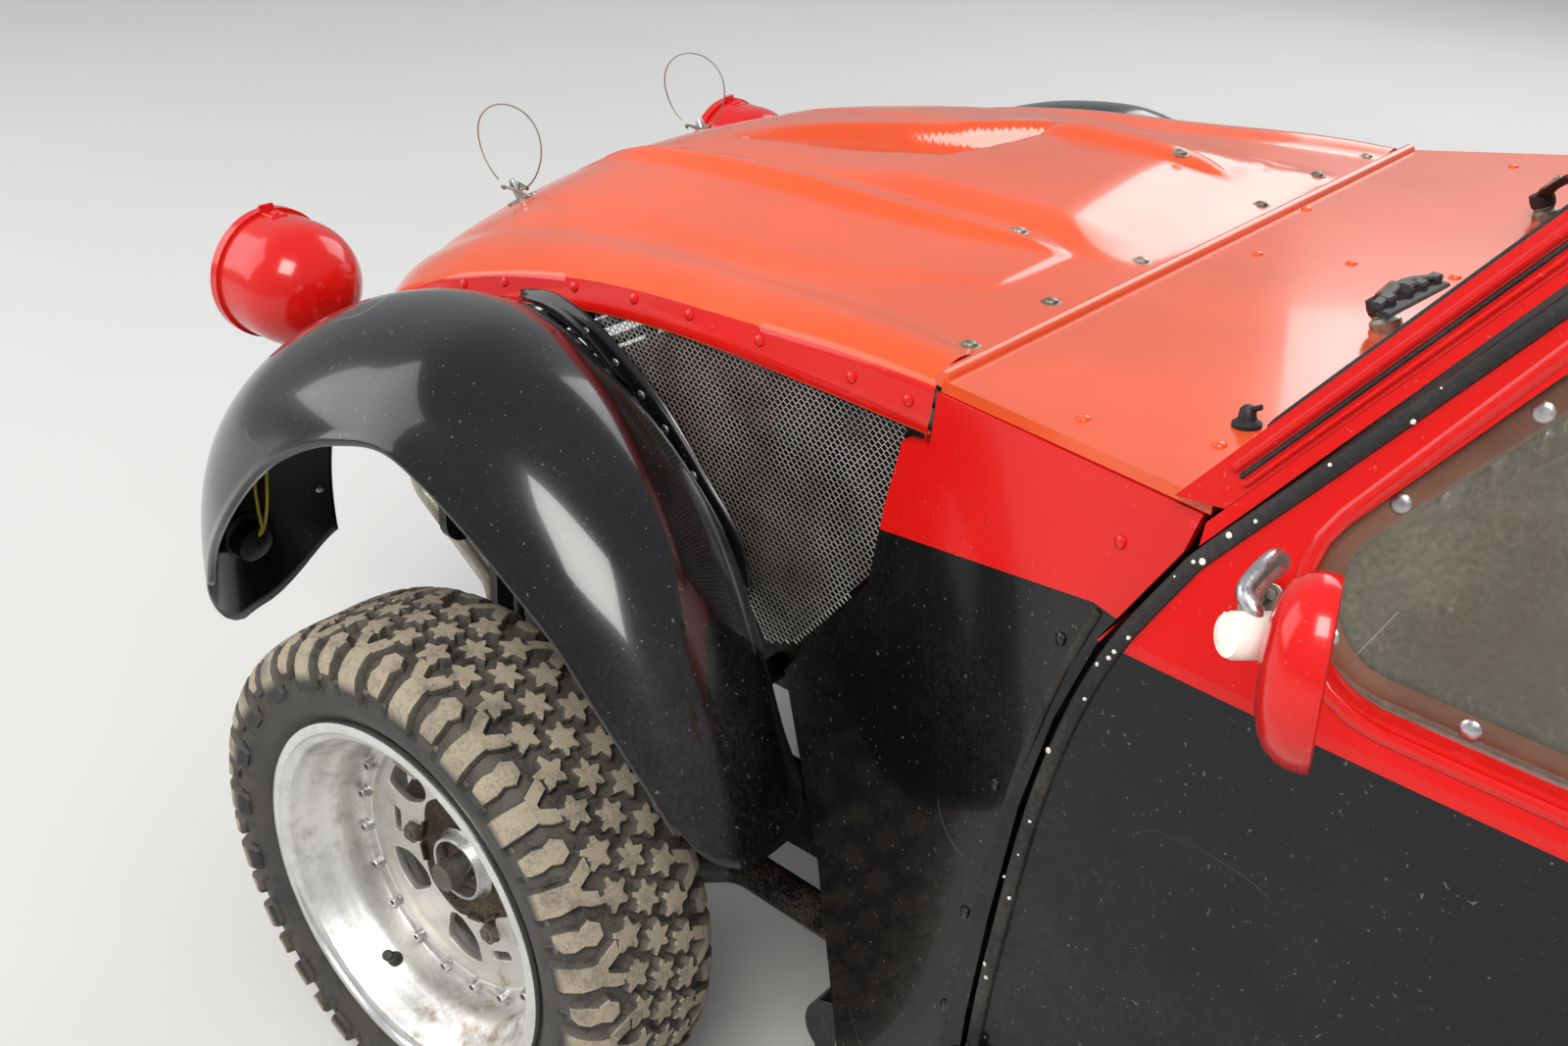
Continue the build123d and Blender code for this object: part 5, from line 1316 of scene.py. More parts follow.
class BuildMeshes(CarOperator, bpy.types.Operator):
    """Weaves the expanded metal panels between bonnet, wings and scuttle"""

    bl_idname = "rally.side_meshes"
    bl_label = "Side meshes"

    def build(self, scene):
        sizes = scene.rally_panels
        wide = sizes.cell * 1000
        high = wide * 0.66
        band = sizes.strand * 500
        for word, side in SIDES:
            weave = Shape()
            z = 618.0
            row = 0
            while z < 910:
                path = []
                x = -404.0
                step = 0
                while x < -4:
                    up = high * 0.5 if (step + row) % 2 else -high * 0.5
                    if inside(MESH_EDGE, x, z):
                        path.append((x, z + up * 0.92, 0.8 if up > 0 else -0.8))
                    elif len(path) > 1:
                        self.strand(weave, path, side, band)
                        path = []
                    else:
                        path = []
                    x += wide * 0.5
                    step += 1
                if len(path) > 1:
                    self.strand(weave, path, side, band)
                z += high
                row += 1
            add_piece(
                f"side_mesh_{word}", weave, "mesh_alloy", stands_for=("side_meshes",), sharp=None,
                closed=False
            )

    def strand(self, weave, path, side, band):
        """One zigzag strand of the expanded metal, three faces round."""
        rings = []
        for x, z, tilt in path:
            y = mesh_y(x, z) - 2.2
            corners = ((z + band, y + tilt + 0.6), (z - band, y + tilt + 0.6), (z, y + tilt - 0.8))
            rings.append(weave.ring(mm(x, side * py, pz) for pz, py in corners))
        weave.skin(rings)


# Tyres

# (height on the axle, radius) round the carcass, in mm from the outer bead to the inner one
CARCASS = (
    (76, 211),
    (82, 218),
    (86, 230),
    (88, 244),
    (87, 256),
    (84, 268),
    (78, 278),
    (68, 285),
    (50, 289),
    (25, 290.5),
    (0, 291),
)
TREAD_EDGE = 118
STAR_ROWS = ((-32, 0.5), (0, 0.0), (32, 0.5))
STARS_PER_PITCH = 2
STAR_R = 17.6


def crown_table():
    """Places along the carcass from its middle outwards: (arc length, height, radius)."""
    rows = [(0.0, 0.0, 291.0)]
    for h, r in reversed(CARCASS[:-1]):
        u, h0, r0 = rows[-1]
        rows.append((u + math.hypot(h - h0, r - r0), h, r))
    return rows


CROWN = crown_table()


def tread_point(u, turn, lift):
    """Point over the carcass: across by arc length, round by an angle, up by a height, in mm."""
    side = -1 if u < 0 else 1
    u = abs(u)
    h, r = curve_value(CROWN, u, 1), curve_value(CROWN, u, 2)
    h2, r2 = curve_value(CROWN, u + 0.5, 1), curve_value(CROWN, u + 0.5, 2)
    run = math.hypot(h2 - h, r2 - r) or 1
    out_h, out_r = -(r2 - r) / run, (h2 - h) / run
    if u >= CROWN[-1][0] - 1:
        out_h, out_r = 0.9, 0.4
    h, r = side * (h + out_h * lift), r + out_r * lift
    return Vector((r * math.cos(turn), h, r * math.sin(turn))) / 1000


def add_lug(tread, rows, turn0, rng):
    """Bevelled rubber bar: rows of (place across, low and high place round, height) in mm."""
    rings = []
    for u, low, high, lift in rows:
        low += rng.uniform(-0.5, 0.5)
        high += rng.uniform(-0.5, 0.5)
        flare = 1.6
        bevel = min(1.4, lift * 0.3)
        places = (
            (low - flare, -1.0),
            (low, lift - bevel),
            (low + bevel, lift),
            (high - bevel, lift),
            (high, lift - bevel),
            (high + flare, -1.0),
        )
        rings.append(tread.ring(tread_point(u, turn0 + v / 291, h) for v, h in places))
    tread.skin(rings, caps=True)


def add_star(tread, u0, turn0, points, spin, lift, rng):
    """Star-shaped tread block with a bevelled top."""
    count = points * 4
    rings = []
    radii = []
    for k in range(count):
        turn = 2 * math.pi * k / count
        radii.append(STAR_R * (0.82 + 0.23 * math.cos(points * (turn - spin))) + rng.uniform(-0.3, 0.3))
    for grow, height in ((1.8, -1.0), (0.0, lift - 1.4), (-1.5, lift), (-7.0, lift + 0.15)):
        ring = []
        for k in range(count):
            turn = 2 * math.pi * k / count
            r = radii[k] + grow
            ring.append(tread_point(u0 + r * math.cos(turn), turn0 + r * math.sin(turn) / 291, height))
        rings.append(tread.ring(ring))
    tread.skin(rings)
    middle_spot = tread.ring([tread_point(u0, turn0, lift + 0.15)])[0]
    last = rings[-1]
    tread.faces.extend((last[k], last[(k + 1) % count], middle_spot) for k in range(count))


class BuildTyres(CarOperator, bpy.types.Operator):
    """Builds the four tyres: carcass, star blocks and shoulder lugs"""

    bl_idname = "rally.tyres"
    bl_label = "Tyres"

    def build(self, scene):
        given = scene.rally_wheels
        rng = random.Random(5)
        lift = given.block * 1000
        tyre = Shape()
        profile = [(r, h) for h, r in CARCASS]
        fine = []
        for (r0, h0), (r1, h1) in zip(profile, profile[1:]):
            for t in (0, 0.5):
                fine.append((r0 + (r1 - r0) * t, h0 + (h1 - h0) * t))
        fine.append(profile[-1])
        whole = fine + [(r, -h) for r, h in reversed(fine[:-1])]
        whole += [(196, -74), (193, -60), (193, 60), (196, 74)]
        tyre.lathe([(r / 1000, h / 1000) for r, h in whole], (0, 0, 0), (0, 1, 0), 132, closed=True)
        self.carcass = len(tyre.faces)
        step = 2 * math.pi / given.pitches
        for pitch in range(given.pitches):
            for half in range(STARS_PER_PITCH):
                for u, shift in STAR_ROWS:
                    turn = step * (pitch + (half + shift) / STARS_PER_PITCH)
                    points = 5 if u else 6
                    add_star(
                        tyre, u, turn, points, rng.uniform(0, 0.5) + (0 if u < 0 else math.pi), lift, rng
                    )
            for side, shift in ((1, 0.0), (-1, 0.5)):
                turn = step * (pitch + shift)
                self.shoulder(tyre, side, turn, step, lift, rng)
        for point in tyre.points:
            reach = math.hypot(point.x, point.z)
            if reach > TYRE_R:
                point.x *= TYRE_R / reach
                point.z *= TYRE_R / reach
        first = None
        for word, side in WHEELS:
            name = f"tread_{word}"
            node = f"tyre_{word}"
            if first is None:
                piece = add_piece(name, tyre, "tyre_rubber", f"wheel_{word}", (node,), 40)
                first = piece.data
                first.materials.append(MATERIALS["tread_rubber"])
                for face in first.polygons:
                    spot = face.center
                    if face.index >= self.carcass and self.outward(spot, face.normal) > 0.72:
                        face.material_index = 1
                set_wheel(piece, node, side)
            else:
                piece = bpy.data.objects.new(name, first)
                bpy.context.scene.collection.objects.link(piece)
                set_wheel(piece, node, side)
                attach(piece, f"wheel_{word}")
                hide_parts(node)

    def outward(self, spot, facing):
        """How far a face looks away from the carcass."""
        middle_line = Vector((spot.x, 0, spot.z)).normalized() * 0.222
        side = math.copysign(min(abs(spot.y), 0.022), spot.y)
        return abs(facing.dot((spot - middle_line - Vector((0, side, 0))).normalized()))

    def shoulder(self, tyre, side, turn, step, lift, rng):
        """One pitch of a shoulder: a long forked lug and a short block."""
        fork = 13
        stem = [
            (60, -12, 13, lift),
            (72, -13, 14, lift),
            (82, -14, 15, lift),
            (90, -15, 15, lift * 0.97),
            (98, -15, 16, lift * 0.9),
            (106, -15, 16, lift * 0.76),
            (112, -14 + rng.uniform(-3, 2), 15 + rng.uniform(-2, 3), lift * 0.5),
            (TREAD_EDGE - 2 + rng.uniform(-3, 2), -11, 12, lift * 0.22),
        ]
        left = [(46, -fork - 11, -fork + 4, lift), (55, -fork - 7, -fork + 9, lift), (66, -fork, 3, lift)]
        right = [(47, fork - 5, fork + 10, lift), (56, fork - 10, fork + 7, lift), (66, -3, fork + 1, lift)]
        for rows in (stem, left, right):
            add_lug(tyre, [(side * u, *rest) for u, *rest in rows], turn, rng)
        short = [
            (56, -7, 8, lift),
            (64, -13, 14, lift),
            (72, -9, 10, lift),
            (80, -12, 13, lift),
            (88, -11, 12, lift * 0.97),
            (95, -9 + rng.uniform(-2, 2), 9 + rng.uniform(-2, 2), lift * 0.75),
            (100, -6, 6, lift * 0.35),
        ]
        add_lug(tyre, [(side * u, *rest) for u, *rest in short], turn + step / 2, rng)
        for low in (-30, 21):
            rib = [
                (100 + rng.uniform(-3, 2), low - 3, low + 4, 0.5), (108, low - 4, low + 5, 1.6),
                (117, low - 2, low + 3, 0.4)
            ]
            add_lug(tyre, [(side * u, *rest) for u, *rest in rib], turn, rng)


def set_wheel(piece, node, side):
    """Puts a piece made about the origin on a wheel, its outer face outwards."""
    turn = Matrix.Identity(4) if side > 0 else Matrix.Rotation(math.pi, 4, "X")
    piece.matrix_world = Matrix.Translation(middle(node)) @ turn


# Wheel fittings

# (radius, height on the axle) round the rim's barrel and flanges, in mm
BARREL = (
    (143, -8), (144, -1), (146, 0.5), (157, 0.5), (159.5, 2), (161, 6), (162, 16), (163, 28), (165, 36),
    (168, 41), (172, 44.5), (174.5, 50), (177, 57), (180, 64), (183.5, 68), (185, 73), (187.5, 77),
    (193, 79), (195.5, 81), (197, 83.5), (200, 84), (204.5, 84), (207.5, 83), (208.4, 80), (208, 77),
    (190, 76), (190, 58), (184, 50), (170, 30), (168, -32), (184, -50), (190, -58), (190, -76),
    (208, -77), (208, -82), (206, -84), (198, -84), (184, -79), (181, -70), (174, -52), (160, -34),
    (160, -20), (143, -20),
)
DISC_R = 147
DISC_FACE = -8
DISC_HALF = 5
DISH_STEP = (151.5, 0.5)
LUG_CIRCLE = 81
LUG_TURNS = (0, 120, 240)
# (radius, degrees from a lug) round one window, one slot and a third of the middle opening
WINDOW = ((78, 37), (98, 20), (131, 19), (134, 33), (129, 46), (86, 50))
LUG_SLOT = ((105, -9), (105, 9), (118, 9), (118, -9))
MIDDLE_EDGE = ((94, -6), (94, 6), (70, 11), (64, 22), (74, 42), (79, 60), (74, 78), (64, 98), (70, 109))
VALVE_AT = (95, -199)


def wheel_point(r, turn, h):
    """Point in a wheel's own frame: radius, angle in degrees and height on the axle, in mm."""
    a = math.radians(turn)
    return Vector((r * math.cos(a), h, -r * math.sin(a))) / 1000


def rounded(corners, radius, steps=5):
    """Closed outline with its corners eased over a radius."""
    points = []
    count = len(corners)
    for i, corner in enumerate(corners):
        corner = Vector(corner)
        reach = []
        for other in (corners[i - 1], corners[(i + 1) % count]):
            way = Vector(other) - corner
            reach.append(corner + way.normalized() * min(radius, way.length * 0.48))
        for t in spread(0, 1, steps):
            points.append(reach[0] * (1 - t) ** 2 + corner * 2 * t * (1 - t) + reach[1] * t * t)
    return points


def flat_plate(outlines, half, bevel):
    """Mesh of a flat plate with holes, its edges rounded, lying across a wheel's axle."""
    curve = bpy.data.curves.new("plate", "CURVE")
    curve.dimensions = "2D"
    curve.fill_mode = "BOTH"
    curve.extrude = half - bevel
    curve.bevel_depth = bevel
    curve.bevel_resolution = 2
    for outline in outlines:
        line = curve.splines.new("POLY")
        line.points.add(len(outline) - 1)
        for point, (x, y) in zip(line.points, outline):
            point.co = (x, y, 0, 1)
        line.use_cyclic_u = True
    holder = bpy.data.objects.new("plate", curve)
    bpy.context.scene.collection.objects.link(holder)
    mesh = bpy.data.meshes.new_from_object(holder.evaluated_get(bpy.context.evaluated_depsgraph_get()))
    bpy.data.objects.remove(holder)
    bpy.data.curves.remove(curve)
    return mesh


def on_disc(rows, start=0):
    """Places in metres on the disc from (radius, degrees) rows."""
    return [
        (
            r * math.cos(math.radians(start + a)) / 1000, r * math.sin(math.radians(start + a)) / 1000
        ) for r, a in rows
    ]


OUT = Vector((0, 1, 0))


def nut_shape(fittings, at, flats, height, bore):
    """Conical-seat nut with a bored end."""
    rim = flats * 1.12
    profile = [(rim * 1.25, -0.001), (rim * 1.25, 0.0015), (rim, 0.003), (rim * 0.97, height * 0.9)]
    profile += [(rim * 0.8, height), (bore, height), (bore * 0.9, height * 0.6), (bore * 0.1, height * 0.55)]
    fittings.lathe(profile[:2], at, OUT, 24, caps=True)
    fittings.lathe(profile[2:], at, OUT, 6)


# (growth of the outline, height) over the hub cover, in mm
COVER_ROWS = ((9, -14), (8, -9.5), (2, -7.5), (-7, -6.5), (-16, -8.5), (-26, -10), (-40, -9))
# Angles of the balance weights, in degrees
WEIGHT_TURNS = (118, 262)


class FitWheels(CarOperator, bpy.types.Operator):
    """Adds bolts, nuts, hub caps, valves and drums to the four wheels"""

    bl_idname = "rally.wheel_fittings"
    bl_label = "Wheel fittings"

    def build(self, scene):
        given = scene.rally_wheels
        kinds = (
            ("rim_barrel", self.barrel(), "wheel_alloy"),
            ("ring_bolts", self.ring_bolts(given), "bright_alloy"),
            ("lug_nuts", self.lug_nuts(), "rusty_steel"),
            ("hub_cover", self.hub_cover(), "dark_steel"),
            ("hub_ring", self.hub_ring(), "bright_alloy"),
            ("hub_grease", self.hub_grease(), "grease"),
            ("hub_nut", self.hub_nut(), "rusty_steel"),
            ("valve", self.valve(), "black_rubber"),
            ("brake_drum", self.drum(), "rusty_steel"),
            ("balance_weights", self.weights(), "zinc_steel"),
        )
        for kind, shape, finish in kinds:
            first = None
            for word, side in WHEELS:
                name = f"{kind}_{word}"
                if first is None:
                    stands_for = (f"rim_{word}",) if kind == "rim_barrel" else ()
                    piece = add_piece(name, shape, finish, f"wheel_{word}", stands_for)
                    first = piece.data
                    set_wheel(piece, f"tyre_{word}", side)
                    continue
                piece = bpy.data.objects.new(name, first)
                bpy.context.scene.collection.objects.link(piece)
                set_wheel(piece, f"tyre_{word}", side)
                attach(piece, f"wheel_{word}")
                if kind == "rim_barrel":
                    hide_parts(f"rim_{word}")

    def barrel(self):
        """Barrel of the rim with its flanges, and the cast disc with its windows."""
        made = Shape()
        made.lathe([(r / 1000, h / 1000) for r, h in BARREL], (0, 0, 0), OUT, 108, closed=True)
        edge = [
            (DISC_R / 1000 * math.cos(t), DISC_R / 1000 * math.sin(t))
            for t in spread(0, 2 * math.pi, 97)[:-1]
        ]
        outlines = [edge]
        centre = []
        for lug in LUG_TURNS:
            for mirror in (1, -1):
                outlines.append(rounded(on_disc([(r, a * mirror) for r, a in WINDOW], lug), 0.011))
            outlines.append(rounded(on_disc(LUG_SLOT, lug), 0.005))
            centre += on_disc(MIDDLE_EDGE, lug)
        outlines.append(rounded(centre, 0.009))
        plate = flat_plate(outlines, DISC_HALF / 1000, 0.0011)
        start = len(made.points)
        for vertex in plate.vertices:
            x, y, z = vertex.co
            made.points.append(Vector((x, z + (DISC_FACE - DISC_HALF) / 1000, -y)))
        made.faces.extend(tuple(start + i for i in face.vertices) for face in plate.polygons)
        bpy.data.meshes.remove(plate)
        return made

    def ring_bolts(self, given):
        """Socket-head bolts round the step of the dish."""
        made = Shape()
        r = given.bolt
        profile = [(r * 1.35, -0.0008), (r * 1.35, 0.001), (r * 1.02, 0.0012), (r, 0.0085), (r * 0.9, 0.0095)]
        profile += [(r * 0.55, 0.0095), (r * 0.5, 0.004), (r * 0.05, 0.0038)]
        for step in range(given.bolts):
            at = wheel_point(DISH_STEP[0], 9 + 360 * step / given.bolts, DISH_STEP[1])
            made.lathe(profile, at, OUT, 18)
        return made

    def lug_nuts(self):
        """Three conical nuts on studs, each in its pocket."""
        made = Shape()
        for turn in LUG_TURNS:
            at = wheel_point(LUG_CIRCLE, turn, DISC_FACE - 8)
            nut_shape(made, at, 0.0105, 0.017, 0.0062)
            stud = [(0.006, 0.004), (0.006, 0.018), (0.0048, 0.0195), (0.0004, 0.0198)]
            made.lathe(stud, at, OUT, 16)
        return made

    def hub_cover(self):
        """Three-lobed dark cover in the middle opening, with a raised edge and webs to the nuts."""
        made = Shape()
        rings = []
        for grow, h in COVER_ROWS:
            ring = []
            for step in range(90):
                turn = step * 4
                lobe = 0.5 - 0.5 * math.cos(math.radians(3 * turn))
                ring.append(wheel_point(max(30, 62 + 12 * ease(lobe, 0.05, 0.9) + grow), turn, h))
            rings.append(made.ring(ring))
        made.skin(rings)
        made.lathe(
            [(0.110, -0.019), (0.110, -0.0165), (0.04, -0.0165), (0.04, -0.019)], (0, 0, 0), OUT, 60,
            closed=True
        )
        for turn in LUG_TURNS:
            for shift in (-14, 14):
                made.box(
                    wheel_point(64, turn + shift, -8), (0.004, 0.012, 0.022),
                    Matrix.Rotation(math.radians(turn + shift), 3, "Y")
                )
        return made

    def hub_ring(self):
        """Bright turned ring round the hub's bore."""
        made = Shape()
        profile = [
            (33, -22), (32.5, 2), (33.2, 3.6), (36.2, 3.6), (37.2, 2.4), (38.5, -5), (42, -9), (42, -14)
        ]
        return made.lathe([(r / 1000, h / 1000) for r, h in profile], (0, 0, 0), OUT, 60)

    def hub_grease(self):
        """Brown greasy floor of the hub's bore."""
        made = Shape()
        profile = [(33, -9), (30, -13), (24, -15), (17, -14), (12, -12), (0.5, -11)]
        return made.lathe([(r / 1000, h / 1000) for r, h in profile], (0, 0, 0), OUT, 40)

    def hub_nut(self):
        """Castellated nut with its washer, end of the spindle and a cotter wire."""
        made = Shape()
        made.lathe(
            [(0.0200, -0.016), (0.0200, -0.0105), (0.0190, -0.0095), (0.010, -0.0095)], (0, 0, 0), OUT, 32
        )
        made.lathe(
            [(0.0150, -0.010), (0.0150, -0.003), (0.0138, -0.0015), (0.0115, -0.0015)], (0, 0, 0), OUT, 6
        )
        for step in range(6):
            turn = step * 60 + 30
            outline = [wheel_point(r, turn + a, -2) for r, a in ((9, -15), (12.6, -15), (12.6, 15), (9, 15))]
            made.slab(outline, OUT * 0.005, 0.0008)
        made.lathe(
            [(0.0078, -0.004), (0.0078, 0.0042), (0.0066, 0.0055), (0.0004, 0.0052)], (0, 0, 0), OUT, 24
        )
        rows = (
            (24, 20, 2), (17, 8, 4), (9, 2, 2), (0, 0, 1), (9, 184, 2), (18, 196, 4), (26, 214, 1),
            (28, 226, -4)
        )
        made.tube([wheel_point(r, t, h) for r, t, h in rows], 0.0012, 8)
        return made

    def valve(self):
        """Rubber valve stem with its cap, leaning out of the dish."""
        made = Shape()
        turn = math.degrees(math.atan2(-VALVE_AT[1], VALVE_AT[0]))
        at = wheel_point(166, turn, 37)
        lean = (wheel_point(136, turn, 56) - at).normalized()
        profile = [(0.0085, 0), (0.008, 0.006), (0.0056, 0.010), (0.0050, 0.024), (0.0062, 0.025)]
        profile += [(0.0062, 0.037), (0.0048, 0.039), (0.0004, 0.039)]
        made.lathe(profile, at, lean, 20, caps=True)
        return made

    def drum(self):
        """Brake disc behind the holes of the dish."""
        made = Shape()
        profile = [(0.030, -0.040), (0.058, -0.040), (0.060, -0.052), (0.130, -0.052), (0.132, -0.054)]
        profile += [(0.132, -0.064), (0.130, -0.066), (0.060, -0.066), (0.030, -0.060)]
        made.lathe(profile, (0, 0, 0), OUT, 72, closed=True)
        return made

    def weights(self):
        """Clip-on balance weights on the lip."""
        made = Shape()
        for turn in WEIGHT_TURNS:
            outline = [
                wheel_point(r, turn + a, 76) for r, a in ((190, -5), (196, -5.5), (196, 5.5), (190, 5))
            ]
            made.slab(outline, OUT * 0.006, 0.001)
        return made


# Doors, windows, pillars, mirrors and wipers

DOOR_EDGE = (
    (-612, 310), (-612, 485), (-618, 593), (-628, 706), (-644, 794), (-667, 868), (-700, 936), (-714, 959),
    (-768, 1029), (-823, 1101), (-879, 1175), (-922, 1232)
)
DOOR_WINDOW = ((-726, 905), (-956, 1220), (-1432, 1220), (-1432, 905))
WINDOW_CORNER = 66
# Where the door's handle and the window's catch meet the door, in mm ahead of the front axle and up
HANDLE_AT = (-1392, 812)
SLIDER_AT = (-1160, 1050)
# (place along the handle, distance from the door) in mm
HANDLE = ((-52, -1), (-48, 14), (-38, 22), (0, 25), (38, 22), (48, 14), (52, -1))
# The windscreen's outer face: its foot in mm, how far it leans back for each mm up, and its outward direction
SCREEN_FOOT = (-679, 976)
SCREEN_LEAN = 0.767
SCREEN_OUT = Vector((0.793, 0, 0.609))
QUARTER = ((-1552, 925), (-1552, 1220), (-1740, 1220), (-1930, 925))
SCUTTLE_SCREWS = ((-448, -161), (-481, 36), (-569, 22), (-665, 19), (-566, -479), (-567, 531), (-671, 524))
PANEL_RIVETS = ((-645, 925), (-612, 830), (-580, 683), (-578, 560), (-579, 466), (-580, 360))
NOZZLE = (-695, 479)


def smooth_line(rows, count):
    """Points along a smooth line through (x, z) rows."""
    table = [(i, *row) for i, row in enumerate(rows)]
    return [(curve_value(table, t, 1), curve_value(table, t, 2)) for t in spread(0, len(rows) - 1, count)]


def outline_round(corners, radius, grow=0.0, gap=14.0):
    """Closed line with true round corners, moved outward by grow, points about a gap apart."""
    centre = sum((Vector(c) for c in corners), Vector((0, 0))) / len(corners)
    moved = []
    for x, z in corners:
        moved.append(Vector((x + (grow if x > centre.x else -grow), z + (grow if z > centre.y else -grow))))
    radius += grow
    curve = []
    for i, corner in enumerate(moved):
        one = (moved[i - 1] - corner).normalized()
        two = (moved[(i + 1) % len(moved)] - corner).normalized()
        half = one.angle(two) / 2
        heart = corner + (one + two).normalized() * radius / math.sin(half)
        first = corner + one * radius / math.tan(half) - heart
        last = corner + two * radius / math.tan(half) - heart
        for t in spread(0, 1, 9):
            curve.append(heart + first.normalized().slerp(last.normalized(), t) * radius)
    points = []
    for a, b in zip(curve, curve[1:] + curve[:1]):
        steps = max(1, round((b - a).length / gap))
        points += [a.lerp(b, i / steps) for i in range(steps) if (b - a).length > 0.5]
    return points


def screen_x(z):
    """Place of the windscreen's outer face ahead of the front axle, at a height."""
    return SCREEN_FOOT[0] - SCREEN_LEAN * (z - SCREEN_FOOT[1])


def sideways(node, places, side, lift=0.0):
    """Places (x, z) carried on to a node's outer side."""
    found = []
    for x, z in places:
        place, facing = lie_on(node, mm(x, side * 1000, z), (0, -side, 0))
        found.append(place + facing * lift)
    return found


def closed_bead(shape, path, radius, sides=8, flat=1.0):
    """Bar whose end meets its start."""
    rings = []
    count = len(path)
    for i, point in enumerate(path):
        ahead = (path[(i + 1) % count] - path[i - 1]).normalized()
        side = Vector((0, 1, 0)) - ahead * ahead.y
        side.normalize()
        up = side.cross(ahead)
        turn = [2 * math.pi * k / sides for k in range(sides)]
        rings.append(
            shape.ring(point + side * radius * flat * math.cos(a) + up * radius * math.sin(a) for a in turn)
        )
    rings.append(rings[0])
    return shape.skin(rings)


class TrimDoors(CarOperator, bpy.types.Operator):
    """Adds the doors' rubber edge, window frames, edge strips, screws, handles, locks and window catches"""

    bl_idname = "rally.door_trim"
    bl_label = "Door trim"

    def build(self, scene):
        sizes = scene.rally_panels
        rng = random.Random(12)
        for word, side in SIDES:
            door, pane = f"door_{word}", f"door_window_{word}"
            edge = [(x - 7, z) for x, z in smooth_line(DOOR_EDGE, 80)]
            line = sideways(door, edge, side, 0.001)
            add_piece(f"door_seal_{word}", Shape().tube(line, 0.0062, 10, 0.8), "black_rubber", door)
            specks = Shape()
            for place in line[2:]:
                if rng.random() < 0.24:
                    shift = Vector((rng.uniform(-4, 5), side * 4, rng.uniform(-9, 9))) / 1000
                    specks.stud(place + shift, (0.3, side, 0.1), rng.uniform(0.0008, 0.0026), 0.0012, 8)
            add_piece(f"door_sealant_{word}", specks, "sealant_white", door)
            frame_line = sideways(door, outline_round(DOOR_WINDOW, WINDOW_CORNER, 9), side, 0.0005)
            rail = closed_bead(Shape(), frame_line, 0.0055, 10, 0.6)
            add_piece(f"window_rail_{word}", rail, "red_paint", door)
            strip_line = sideways(pane, outline_round(DOOR_WINDOW, WINDOW_CORNER, -11), side, 0.0006)
            strip = closed_bead(Shape(), strip_line, 0.0095, 8, 0.09)
            add_piece(f"window_strip_{word}", strip, "pane_edge", door)
            screws = Shape()
            for i, place in enumerate(strip_line):
                if i % 7 == 3:
                    screws.stud(place, (0, side, 0.12), sizes.screw * 1.1, 0.003, 18)
            add_piece(f"window_screws_{word}", screws, "bright_alloy", door)
            self.handle(word, side, door)
            self.slider(word, side, pane, door)

    def handle(self, word, side, door):
        """Pull handle with its two feet and a lock barrel."""
        at, _ = lie_on(door, mm(HANDLE_AT[0], side * 1000, HANDLE_AT[1]), (0, -side, 0))
        out = Vector((0, side, 0))
        grip = Shape()
        path = [at + Vector((x, 0, 0)) / 1000 + out * h / 1000 for x, h in HANDLE]
        grip.tube(path, [0.008, 0.0085, 0.0075, 0.008, 0.0075, 0.0085, 0.008], 12, 0.7)
        add_piece(f"door_handle_{word}", grip, "bright_alloy", door)
        lock = Shape()
        base = at + Vector((0.004, 0, -0.042))
        lock.lathe(
            [(0.0125, -0.001), (0.0125, 0.003), (0.0105, 0.0045), (0.0100, 0.0065), (0.0005, 0.0065)], base,
            out, 28, caps=True
        )
        lock.box(base + out * 0.0072, (0.0016, 0.0022, 0.009), None, 0.0003)
        add_piece(f"door_lock_{word}", lock, "zinc_steel", door)

    def slider(self, word, side, pane, door):
        """Finger catch and joint strip of the sliding window."""
        made = Shape()
        upper = [(-1120, z) for z in spread(918, 1206, 8)]
        line = sideways(pane, upper, side, 0.001)
        made.tube(line, 0.0062, 8, 0.4)
        add_piece(f"window_joint_{word}", made, "black_rubber", door)
        catch = Shape()
        at, facing = lie_on(pane, mm(SLIDER_AT[0], side * 1000, SLIDER_AT[1]), (0, -side, 0))
        catch.stud(at, facing, 0.016, 0.0025, 24, dome=False)
        catch.stud(at + facing * 0.002, facing, 0.0085, 0.009, 20)
        add_piece(f"window_catch_{word}", catch, "black_plastic", door)


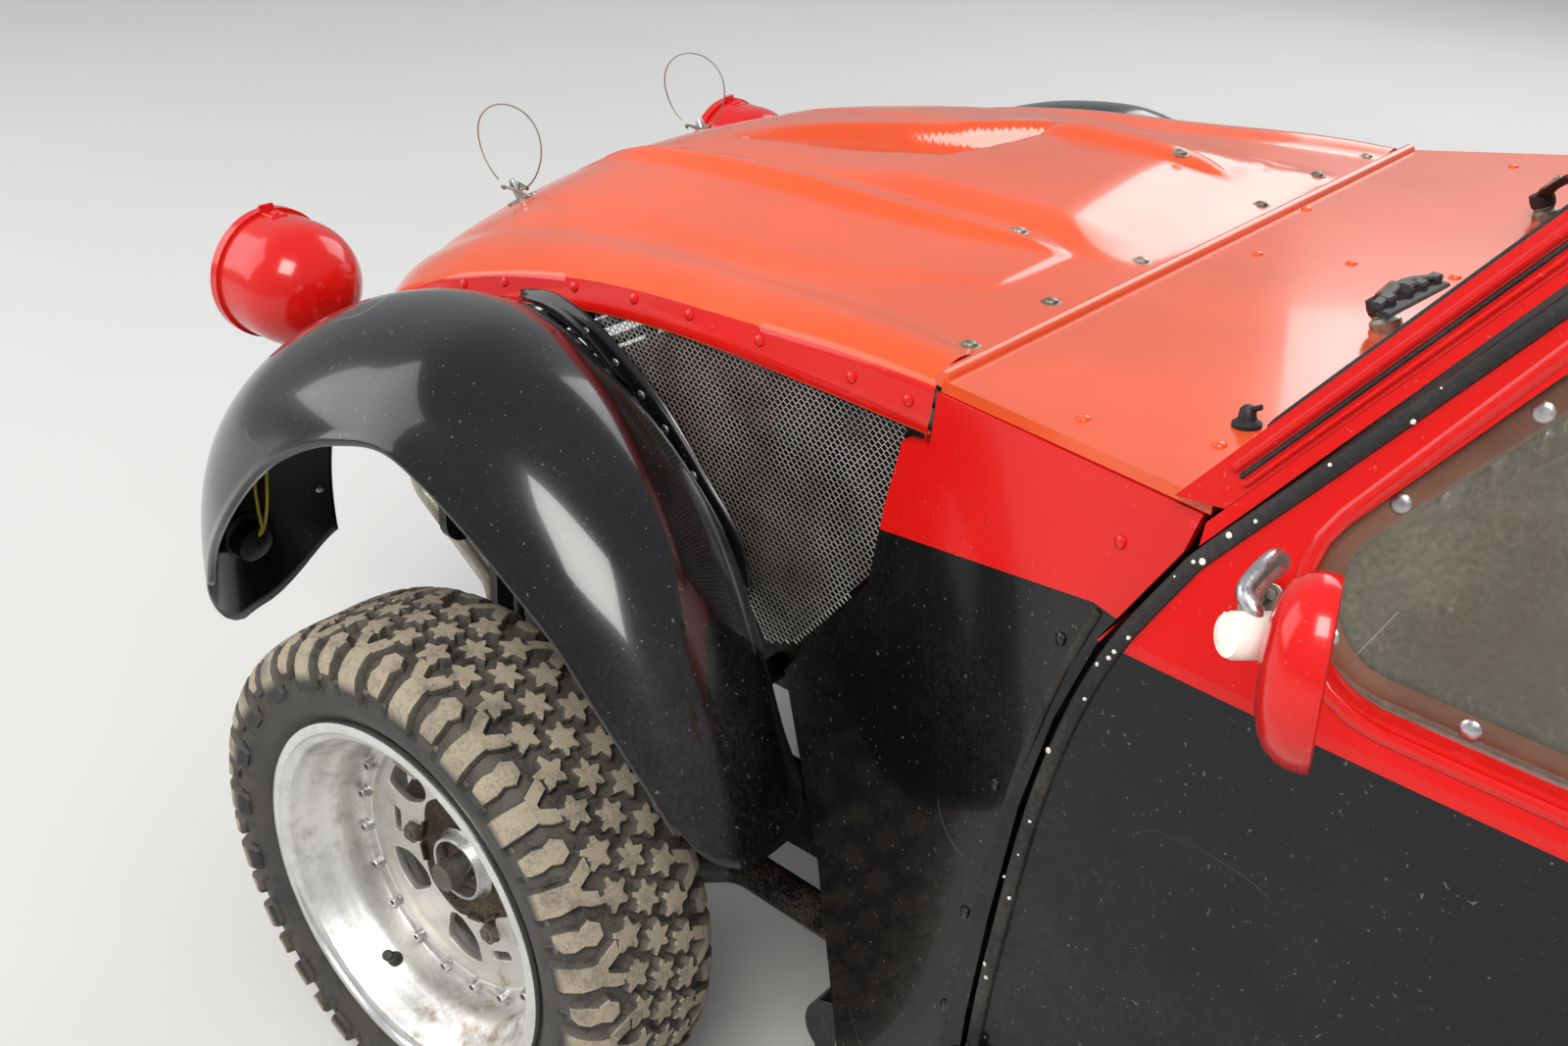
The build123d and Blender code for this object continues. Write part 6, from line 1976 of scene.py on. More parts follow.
class TrimPanels(CarOperator, bpy.types.Operator):
    """Adds the pillar ridges, panel rivets, scuttle screws, washer nozzle and window gaskets"""

    bl_idname = "rally.panel_trim"
    bl_label = "Panel trim"

    def build(self, scene):
        sizes = scene.rally_panels
        scuttle = Shape()
        for dx, y in SCUTTLE_SCREWS:
            place, facing = lie_on("scuttle_top", mm(dx, y, 1100), (0, 0, -1))
            scuttle.stud(place, facing, sizes.screw * 0.9, 0.003, 18)
        # Screw heads in the orange copy of the red, painted sunlight as on the scuttle top
        add_piece("scuttle_screws", scuttle, "sunlit_red_paint")
        nozzle = Shape()
        place, facing = lie_on("scuttle_top", mm(NOZZLE[0] + 24, NOZZLE[1], 1100), (0, 0, -1))
        nozzle.lathe(
            [
                (0.011, -0.001), (0.011, 0.003), (0.007, 0.006), (0.006, 0.013), (0.0035, 0.016),
                (0.0004, 0.0165)
            ],
            place, facing, 24
        )
        nozzle.tube([place + facing * 0.012, place + facing * 0.016 + Vector((-0.010, 0, 0.002))], 0.0022, 10)
        add_piece("washer_nozzle", nozzle, "black_plastic")
        for word, side in SIDES:
            self.side_rivets(word, side, sizes)
            self.pillar(word, side)
            self.quarter(word, side, sizes)
        self.screen_gasket()

    def side_rivets(self, word, side, sizes):
        """Rivets down the side panel's rear edge, painted with the colour round them."""
        red, dark, edge = Shape(), Shape(), []
        for dx, z in PANEL_RIVETS:
            place, facing = lie_on("scuttle_sides", mm(dx, side * 1000, z), (0, -side, 0))
            (red if z > 870 else dark).stud(place, facing, sizes.rivet, 0.003, 18)
        add_piece(f"panel_rivets_red_{word}", red, "red_paint")
        add_piece(f"panel_rivets_black_{word}", dark, "black_paint")
        for x, z in smooth_line(DOOR_EDGE[:6], 34):
            if z > 372:
                edge.append((x + 27, z))
        bead = Shape().tube(sideways("scuttle_sides", edge, side, 0.0004), 0.0042, 8, 0.7)
        add_piece(f"panel_bead_{word}", bead, "black_rubber")

    def pillar(self, word, side):
        """Two pressed ridges and a black gasket line along a screen pillar."""
        for name, depth, radius, finish in (
            ("ridge_outer", 9, 0.0042, "red_paint"), ("gasket", 15.5, 0.0024, "black_rubber"),
            ("ridge_inner", 21, 0.0034, "red_paint")
        ):
            line = []
            for z in spread(1022, 1256, 14):
                x = screen_x(z) - 0.793 * depth
                place, facing = lie_on(
                    "windscreen_frame", mm(x, side * 1000, z - 0.609 * depth), (0, -side, 0)
                )
                line.append(place + facing * 0.0002)
            add_piece(f"pillar_{name}_{word}", Shape().tube(line, radius, 8, 0.8), finish)

    def quarter(self, word, side, sizes):
        """Rubber gasket and screws round a quarter window."""
        body = f"body_side_{word}"
        line = sideways(body, outline_round(QUARTER, 40, 12, 20), side, 0.0)
        add_piece(f"quarter_gasket_{word}", closed_bead(Shape(), line, 0.006, 8, 0.6), "black_rubber")
        screws = Shape()
        for i, (x, z) in enumerate(outline_round(QUARTER, 40, 28, 20)):
            if i % 6 == 2:
                place, facing = lie_on(body, mm(x, side * 1000, z), (0, -side, 0))
                screws.stud(place, facing, sizes.screw, 0.0028, 16)
        add_piece(f"quarter_screws_{word}", screws, "bright_alloy")

    def screen_gasket(self):
        """Rubber gasket round the windscreen."""
        corners = [(-550, 1022), (550, 1022), (472, 1278), (-472, 1278)]
        line = []
        for point in outline_round(corners, 30, 13, 26):
            y, z = point
            line.append(mm(screen_x(z), y, z))
        add_piece("screen_gasket", self.loop(line), "black_rubber")

    def loop(self, path):
        made = Shape()
        rings = []
        for i, point in enumerate(path):
            ahead = (path[(i + 1) % len(path)] - path[i - 1]).normalized()
            across = SCREEN_OUT.cross(ahead).normalized()
            turn = [2 * math.pi * k / 8 for k in range(8)]
            rings.append(
                made.ring(
                    point + across * 0.007 * math.cos(a) + SCREEN_OUT * 0.003 * math.sin(a) for a in turn
                )
            )
        rings.append(rings[0])
        return made.skin(rings)


# (share of the outline, place in metres along the car) over the glass, from its rim to its middle
MIRROR_GLASS = ((0.83, -0.0135), (0.825, -0.0138), (0.4, -0.0138), (0.02, -0.0138))
# (x, z) round the plate that carries a mirror's rod, in mm
MIRROR_PLATE = ((-11, -26), (11, -26), (13, -23), (13, 20), (10, 23), (-10, 23), (-13, 20), (-13, -23))
# Middle of a mirror and place of its foot on the door, in mm from the front axle
MIRROR_AT = (-841, 792, 1000)
MIRROR_FOOT = (-764, 938)
# (share of the outline, share of the depth) over the shell, from the glass to the nose
MIRROR_ROWS = (
    (0.84, -0.62), (0.86, -0.74), (0.93, -0.86), (0.985, -0.84), (1.0, -0.66), (0.995, -0.3), (0.95, 0.1),
    (0.86, 0.44), (0.72, 0.70), (0.5, 0.88), (0.26, 0.97), (0.04, 1.0),
)


# (x, z) of the screws in a mirror's plate, in mm
PLATE_BOLTS = ((-6, -19), (6, -19), (-7, 17), (7, 17))


class BuildMirrors(CarOperator, bpy.types.Operator):
    """Builds the almond mirror shells with their glass, joint, bent rod and foot"""

    bl_idname = "rally.mirrors"
    bl_label = "Door mirrors"

    def build(self, scene):
        for word, side in SIDES:
            door, node = f"door_{word}", f"mirror_{word}"
            centre = mm(MIRROR_AT[0], side * MIRROR_AT[1], MIRROR_AT[2])
            ahead = Vector((0.956, side * 0.29, 0)).normalized()
            across = Vector((-ahead.y, ahead.x, 0))
            shell = Shape()
            rings = []
            for share, reach in MIRROR_ROWS:
                rings.append(shell.ring(self.edge(centre, ahead, across, share, reach * 0.019)))
            shell.skin(rings, caps=True)
            add_piece(node + "_shell", shell, "red_paint", door, (node,))
            glass_face = Shape()
            plate = [glass_face.ring(self.edge(centre, ahead, across, s, h)) for s, h in MIRROR_GLASS]
            glass_face.skin(plate)
            add_piece(node + "_glass", glass_face, "mirror_glass", door, closed=False)
            foot, _ = lie_on(door, mm(MIRROR_FOOT[0], side * 1000, MIRROR_FOOT[1]), (0, -side, 0))
            hub = centre + Vector((0.030, -side * 0.012, 0.004))
            joint = Shape()
            joint.lathe(
                [
                    (0.004, -0.020), (0.0125, -0.019), (0.0135, -0.015), (0.0135, 0.013), (0.0120, 0.017),
                    (0.004, 0.018)
                ],
                hub, (0.55, side * 0.75, 0.1), 28, caps=True
            )
            joint.lathe(
                [(0.009, -0.022), (0.010, 0.0), (0.007, 0.012)], hub - ahead * 0.004, -ahead, 20, caps=True
            )
            add_piece(node + "_joint", joint, "sealant_white", door)
            rod = Shape()
            line = [
                hub, hub + Vector((0.003, -side * 0.001, 0.014)), mm(-799, side * 774, 1025),
                mm(-800, side * 757, 1033)
            ]
            line += [
                mm(-799, side * 735, 1030), mm(-788, side * 692, 1002),
                foot + Vector((-0.004, side * 0.022, 0.030))
            ]
            line += [foot + Vector((0, side * 0.010, 0.012)), foot + Vector((0, side * 0.008, -0.010))]
            rod.tube(smooth_path(line, 6), 0.0052, 14)
            add_piece(node + "_rod", rod, "bright_alloy", door)
            plate = Shape()
            outline = [foot + Vector((x, 0, z)) / 1000 for x, z in MIRROR_PLATE]
            plate.slab(outline, Vector((0, side * 0.003, 0)), 0.0008)
            plate.box(foot + Vector((0, side * 0.008, 0.006)), (0.018, 0.014, 0.010))
            for x, z in PLATE_BOLTS:
                plate.bolt(foot + Vector((x, side * 3, z)) / 1000, (0, side, 0), 0.004, 0.003)
            add_piece(node + "_foot", plate, "zinc_steel", door)

    def edge(self, centre, ahead, across, share, reach):
        """One loop round the shell: round at the top, drawn in to a point below."""
        points = []
        for k in range(48):
            turn = 2 * math.pi * k / 48
            up = math.sin(turn)
            wide = math.copysign(abs(math.cos(turn)) ** (0.92 if up > 0 else 1.35), math.cos(turn))
            high = 0.059 * up * share
            points.append(
                centre + across * 0.041 * wide * share + Vector((0, 0, high)) + ahead * (reach + 0.06 * high)
            )
        return points


def smooth_path(points, steps):
    """Points on a smooth line through others."""
    rows = [(i, *point) for i, point in enumerate(points)]
    return [
        Vector(curve_value(rows, t, k) for k in (1, 2, 3))
        for t in spread(0, len(points) - 1, (len(points) - 1) * steps + 1)
    ]


# Places of the wipers' pivots across the car, in mm
WIPER_PIVOTS = (205, -240)
# Shares of a blade's length that carry clips
BLADE_CLIPS = (0.12, 0.38, 0.62, 0.88)


class BuildWipers(CarOperator, bpy.types.Operator):
    """Builds the wipers: pivots with nuts, sprung arms, yokes and rubber blades"""

    bl_idname = "rally.wipers"
    bl_label = "Wipers"

    def build(self, scene):
        arms, nuts, blades = Shape(), Shape(), Shape()
        for y in WIPER_PIVOTS:
            pivot = mm(-668, y, 990)
            lean = Vector((0.45, 0, 0.9)).normalized()
            nuts.lathe(
                [(0.0135, -0.012), (0.0135, 0.001), (0.0105, 0.004), (0.0085, 0.006)], pivot, lean, 24,
                caps=True
            )
            nuts.bolt(pivot + lean * 0.006, lean, 0.0075, 0.006)
            elbow, tip = mm(-700, y + 70, 1051), mm(-724, y + 165, 1078)
            hub = pivot + lean * 0.014
            arms.lathe(
                [(0.0120, -0.006), (0.0128, 0.0), (0.0120, 0.007), (0.006, 0.009)], hub, lean, 24, caps=True
            )
            arms.tube(
                smooth_path([hub, hub.lerp(elbow, 0.35) + Vector((0.004, 0, 0.003)), elbow, tip], 6),
                [0.0085 - 0.0002 * i for i in range(19)], 8, 0.45
            )
            coil = [
                hub.lerp(elbow, 0.3 + 0.5 * t / 90) + Vector(
                    (0.009 + 0.0026 * math.cos(t * 0.9), 0.0026 * math.sin(t * 0.9), 0.002)
                )
                for t in range(91)
            ]
            nuts.tube(coil, 0.0007, 5)
            left, right = mm(-690, y - 40, 1026), mm(-744, y + 285, 1100)
            spine = smooth_path([left, left.lerp(right, 0.5) + Vector((0.006, 0, 0.004)), right], 8)
            arms.tube(spine, 0.0042, 8, 0.6)
            for share in BLADE_CLIPS:
                arms.box(left.lerp(right, share) + Vector((-0.001, 0, 0)), (0.010, 0.014, 0.010))
            into = SCREEN_OUT * -0.008
            blades.tube([left.lerp(right, t) + into for t in spread(0, 1, 12)], 0.0052, 8, 0.5)
        add_piece("wiper_arms", arms, "black_plastic", "chassis", ("wipers",))
        add_piece("wiper_fittings", nuts, "zinc_steel")
        add_piece("wiper_blades", blades, "black_rubber")


# Middle of the left headlamp: mm ahead of the front axle, left and up
HEADLAMP = (558, 430, 742)


class TrimLamps(CarOperator, bpy.types.Operator):
    """Adds the headlamps' rims, tabs, screws, stem nuts and wires"""

    bl_idname = "rally.lamp_trim"
    bl_label = "Lamp trim"

    def build(self, scene):
        rims, tabs, nuts, wires = Shape(), Shape(), Shape(), Shape()
        ahead = Vector((1, 0, 0))
        for side in (1, -1):
            at = mm(HEADLAMP[0], side * HEADLAMP[1], HEADLAMP[2])
            rims.lathe(
                [
                    (0.0772, 0.050), (0.0785, 0.054), (0.0780, 0.0595), (0.0740, 0.0625), (0.0705, 0.0615),
                    (0.0700, 0.0570)
                ],
                at, ahead, 64, closed=True
            )
            top = at + Vector((0.038, 0, 0.0775))
            tabs.box(top, (0.030, 0.022, 0.004))
            tabs.box(top + Vector((0.013, 0, 0.004)), (0.004, 0.020, 0.011))
            tabs.stud(top + Vector((-0.006, 0, 0.002)), (0, 0, 1), 0.0052, 0.004)
            foot = at + Vector((-0.004, 0, -0.084))
            nuts.bolt(foot, (0, 0, -1), 0.011, 0.010)
            nuts.bolt(at + Vector((-0.012, 0, -0.100)), (0, 0, -1), 0.009, 0.007)
            wire = [
                at + Vector((-0.060, -side * 0.018, -0.046)), at + Vector((-0.074, -side * 0.020, -0.070)),
                at + Vector((-0.052, -side * 0.020, -0.100)), at + Vector((-0.030, -side * 0.030, -0.116))
            ]
            wires.tube(smooth_path(wire, 6), 0.0028, 8)
        add_piece("lamp_rims", rims, "black_rubber")
        add_piece("lamp_tabs", tabs, "red_paint")
        add_piece("lamp_nuts", nuts, "zinc_steel")
        add_piece("lamp_wires", wires, "black_rubber")


# Cabin

# Distance of a seat's middle from the car's, in mm
SEAT_Y = 290
# (x, z) up the middle of a seat's front face: cushion nose, cushion, hip, back and top
SEAT_LINE = (
    (-1165, 405), (-1185, 425), (-1300, 432), (-1440, 420), (-1560, 420), (-1612, 470), (-1645, 600),
    (-1672, 760), (-1696, 900), (-1708, 985)
)


def seat_place(t):
    """Point and outward direction (x, z) on the seat's front face at a share of its line."""
    rows = [(i, *row) for i, row in enumerate(SEAT_LINE)]
    last = len(rows) - 1
    x, z = (curve_value(rows, t * last, k) for k in (1, 2))
    ahead = Vector(
        [
            curve_value(rows, min(t * last + 0.02, last), k) - curve_value(rows, max(t * last - 0.02, 0), k)
            for k in (1, 2)
        ]
    )
    ahead.normalize()
    return x, z, ahead.y, -ahead.x


def pad(low, high, half, thick):
    """Closed crowned pad along the seat line, sides drawn in, a little thinner at its ends."""
    made = Shape()
    rings = []
    for t in spread(low, high, 22):
        share = (t - low) / (high - low)
        x, z, nx, nz = seat_place(t)
        full = max(0.10, math.sin(math.pi * min(max(share, 0.02), 0.98)) ** 0.36)
        width = half * (1 - 0.06 * (1 - full))
        ring = []
        for k in range(28):
            turn = 2 * math.pi * k / 28
            c, s = math.cos(turn), math.sin(turn)
            across = math.copysign(abs(c) ** 0.45, c) * width
            rise = math.copysign(abs(s) ** 0.62, s)
            height = (thick * full * rise) if rise > 0 else thick * 0.35 * full * rise
            ring.append(mm(x + nx * height, across, z + nz * height))
        rings.append(made.ring(ring))
    return made.skin(rings, caps=True)


def puffed(piece, cap):
    """Blows a pad up as cloth, limits how far it moves, and leaves a plain smooth mesh."""
    remesh = piece.modifiers.new("voxels", "REMESH")
    remesh.mode = "VOXEL"
    remesh.voxel_size = 0.0065
    apply_all(piece)
    rest = [v.co.copy() for v in piece.data.vertices]
    soft = piece.modifiers.new("soft", "CLOTH")
    soft.settings.use_pressure = True
    soft.settings.uniform_pressure_force = 3.0
    soft.settings.quality = 4
    soft.settings.effector_weights.gravity = 0
    soft.collision_settings.use_collision = False
    scene = bpy.context.scene
    for step in range(1, 17):
        scene.frame_set(step)
    apply_all(piece)
    scene.frame_set(1)
    for vertex, start in zip(piece.data.vertices, rest):
        moved = vertex.co - start
        if moved.length > cap:
            vertex.co = start + moved * (cap / moved.length)
    even_out(piece.data, 3)


def even_out(mesh, rounds):
    """Relaxes a mesh's points."""
    work = bmesh.new()
    work.from_mesh(mesh)
    for _ in range(rounds):
        bmesh.ops.smooth_vert(
            work, verts=work.verts, factor=0.5, use_axis_x=True, use_axis_y=True, use_axis_z=True
        )
    work.to_mesh(mesh)
    work.free()


def apply_all(piece):
    """Turns a piece's modified form into its own mesh."""
    ready = bpy.data.meshes.new_from_object(piece.evaluated_get(bpy.context.evaluated_depsgraph_get()))
    piece.modifiers.clear()
    piece.data = ready


# (name, start and end along the seat, half width and thickness in mm) of the soft pads
PADS = (("cushion", 0.0, 0.44, 172, 30), ("back", 0.50, 1.0, 165, 26))
# (start, end, radius in mm) of the bolsters along a seat
BOLSTER_RUNS = ((0.04, 0.43, 21), (0.5, 0.95, 22))
# (start, end) of the piping along a seat
PIPING_RUNS = ((0.03, 0.42), (0.52, 0.97))
# Places of the shoulder straps across a seat, in mm
STRAPS = (-62, 62)


class BuildSeats(CarOperator, bpy.types.Operator):
    """Builds both seats: moulded shells, padded cushions, backs and bolsters, piping and belts"""

    bl_idname = "rally.seats"
    bl_label = "Seats"

    def build(self, scene):
        pads = {}
        for name, low, high, half, thick in PADS:
            piece = add_piece(
                f"seat_{name}_left", pad(low, high, half, thick), "seat_cloth", "chassis", (), 0
            )
            puffed(piece, 0.008)
            self.channels(piece, name)
            piece.data.shade_smooth()
            pads[name] = piece
        for name, piece in pads.items():
            twin = bpy.data.objects.new(f"seat_{name}_right", piece.data)
            scene.collection.objects.link(twin)
            for one, y in ((piece, SEAT_Y / 1000), (twin, -SEAT_Y / 1000)):
                one.location.y = y
                if one is twin:
                    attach(one, "chassis")
        for word, side in SIDES:
            shell = self.shell(side)
            add_piece(f"seat_shell_{word}", shell, "black_plastic", "chassis", ("seats",))
            add_piece(f"seat_bolsters_{word}", self.bolsters(side), "seat_cloth")
            add_piece(f"seat_piping_{word}", self.piping(side), "belt_webbing")
            add_piece(f"seat_belts_{word}", self.belts(side), "belt_webbing")
            add_piece(f"seat_buckles_{word}", self.buckles(side), "zinc_steel")

    def channels(self, piece, name):
        """Presses sewn lines across a pad."""
        axis = 0 if name == "cushion" else 2
        for vertex in piece.data.vertices:
            place = vertex.co
            along = (place.x - AXLE_F) * 1000 if axis == 0 else place.z * 1000
            lines = (-1290, -1390, -1490) if axis == 0 else (620, 720, 820, 920)
            gap = min(abs(along - line) for line in lines)
            edge = abs(abs(place.y) * 1000 - 118)
            dip = 0.0042 * math.exp(-((gap / 7) ** 2)) * (
                1 if abs(place.y) < 0.118 else 0
            ) + 0.0042 * math.exp(-((edge / 7) ** 2))
            vertex.co -= vertex.normal * dip

    def cross(self, side, t, rows):
        """Points across the seat at a share of its line: rows of (across, along the outward side)."""
        x, z, nx, nz = seat_place(t)
        return [mm(x + nx * h, side * SEAT_Y + w, z + nz * h) for w, h in rows]

    def shell(self, side):
        """Moulded bucket with rolled edges, lying under the pads."""
        made = Shape()
        rings = []
        for t in spread(0.0, 1.0, 40):
            wing = 20 + 42 * ease(t, 0.04, 0.3) - 26 * ease(t, 0.86, 1.0)
            half = 218 - 26 * ease(t, 0.7, 1.0)
            outer = [
                (-half, wing), (-half + 6, wing + 5), (-half + 14, wing), (-half + 24, 4), (-half + 42, -16),
                (0, -20)
            ]
            outer += [(-w, h) for w, h in reversed(outer[:-1])]
            inner = [(w * 0.985 if abs(w) > 100 else w, h - 8) for w, h in reversed(outer[1:-1])]
            rings.append(made.ring(self.cross(side, t, outer + inner)))
        return made.skin(rings, caps=True)

    def bolsters(self, side):
        """Round side rolls of the cushion and the back."""
        made = Shape()
        for w in (-186, 186):
            for low, high, r in BOLSTER_RUNS:
                path = []
                radii = []
                for t in spread(low, high, 26):
                    share = (t - low) / (high - low)
                    path += self.cross(side, t, [(w * (1 - 0.05 * ease(t, 0.7, 1.0)), 14)])
                    radii.append(
                        r / 1000 * max(
                            0.15, math.sin(math.pi * min(max(share, 0.015), 0.985)) ** 0.3
                        ) * (1 + 0.02 * math.sin(t * 90))
                    )
                made.tube(path, radii, 18, 0.95)
        return made

    def piping(self, side):
        made = Shape()
        for w in (-168, 168):
            for low, high in PIPING_RUNS:
                made.tube([self.cross(side, t, [(w, 13)])[0] for t in spread(low, high, 40)], 0.0034, 8)
        return made

    def ribbon(self, made, path, width, across):
        """Flat strap along a path."""
        rings = []
        across = Vector(across).normalized()
        for i, point in enumerate(path):
            ahead = (path[min(i + 1, len(path) - 1)] - path[max(i - 1, 0)]).normalized()
            out = across.cross(ahead).normalized()
            ring = [
                (-1, -0.4), (-0.96, -1), (0.96, -1), (1, -0.4), (1, 0.4), (0.96, 1), (-0.96, 1), (-1, 0.4)
            ]
            rings.append(made.ring(point + across * u * width / 2 + out * v * 0.0011 for u, v in ring))
        made.skin(rings, caps=True)

    def belts(self, side):
        """Shoulder and lap straps lying on the pads."""
        made = Shape()
        for w in STRAPS:
            path = [
                self.cross(
                    side, t, [(w * (1 - 0.75 * (1 - ease(t, 0.36, 0.8))), 38 + 6 * math.sin(9 * t))]
                )[0]
                for t in spread(0.36, 1.0, 26)
            ]
            last = path[-1]
            path += [
                last + Vector((-0.022, 0, 0.012)), last + Vector((-0.05, 0, -0.005)),
                last + Vector((-0.062, 0, -0.06))
            ]
            self.ribbon(made, smooth_path(path, 2), 0.05, (0, 1, 0))
        for w in (-1, 1):
            path = []
            for a in spread(0, 1, 14):
                path.append(self.cross(side, 0.36 + 0.06 * a, [(w * (12 + 178 * a), 40 + 10 * a)])[0])
            self.ribbon(made, smooth_path(path, 2), 0.046, (1, 0, 0.1))
        return made

    def buckles(self, side):
        made = Shape()
        place = self.cross(side, 0.36, [(0, 43)])[0]
        made.lathe(
            [
                (0.028, -0.004), (0.029, 0.002), (0.026, 0.009), (0.018, 0.011), (0.016, 0.014),
                (0.0006, 0.014)
            ],
            place, (0.1, 0, 1), 36, caps=True
        )
        for w in STRAPS:
            spot = self.cross(side, 0.72, [(w * 0.98, 42)])[0]
            made.box(spot, (0.010, 0.056, 0.030))
        return made


# (place across, height, radius) of the gauges; (place across, width) of the pedals, in mm
GAUGES = ((350, 905, 50), (232, 905, 50), (130, 915, 30), (60, 915, 30), (-10, 915, 30))
PEDALS = ((355, 50), (290, 50), (225, 40))
# Middle of the steering wheel, in mm
STEERING_HUB = (-1000, 290, 830)


class FitCabin(CarOperator, bpy.types.Operator):
    """Adds gauges, switches, levers with their grips, pedals and steering wheel bolts"""

    bl_idname = "rally.cabin_fittings"
    bl_label = "Cabin fittings"

    def build(self, scene):
        bezels, faces, needles, knobs = Shape(), Shape(), Shape(), Shape()
        aft = Vector((-1, 0, 0))
        for y, z, r in GAUGES:
            at, _ = lie_on("dashboard", mm(-1000, y, z), (1, 0, 0))
            r /= 1000
            bezels.lathe(
                [(r * 0.86, 0.001), (r * 0.88, 0.008), (r * 0.96, 0.011), (r, 0.008), (r * 1.02, -0.001)], at,
                aft, 48
            )
            faces.lathe([(r * 0.87, 0.002), (r * 0.4, 0.002), (0.0005, 0.002)], at, aft, 48)
            for step in range(11):
                turn = math.radians(-220 + step * 26)
                out = Vector((0, -math.cos(turn), -math.sin(turn)))
                needles.tube(
                    [at + aft * 0.003 + out * r * 0.70, at + aft * 0.003 + out * r * 0.82], 0.0007, 5
                )
            needles.tube(
                [at + aft * 0.0035, at + aft * 0.0035 + Vector((0, 0.5, 0.7)) * r * 0.75], [0.0014, 0.0006], 6
            )
            needles.stud(at + aft * 0.003, aft, r * 0.09, 0.002)
        for i in range(6):
            at, _ = lie_on("dashboard", mm(-1000, -110 - i * 48, 925), (1, 0, 0))
            knobs.lathe([(0.009, -0.001), (0.009, 0.002), (0.005, 0.003), (0.0035, 0.006)], at, aft, 18)
            knobs.tube(
                [at + aft * 0.004, at + aft * 0.020 + Vector((0, 0, 0.006 * (1 if i % 2 else -1)))],
                [0.0022, 0.0032], 10
            )
        add_piece("gauge_bezels", bezels, "bright_alloy")
        add_piece("gauge_faces", faces, "dial_face", closed=False)
        add_piece("gauge_needles", needles, "black_plastic")
        add_piece("dash_switches", knobs, "bright_alloy")
        levers, grips, pads, shafts = Shape(), Shape(), Shape(), Shape()
        root, _ = lie_on("dashboard", mm(-1000, 20, 850), (1, 0, 0))
        tip = root + Vector((-0.16, 0, 0.02))
        levers.tube(smooth_path([root, root + Vector((-0.07, 0, -0.004)), tip], 6), 0.007, 12)
        grips.lathe(
            [
                (0.008, -0.006), (0.016, 0.002), (0.021, 0.014), (0.020, 0.026), (0.012, 0.034),
                (0.0006, 0.036)
            ],
            tip, (-1, 0, 0.15), 28, caps=True
        )
        levers.tube(smooth_path([mm(-1330, 0, 292), mm(-1290, 0, 340), mm(-1180, 0, 400)], 6), 0.011, 14, 0.7)
        grips.tube([mm(-1200, 0, 390), mm(-1100, 0, 438)], [0.015, 0.014], 18)
        for y, wide in PEDALS:
            at = mm(-690, y, 400)
            shafts.tube(
                smooth_path([at + Vector((0.01, 0, 0.17)), at + Vector((-0.01, 0, 0.09)), at], 6), 0.006, 10
            )
            tilt = Matrix.Rotation(math.radians(28), 3, "Y")
            pads.box(at + Vector((-0.008, 0, 0)), (0.008, wide / 1000, 0.066), tilt)
            for i in range(5):
                pads.box(
                    at + tilt @ Vector((-0.013, 0, -0.024 + i * 0.012)), (0.004, wide / 1100, 0.004), tilt
                )
        add_piece("lever_rods", levers, "dark_steel")
        add_piece("lever_grips", grips, "black_rubber")
        add_piece("pedal_arms", shafts, "dark_steel")
        add_piece("pedal_pads", pads, "alloy_sheet")
        hub, lean = mm(*STEERING_HUB), Vector((-0.9, 0, 0.436)).normalized()
        side, up = upright(lean)
        boss = Shape()
        boss.lathe(
            [(0.034, 0.004), (0.034, 0.012), (0.026, 0.018), (0.022, 0.021), (0.0006, 0.022)], hub, lean, 36,
            caps=True
        )
        for step in range(6):
            turn = math.pi * step / 3
            boss.stud(
                hub + lean * 0.012 + (side * math.cos(turn) + up * math.sin(turn)) * 0.030, lean, 0.0035,
                0.003, 12
            )
        add_piece("wheel_boss", boss, "bright_alloy")


# Tail

# (height, radius) of the rear lamps, in mm
REAR_LAMPS = ((600, 38), (510, 30))
# Starts of the lines that find the places of the plate and the fuel cap, in mm
PLATE_AT = (-1100, -150, 560)
FUEL_CAP_FROM = (-1880, -1000, 820)
# Places of the rivets across the boot lid, in metres
BOOT_RIVETS = (-0.36, -0.28, -0.2, 0.2, 0.28, 0.36)
# Places of the screws across the blank plate, in metres
PLATE_SCREWS = (-0.16, 0.16)


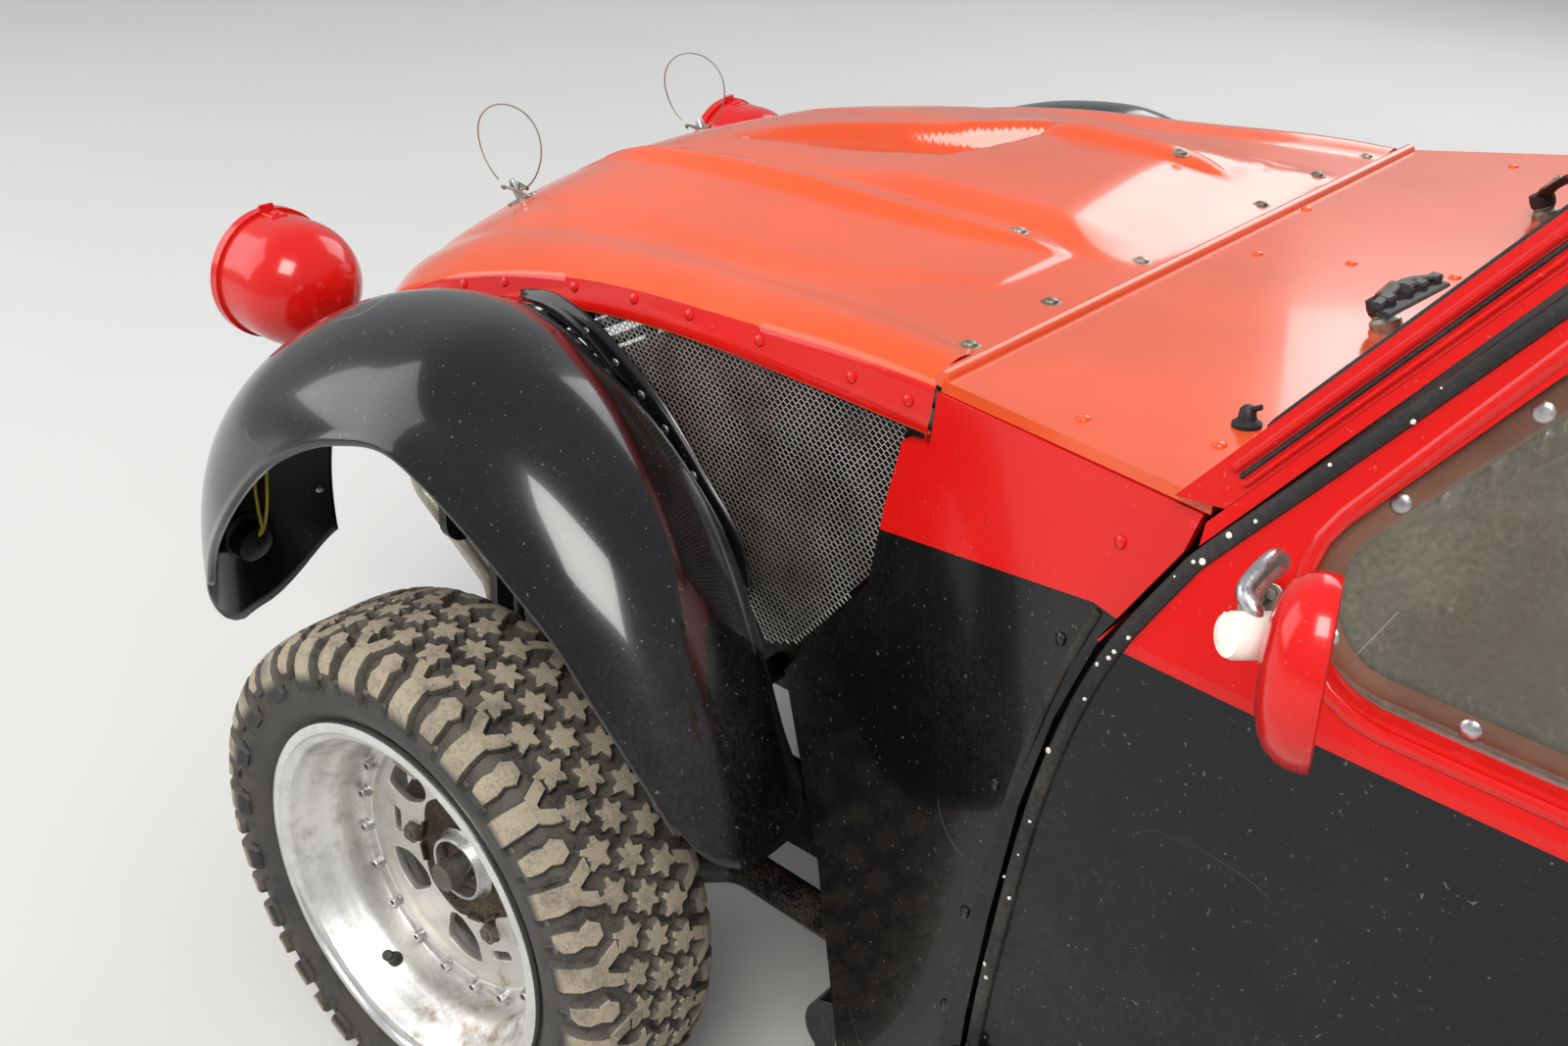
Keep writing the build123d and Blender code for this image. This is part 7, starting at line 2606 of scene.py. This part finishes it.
class FitTail(CarOperator, bpy.types.Operator):
    """Adds lamp bezels and lenses, the boot's handle and rivets, a bare plate and a fuel cap"""

    bl_idname = "rally.tail_fittings"
    bl_label = "Tail fittings"

    def build(self, scene):
        sizes = scene.rally_panels
        bezels, glow, screws = Shape(), Shape(), Shape()
        aft = Vector((-1, 0, 0))
        for side in (1, -1):
            for z, r in REAR_LAMPS:
                at, _ = lie_on("rear_lamps", back(-1000, side * 440, z), (1, 0, 0))
                r /= 1000
                bezels.lathe(
                    [
                        (r * 0.95, -0.004), (r * 1.0, -0.001), (r * 1.06, -0.004), (r * 1.08, -0.012),
                        (r * 1.0, -0.013)
                    ],
                    at, aft, 44, closed=True
                )
                rings = [(r * 0.94, -0.003), (r * 0.9, -0.001)]
                for k in range(6):
                    rings += [(r * (0.86 - 0.14 * k), -0.0014), (r * (0.79 - 0.14 * k), -0.0002)]
                glow.lathe(rings, at, aft, 44)
                for k in range(3):
                    turn = math.radians(90 + 120 * k)
                    screws.stud(
                        at + aft * -0.006 + Vector((0, math.cos(turn), math.sin(turn))) * r * 1.02, aft,
                        0.003, 0.004, 12
                    )
        add_piece("rear_lamp_bezels", bezels, "bright_alloy")
        add_piece("rear_lamp_lenses", glow, "lamp_red", closed=False)
        add_piece("rear_lamp_screws", screws, "zinc_steel")
        low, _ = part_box("boot_lid")
        bottom = low[2] + 0.055
        at, facing = lie_on("boot_lid", Vector((low[0] - 0.3, 0, bottom)), (1, 0, 0))
        handle = Shape()
        handle.lathe(
            [(0.020, -0.001), (0.020, 0.004), (0.012, 0.008), (0.010, 0.014)], at, facing, 28, caps=True
        )
        handle.tube(
            [
                at + facing * 0.0135 + Vector((0, -0.034, 0)), at + facing * 0.016,
                at + facing * 0.0135 + Vector((0, 0.034, 0))
            ],
            [0.0055, 0.008, 0.0055], 14, 0.7
        )
        add_piece("boot_handle", handle, "bright_alloy", "boot_lid")
        rivets = Shape()
        for y in BOOT_RIVETS:
            place, facing = lie_on("boot_lid", Vector((low[0] - 0.3, y, low[2] + 0.024)), (1, 0, 0))
            rivets.stud(place, facing, sizes.rivet * 0.8, 0.0026, 16)
        add_piece("boot_rivets", rivets, "bright_alloy", "boot_lid")
        place, facing = lie_on("tail_panel", back(*PLATE_AT), (1, 0, 0))
        plate = Shape()
        across = Vector((0, 1, 0))
        up = facing.cross(across).normalized()
        if up.z < 0:
            up = -up
        centre = place + facing * 0.003 + across * 0.15
        outline = rounded([(-0.26, -0.055), (0.26, -0.055), (0.26, 0.055), (-0.26, 0.055)], 0.008)
        plate.slab([centre + across * p.x + up * p.y for p in outline], facing * 0.0016, 0.0005)
        add_piece("blank_plate", plate, "dial_face")
        fixing = Shape()
        for x in PLATE_SCREWS:
            fixing.stud(centre + across * x + facing * 0.0016, facing, 0.005, 0.003, 16)
        add_piece("plate_screws", fixing, "zinc_steel")
        cap = Shape()
        at, facing = lie_on("body_side_right", mm(*FUEL_CAP_FROM), (0, 1, 0))
        cap.lathe(
            [
                (0.044, -0.001), (0.044, 0.006), (0.038, 0.011), (0.034, 0.018), (0.020, 0.021),
                (0.0006, 0.022)
            ],
            at, facing, 40, caps=True
        )
        for k in range(12):
            turn = math.pi * k / 6
            side, up = upright(facing)
            cap.box(
                at + facing * 0.010 + (side * math.cos(turn) + up * math.sin(turn)) * 0.0385,
                (0.006, 0.006, 0.010)
            )
        add_piece("fuel_cap", cap, "bright_alloy")


# Stage

CAMERA_AT = (0.2019, 1.5333, 1.4626)
CAMERA_YAW = 52.5
CAMERA_PITCH = 28.5
CAMERA_ROLL = -3.7
CAMERA_LENS = 37.1
FLOOR_HALF = 30


def place_camera():
    """Camera at the photograph's angle."""
    yaw, pitch, roll = (math.radians(v) for v in (CAMERA_YAW, CAMERA_PITCH, CAMERA_ROLL))
    ahead = Vector((math.cos(yaw) * math.cos(pitch), -math.sin(yaw) * math.cos(pitch), -math.sin(pitch)))
    right = ahead.cross(Vector((0, 0, 1))).normalized()
    down = ahead.cross(right)
    across = right * math.cos(roll) + down * math.sin(roll)
    below = down * math.cos(roll) - right * math.sin(roll)
    data = bpy.data.cameras.new("camera")
    data.lens = CAMERA_LENS
    data.sensor_width = 36
    data.clip_start = 0.05
    data.clip_end = 100
    camera = bpy.data.objects.new("camera", data)
    bpy.context.scene.collection.objects.link(camera)
    turn = Matrix((across, -below, -ahead)).transposed()
    camera.matrix_world = Matrix.Translation(CAMERA_AT) @ turn.to_4x4()
    bpy.context.scene.camera = camera


def place_light(name, where, aim, width, power, tone=(1, 1, 1)):
    data = bpy.data.lights.new(name, "AREA")
    data.energy = power
    data.size = width
    data.color = tone
    lamp = bpy.data.objects.new(name, data)
    lamp.location = where
    lamp.rotation_mode = "QUATERNION"
    lamp.rotation_quaternion = (Vector(aim) - Vector(where)).to_track_quat("-Z", "Y")
    bpy.context.scene.collection.objects.link(lamp)


class BuildStage(CarOperator, bpy.types.Operator):
    """Sets up the pale floor, the soft lamps, the sky and the camera"""

    bl_idname = "rally.stage"
    bl_label = "Studio"

    def build(self, scene):
        given = scene.rally_stage
        scene.view_settings.view_transform = "Standard"
        place_camera()
        place_light("key", (-1.0, 4.5, 6.0), (0.6, 0.0, 0.4), 3.0, given.key, (1.0, 0.98, 0.95))
        place_light("fill", (5.5, 3.0, 3.0), (0.8, 0.3, 0.4), 4.0, given.fill)
        place_light("back", (1.5, -6.0, 4.5), (0.3, 0.0, 0.5), 4.0, given.back)
        world = bpy.data.worlds.new("studio")
        world.use_nodes = True
        scene.world = world
        board = Board(world.node_tree)
        sky = world.node_tree.nodes["Background"]
        upward = board.add("SeparateXYZ", i0=board.add("TexCoord").outputs["Generated"]).outputs[2]
        tone = board.mix(board.span(upward, -0.1, 0.5), colour((200, 200, 196)), colour((238, 242, 248)))
        board.feed(sky, "Color", tone)
        board.feed(sky, "Strength", given.sky)
        mesh = bpy.data.meshes.new("floor")
        far = FLOOR_HALF
        mesh.from_pydata([(-far, -far, 0), (far, -far, 0), (far, far, 0), (-far, far, 0)], [], [(0, 1, 2, 3)])
        floor = bpy.data.objects.new("floor", mesh)
        bpy.context.scene.collection.objects.link(floor)
        board, shader = material("studio_floor", Roughness=0.85, Specular_IOR_Level=0.2)
        pale = (*given.floor, 1.0)
        board.feed(shader, "Base Color", board.mix(board.noise(1.5, 8.0), pale, darker(pale, 0.94)))
        mesh.materials.append(MATERIALS["studio_floor"])


SETTINGS = {
    "rally_paint": PaintSettings,
    "rally_panels": PanelSettings,
    "rally_wheels": WheelSettings,
    "rally_stage": StageSettings,
}
OPERATORS = (
    DressFinishes,
    BuildBonnet,
    FixBonnet,
    BuildWings,
    BuildArches,
    BuildMeshes,
    BuildTyres,
    FitWheels,
    TrimDoors,
    TrimPanels,
    BuildMirrors,
    BuildWipers,
    TrimLamps,
    BuildSeats,
    FitCabin,
    FitTail,
    BuildStage,
)


class CarPanel(bpy.types.Panel):
    """Lists the settings and the pieces of the rally car"""

    bl_idname = "VIEW3D_PT_rally_car"
    bl_label = "Rally car"
    bl_space_type = "VIEW_3D"
    bl_region_type = "UI"
    bl_category = "Rally car"

    def draw(self, context):
        for key, kind in SETTINGS.items():
            box = self.layout.box()
            for name in kind.__annotations__:
                box.prop(getattr(context.scene, key), name)
        for operator in OPERATORS:
            self.layout.operator(operator.bl_idname)


CLASSES = (*SETTINGS.values(), *OPERATORS, CarPanel)


def register():
    for kind in CLASSES:
        bpy.utils.register_class(kind)
    for key, kind in SETTINGS.items():
        setattr(bpy.types.Scene, key, PointerProperty(type=kind))


def unregister():
    for key in SETTINGS:
        delattr(bpy.types.Scene, key)
    for kind in reversed(CLASSES):
        bpy.utils.unregister_class(kind)


def main():
    """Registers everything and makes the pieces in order."""
    register()
    for operator in OPERATORS:
        area, name = operator.bl_idname.split(".")
        getattr(getattr(bpy.ops, area), name)()


if __name__ == "__main__":
    main()
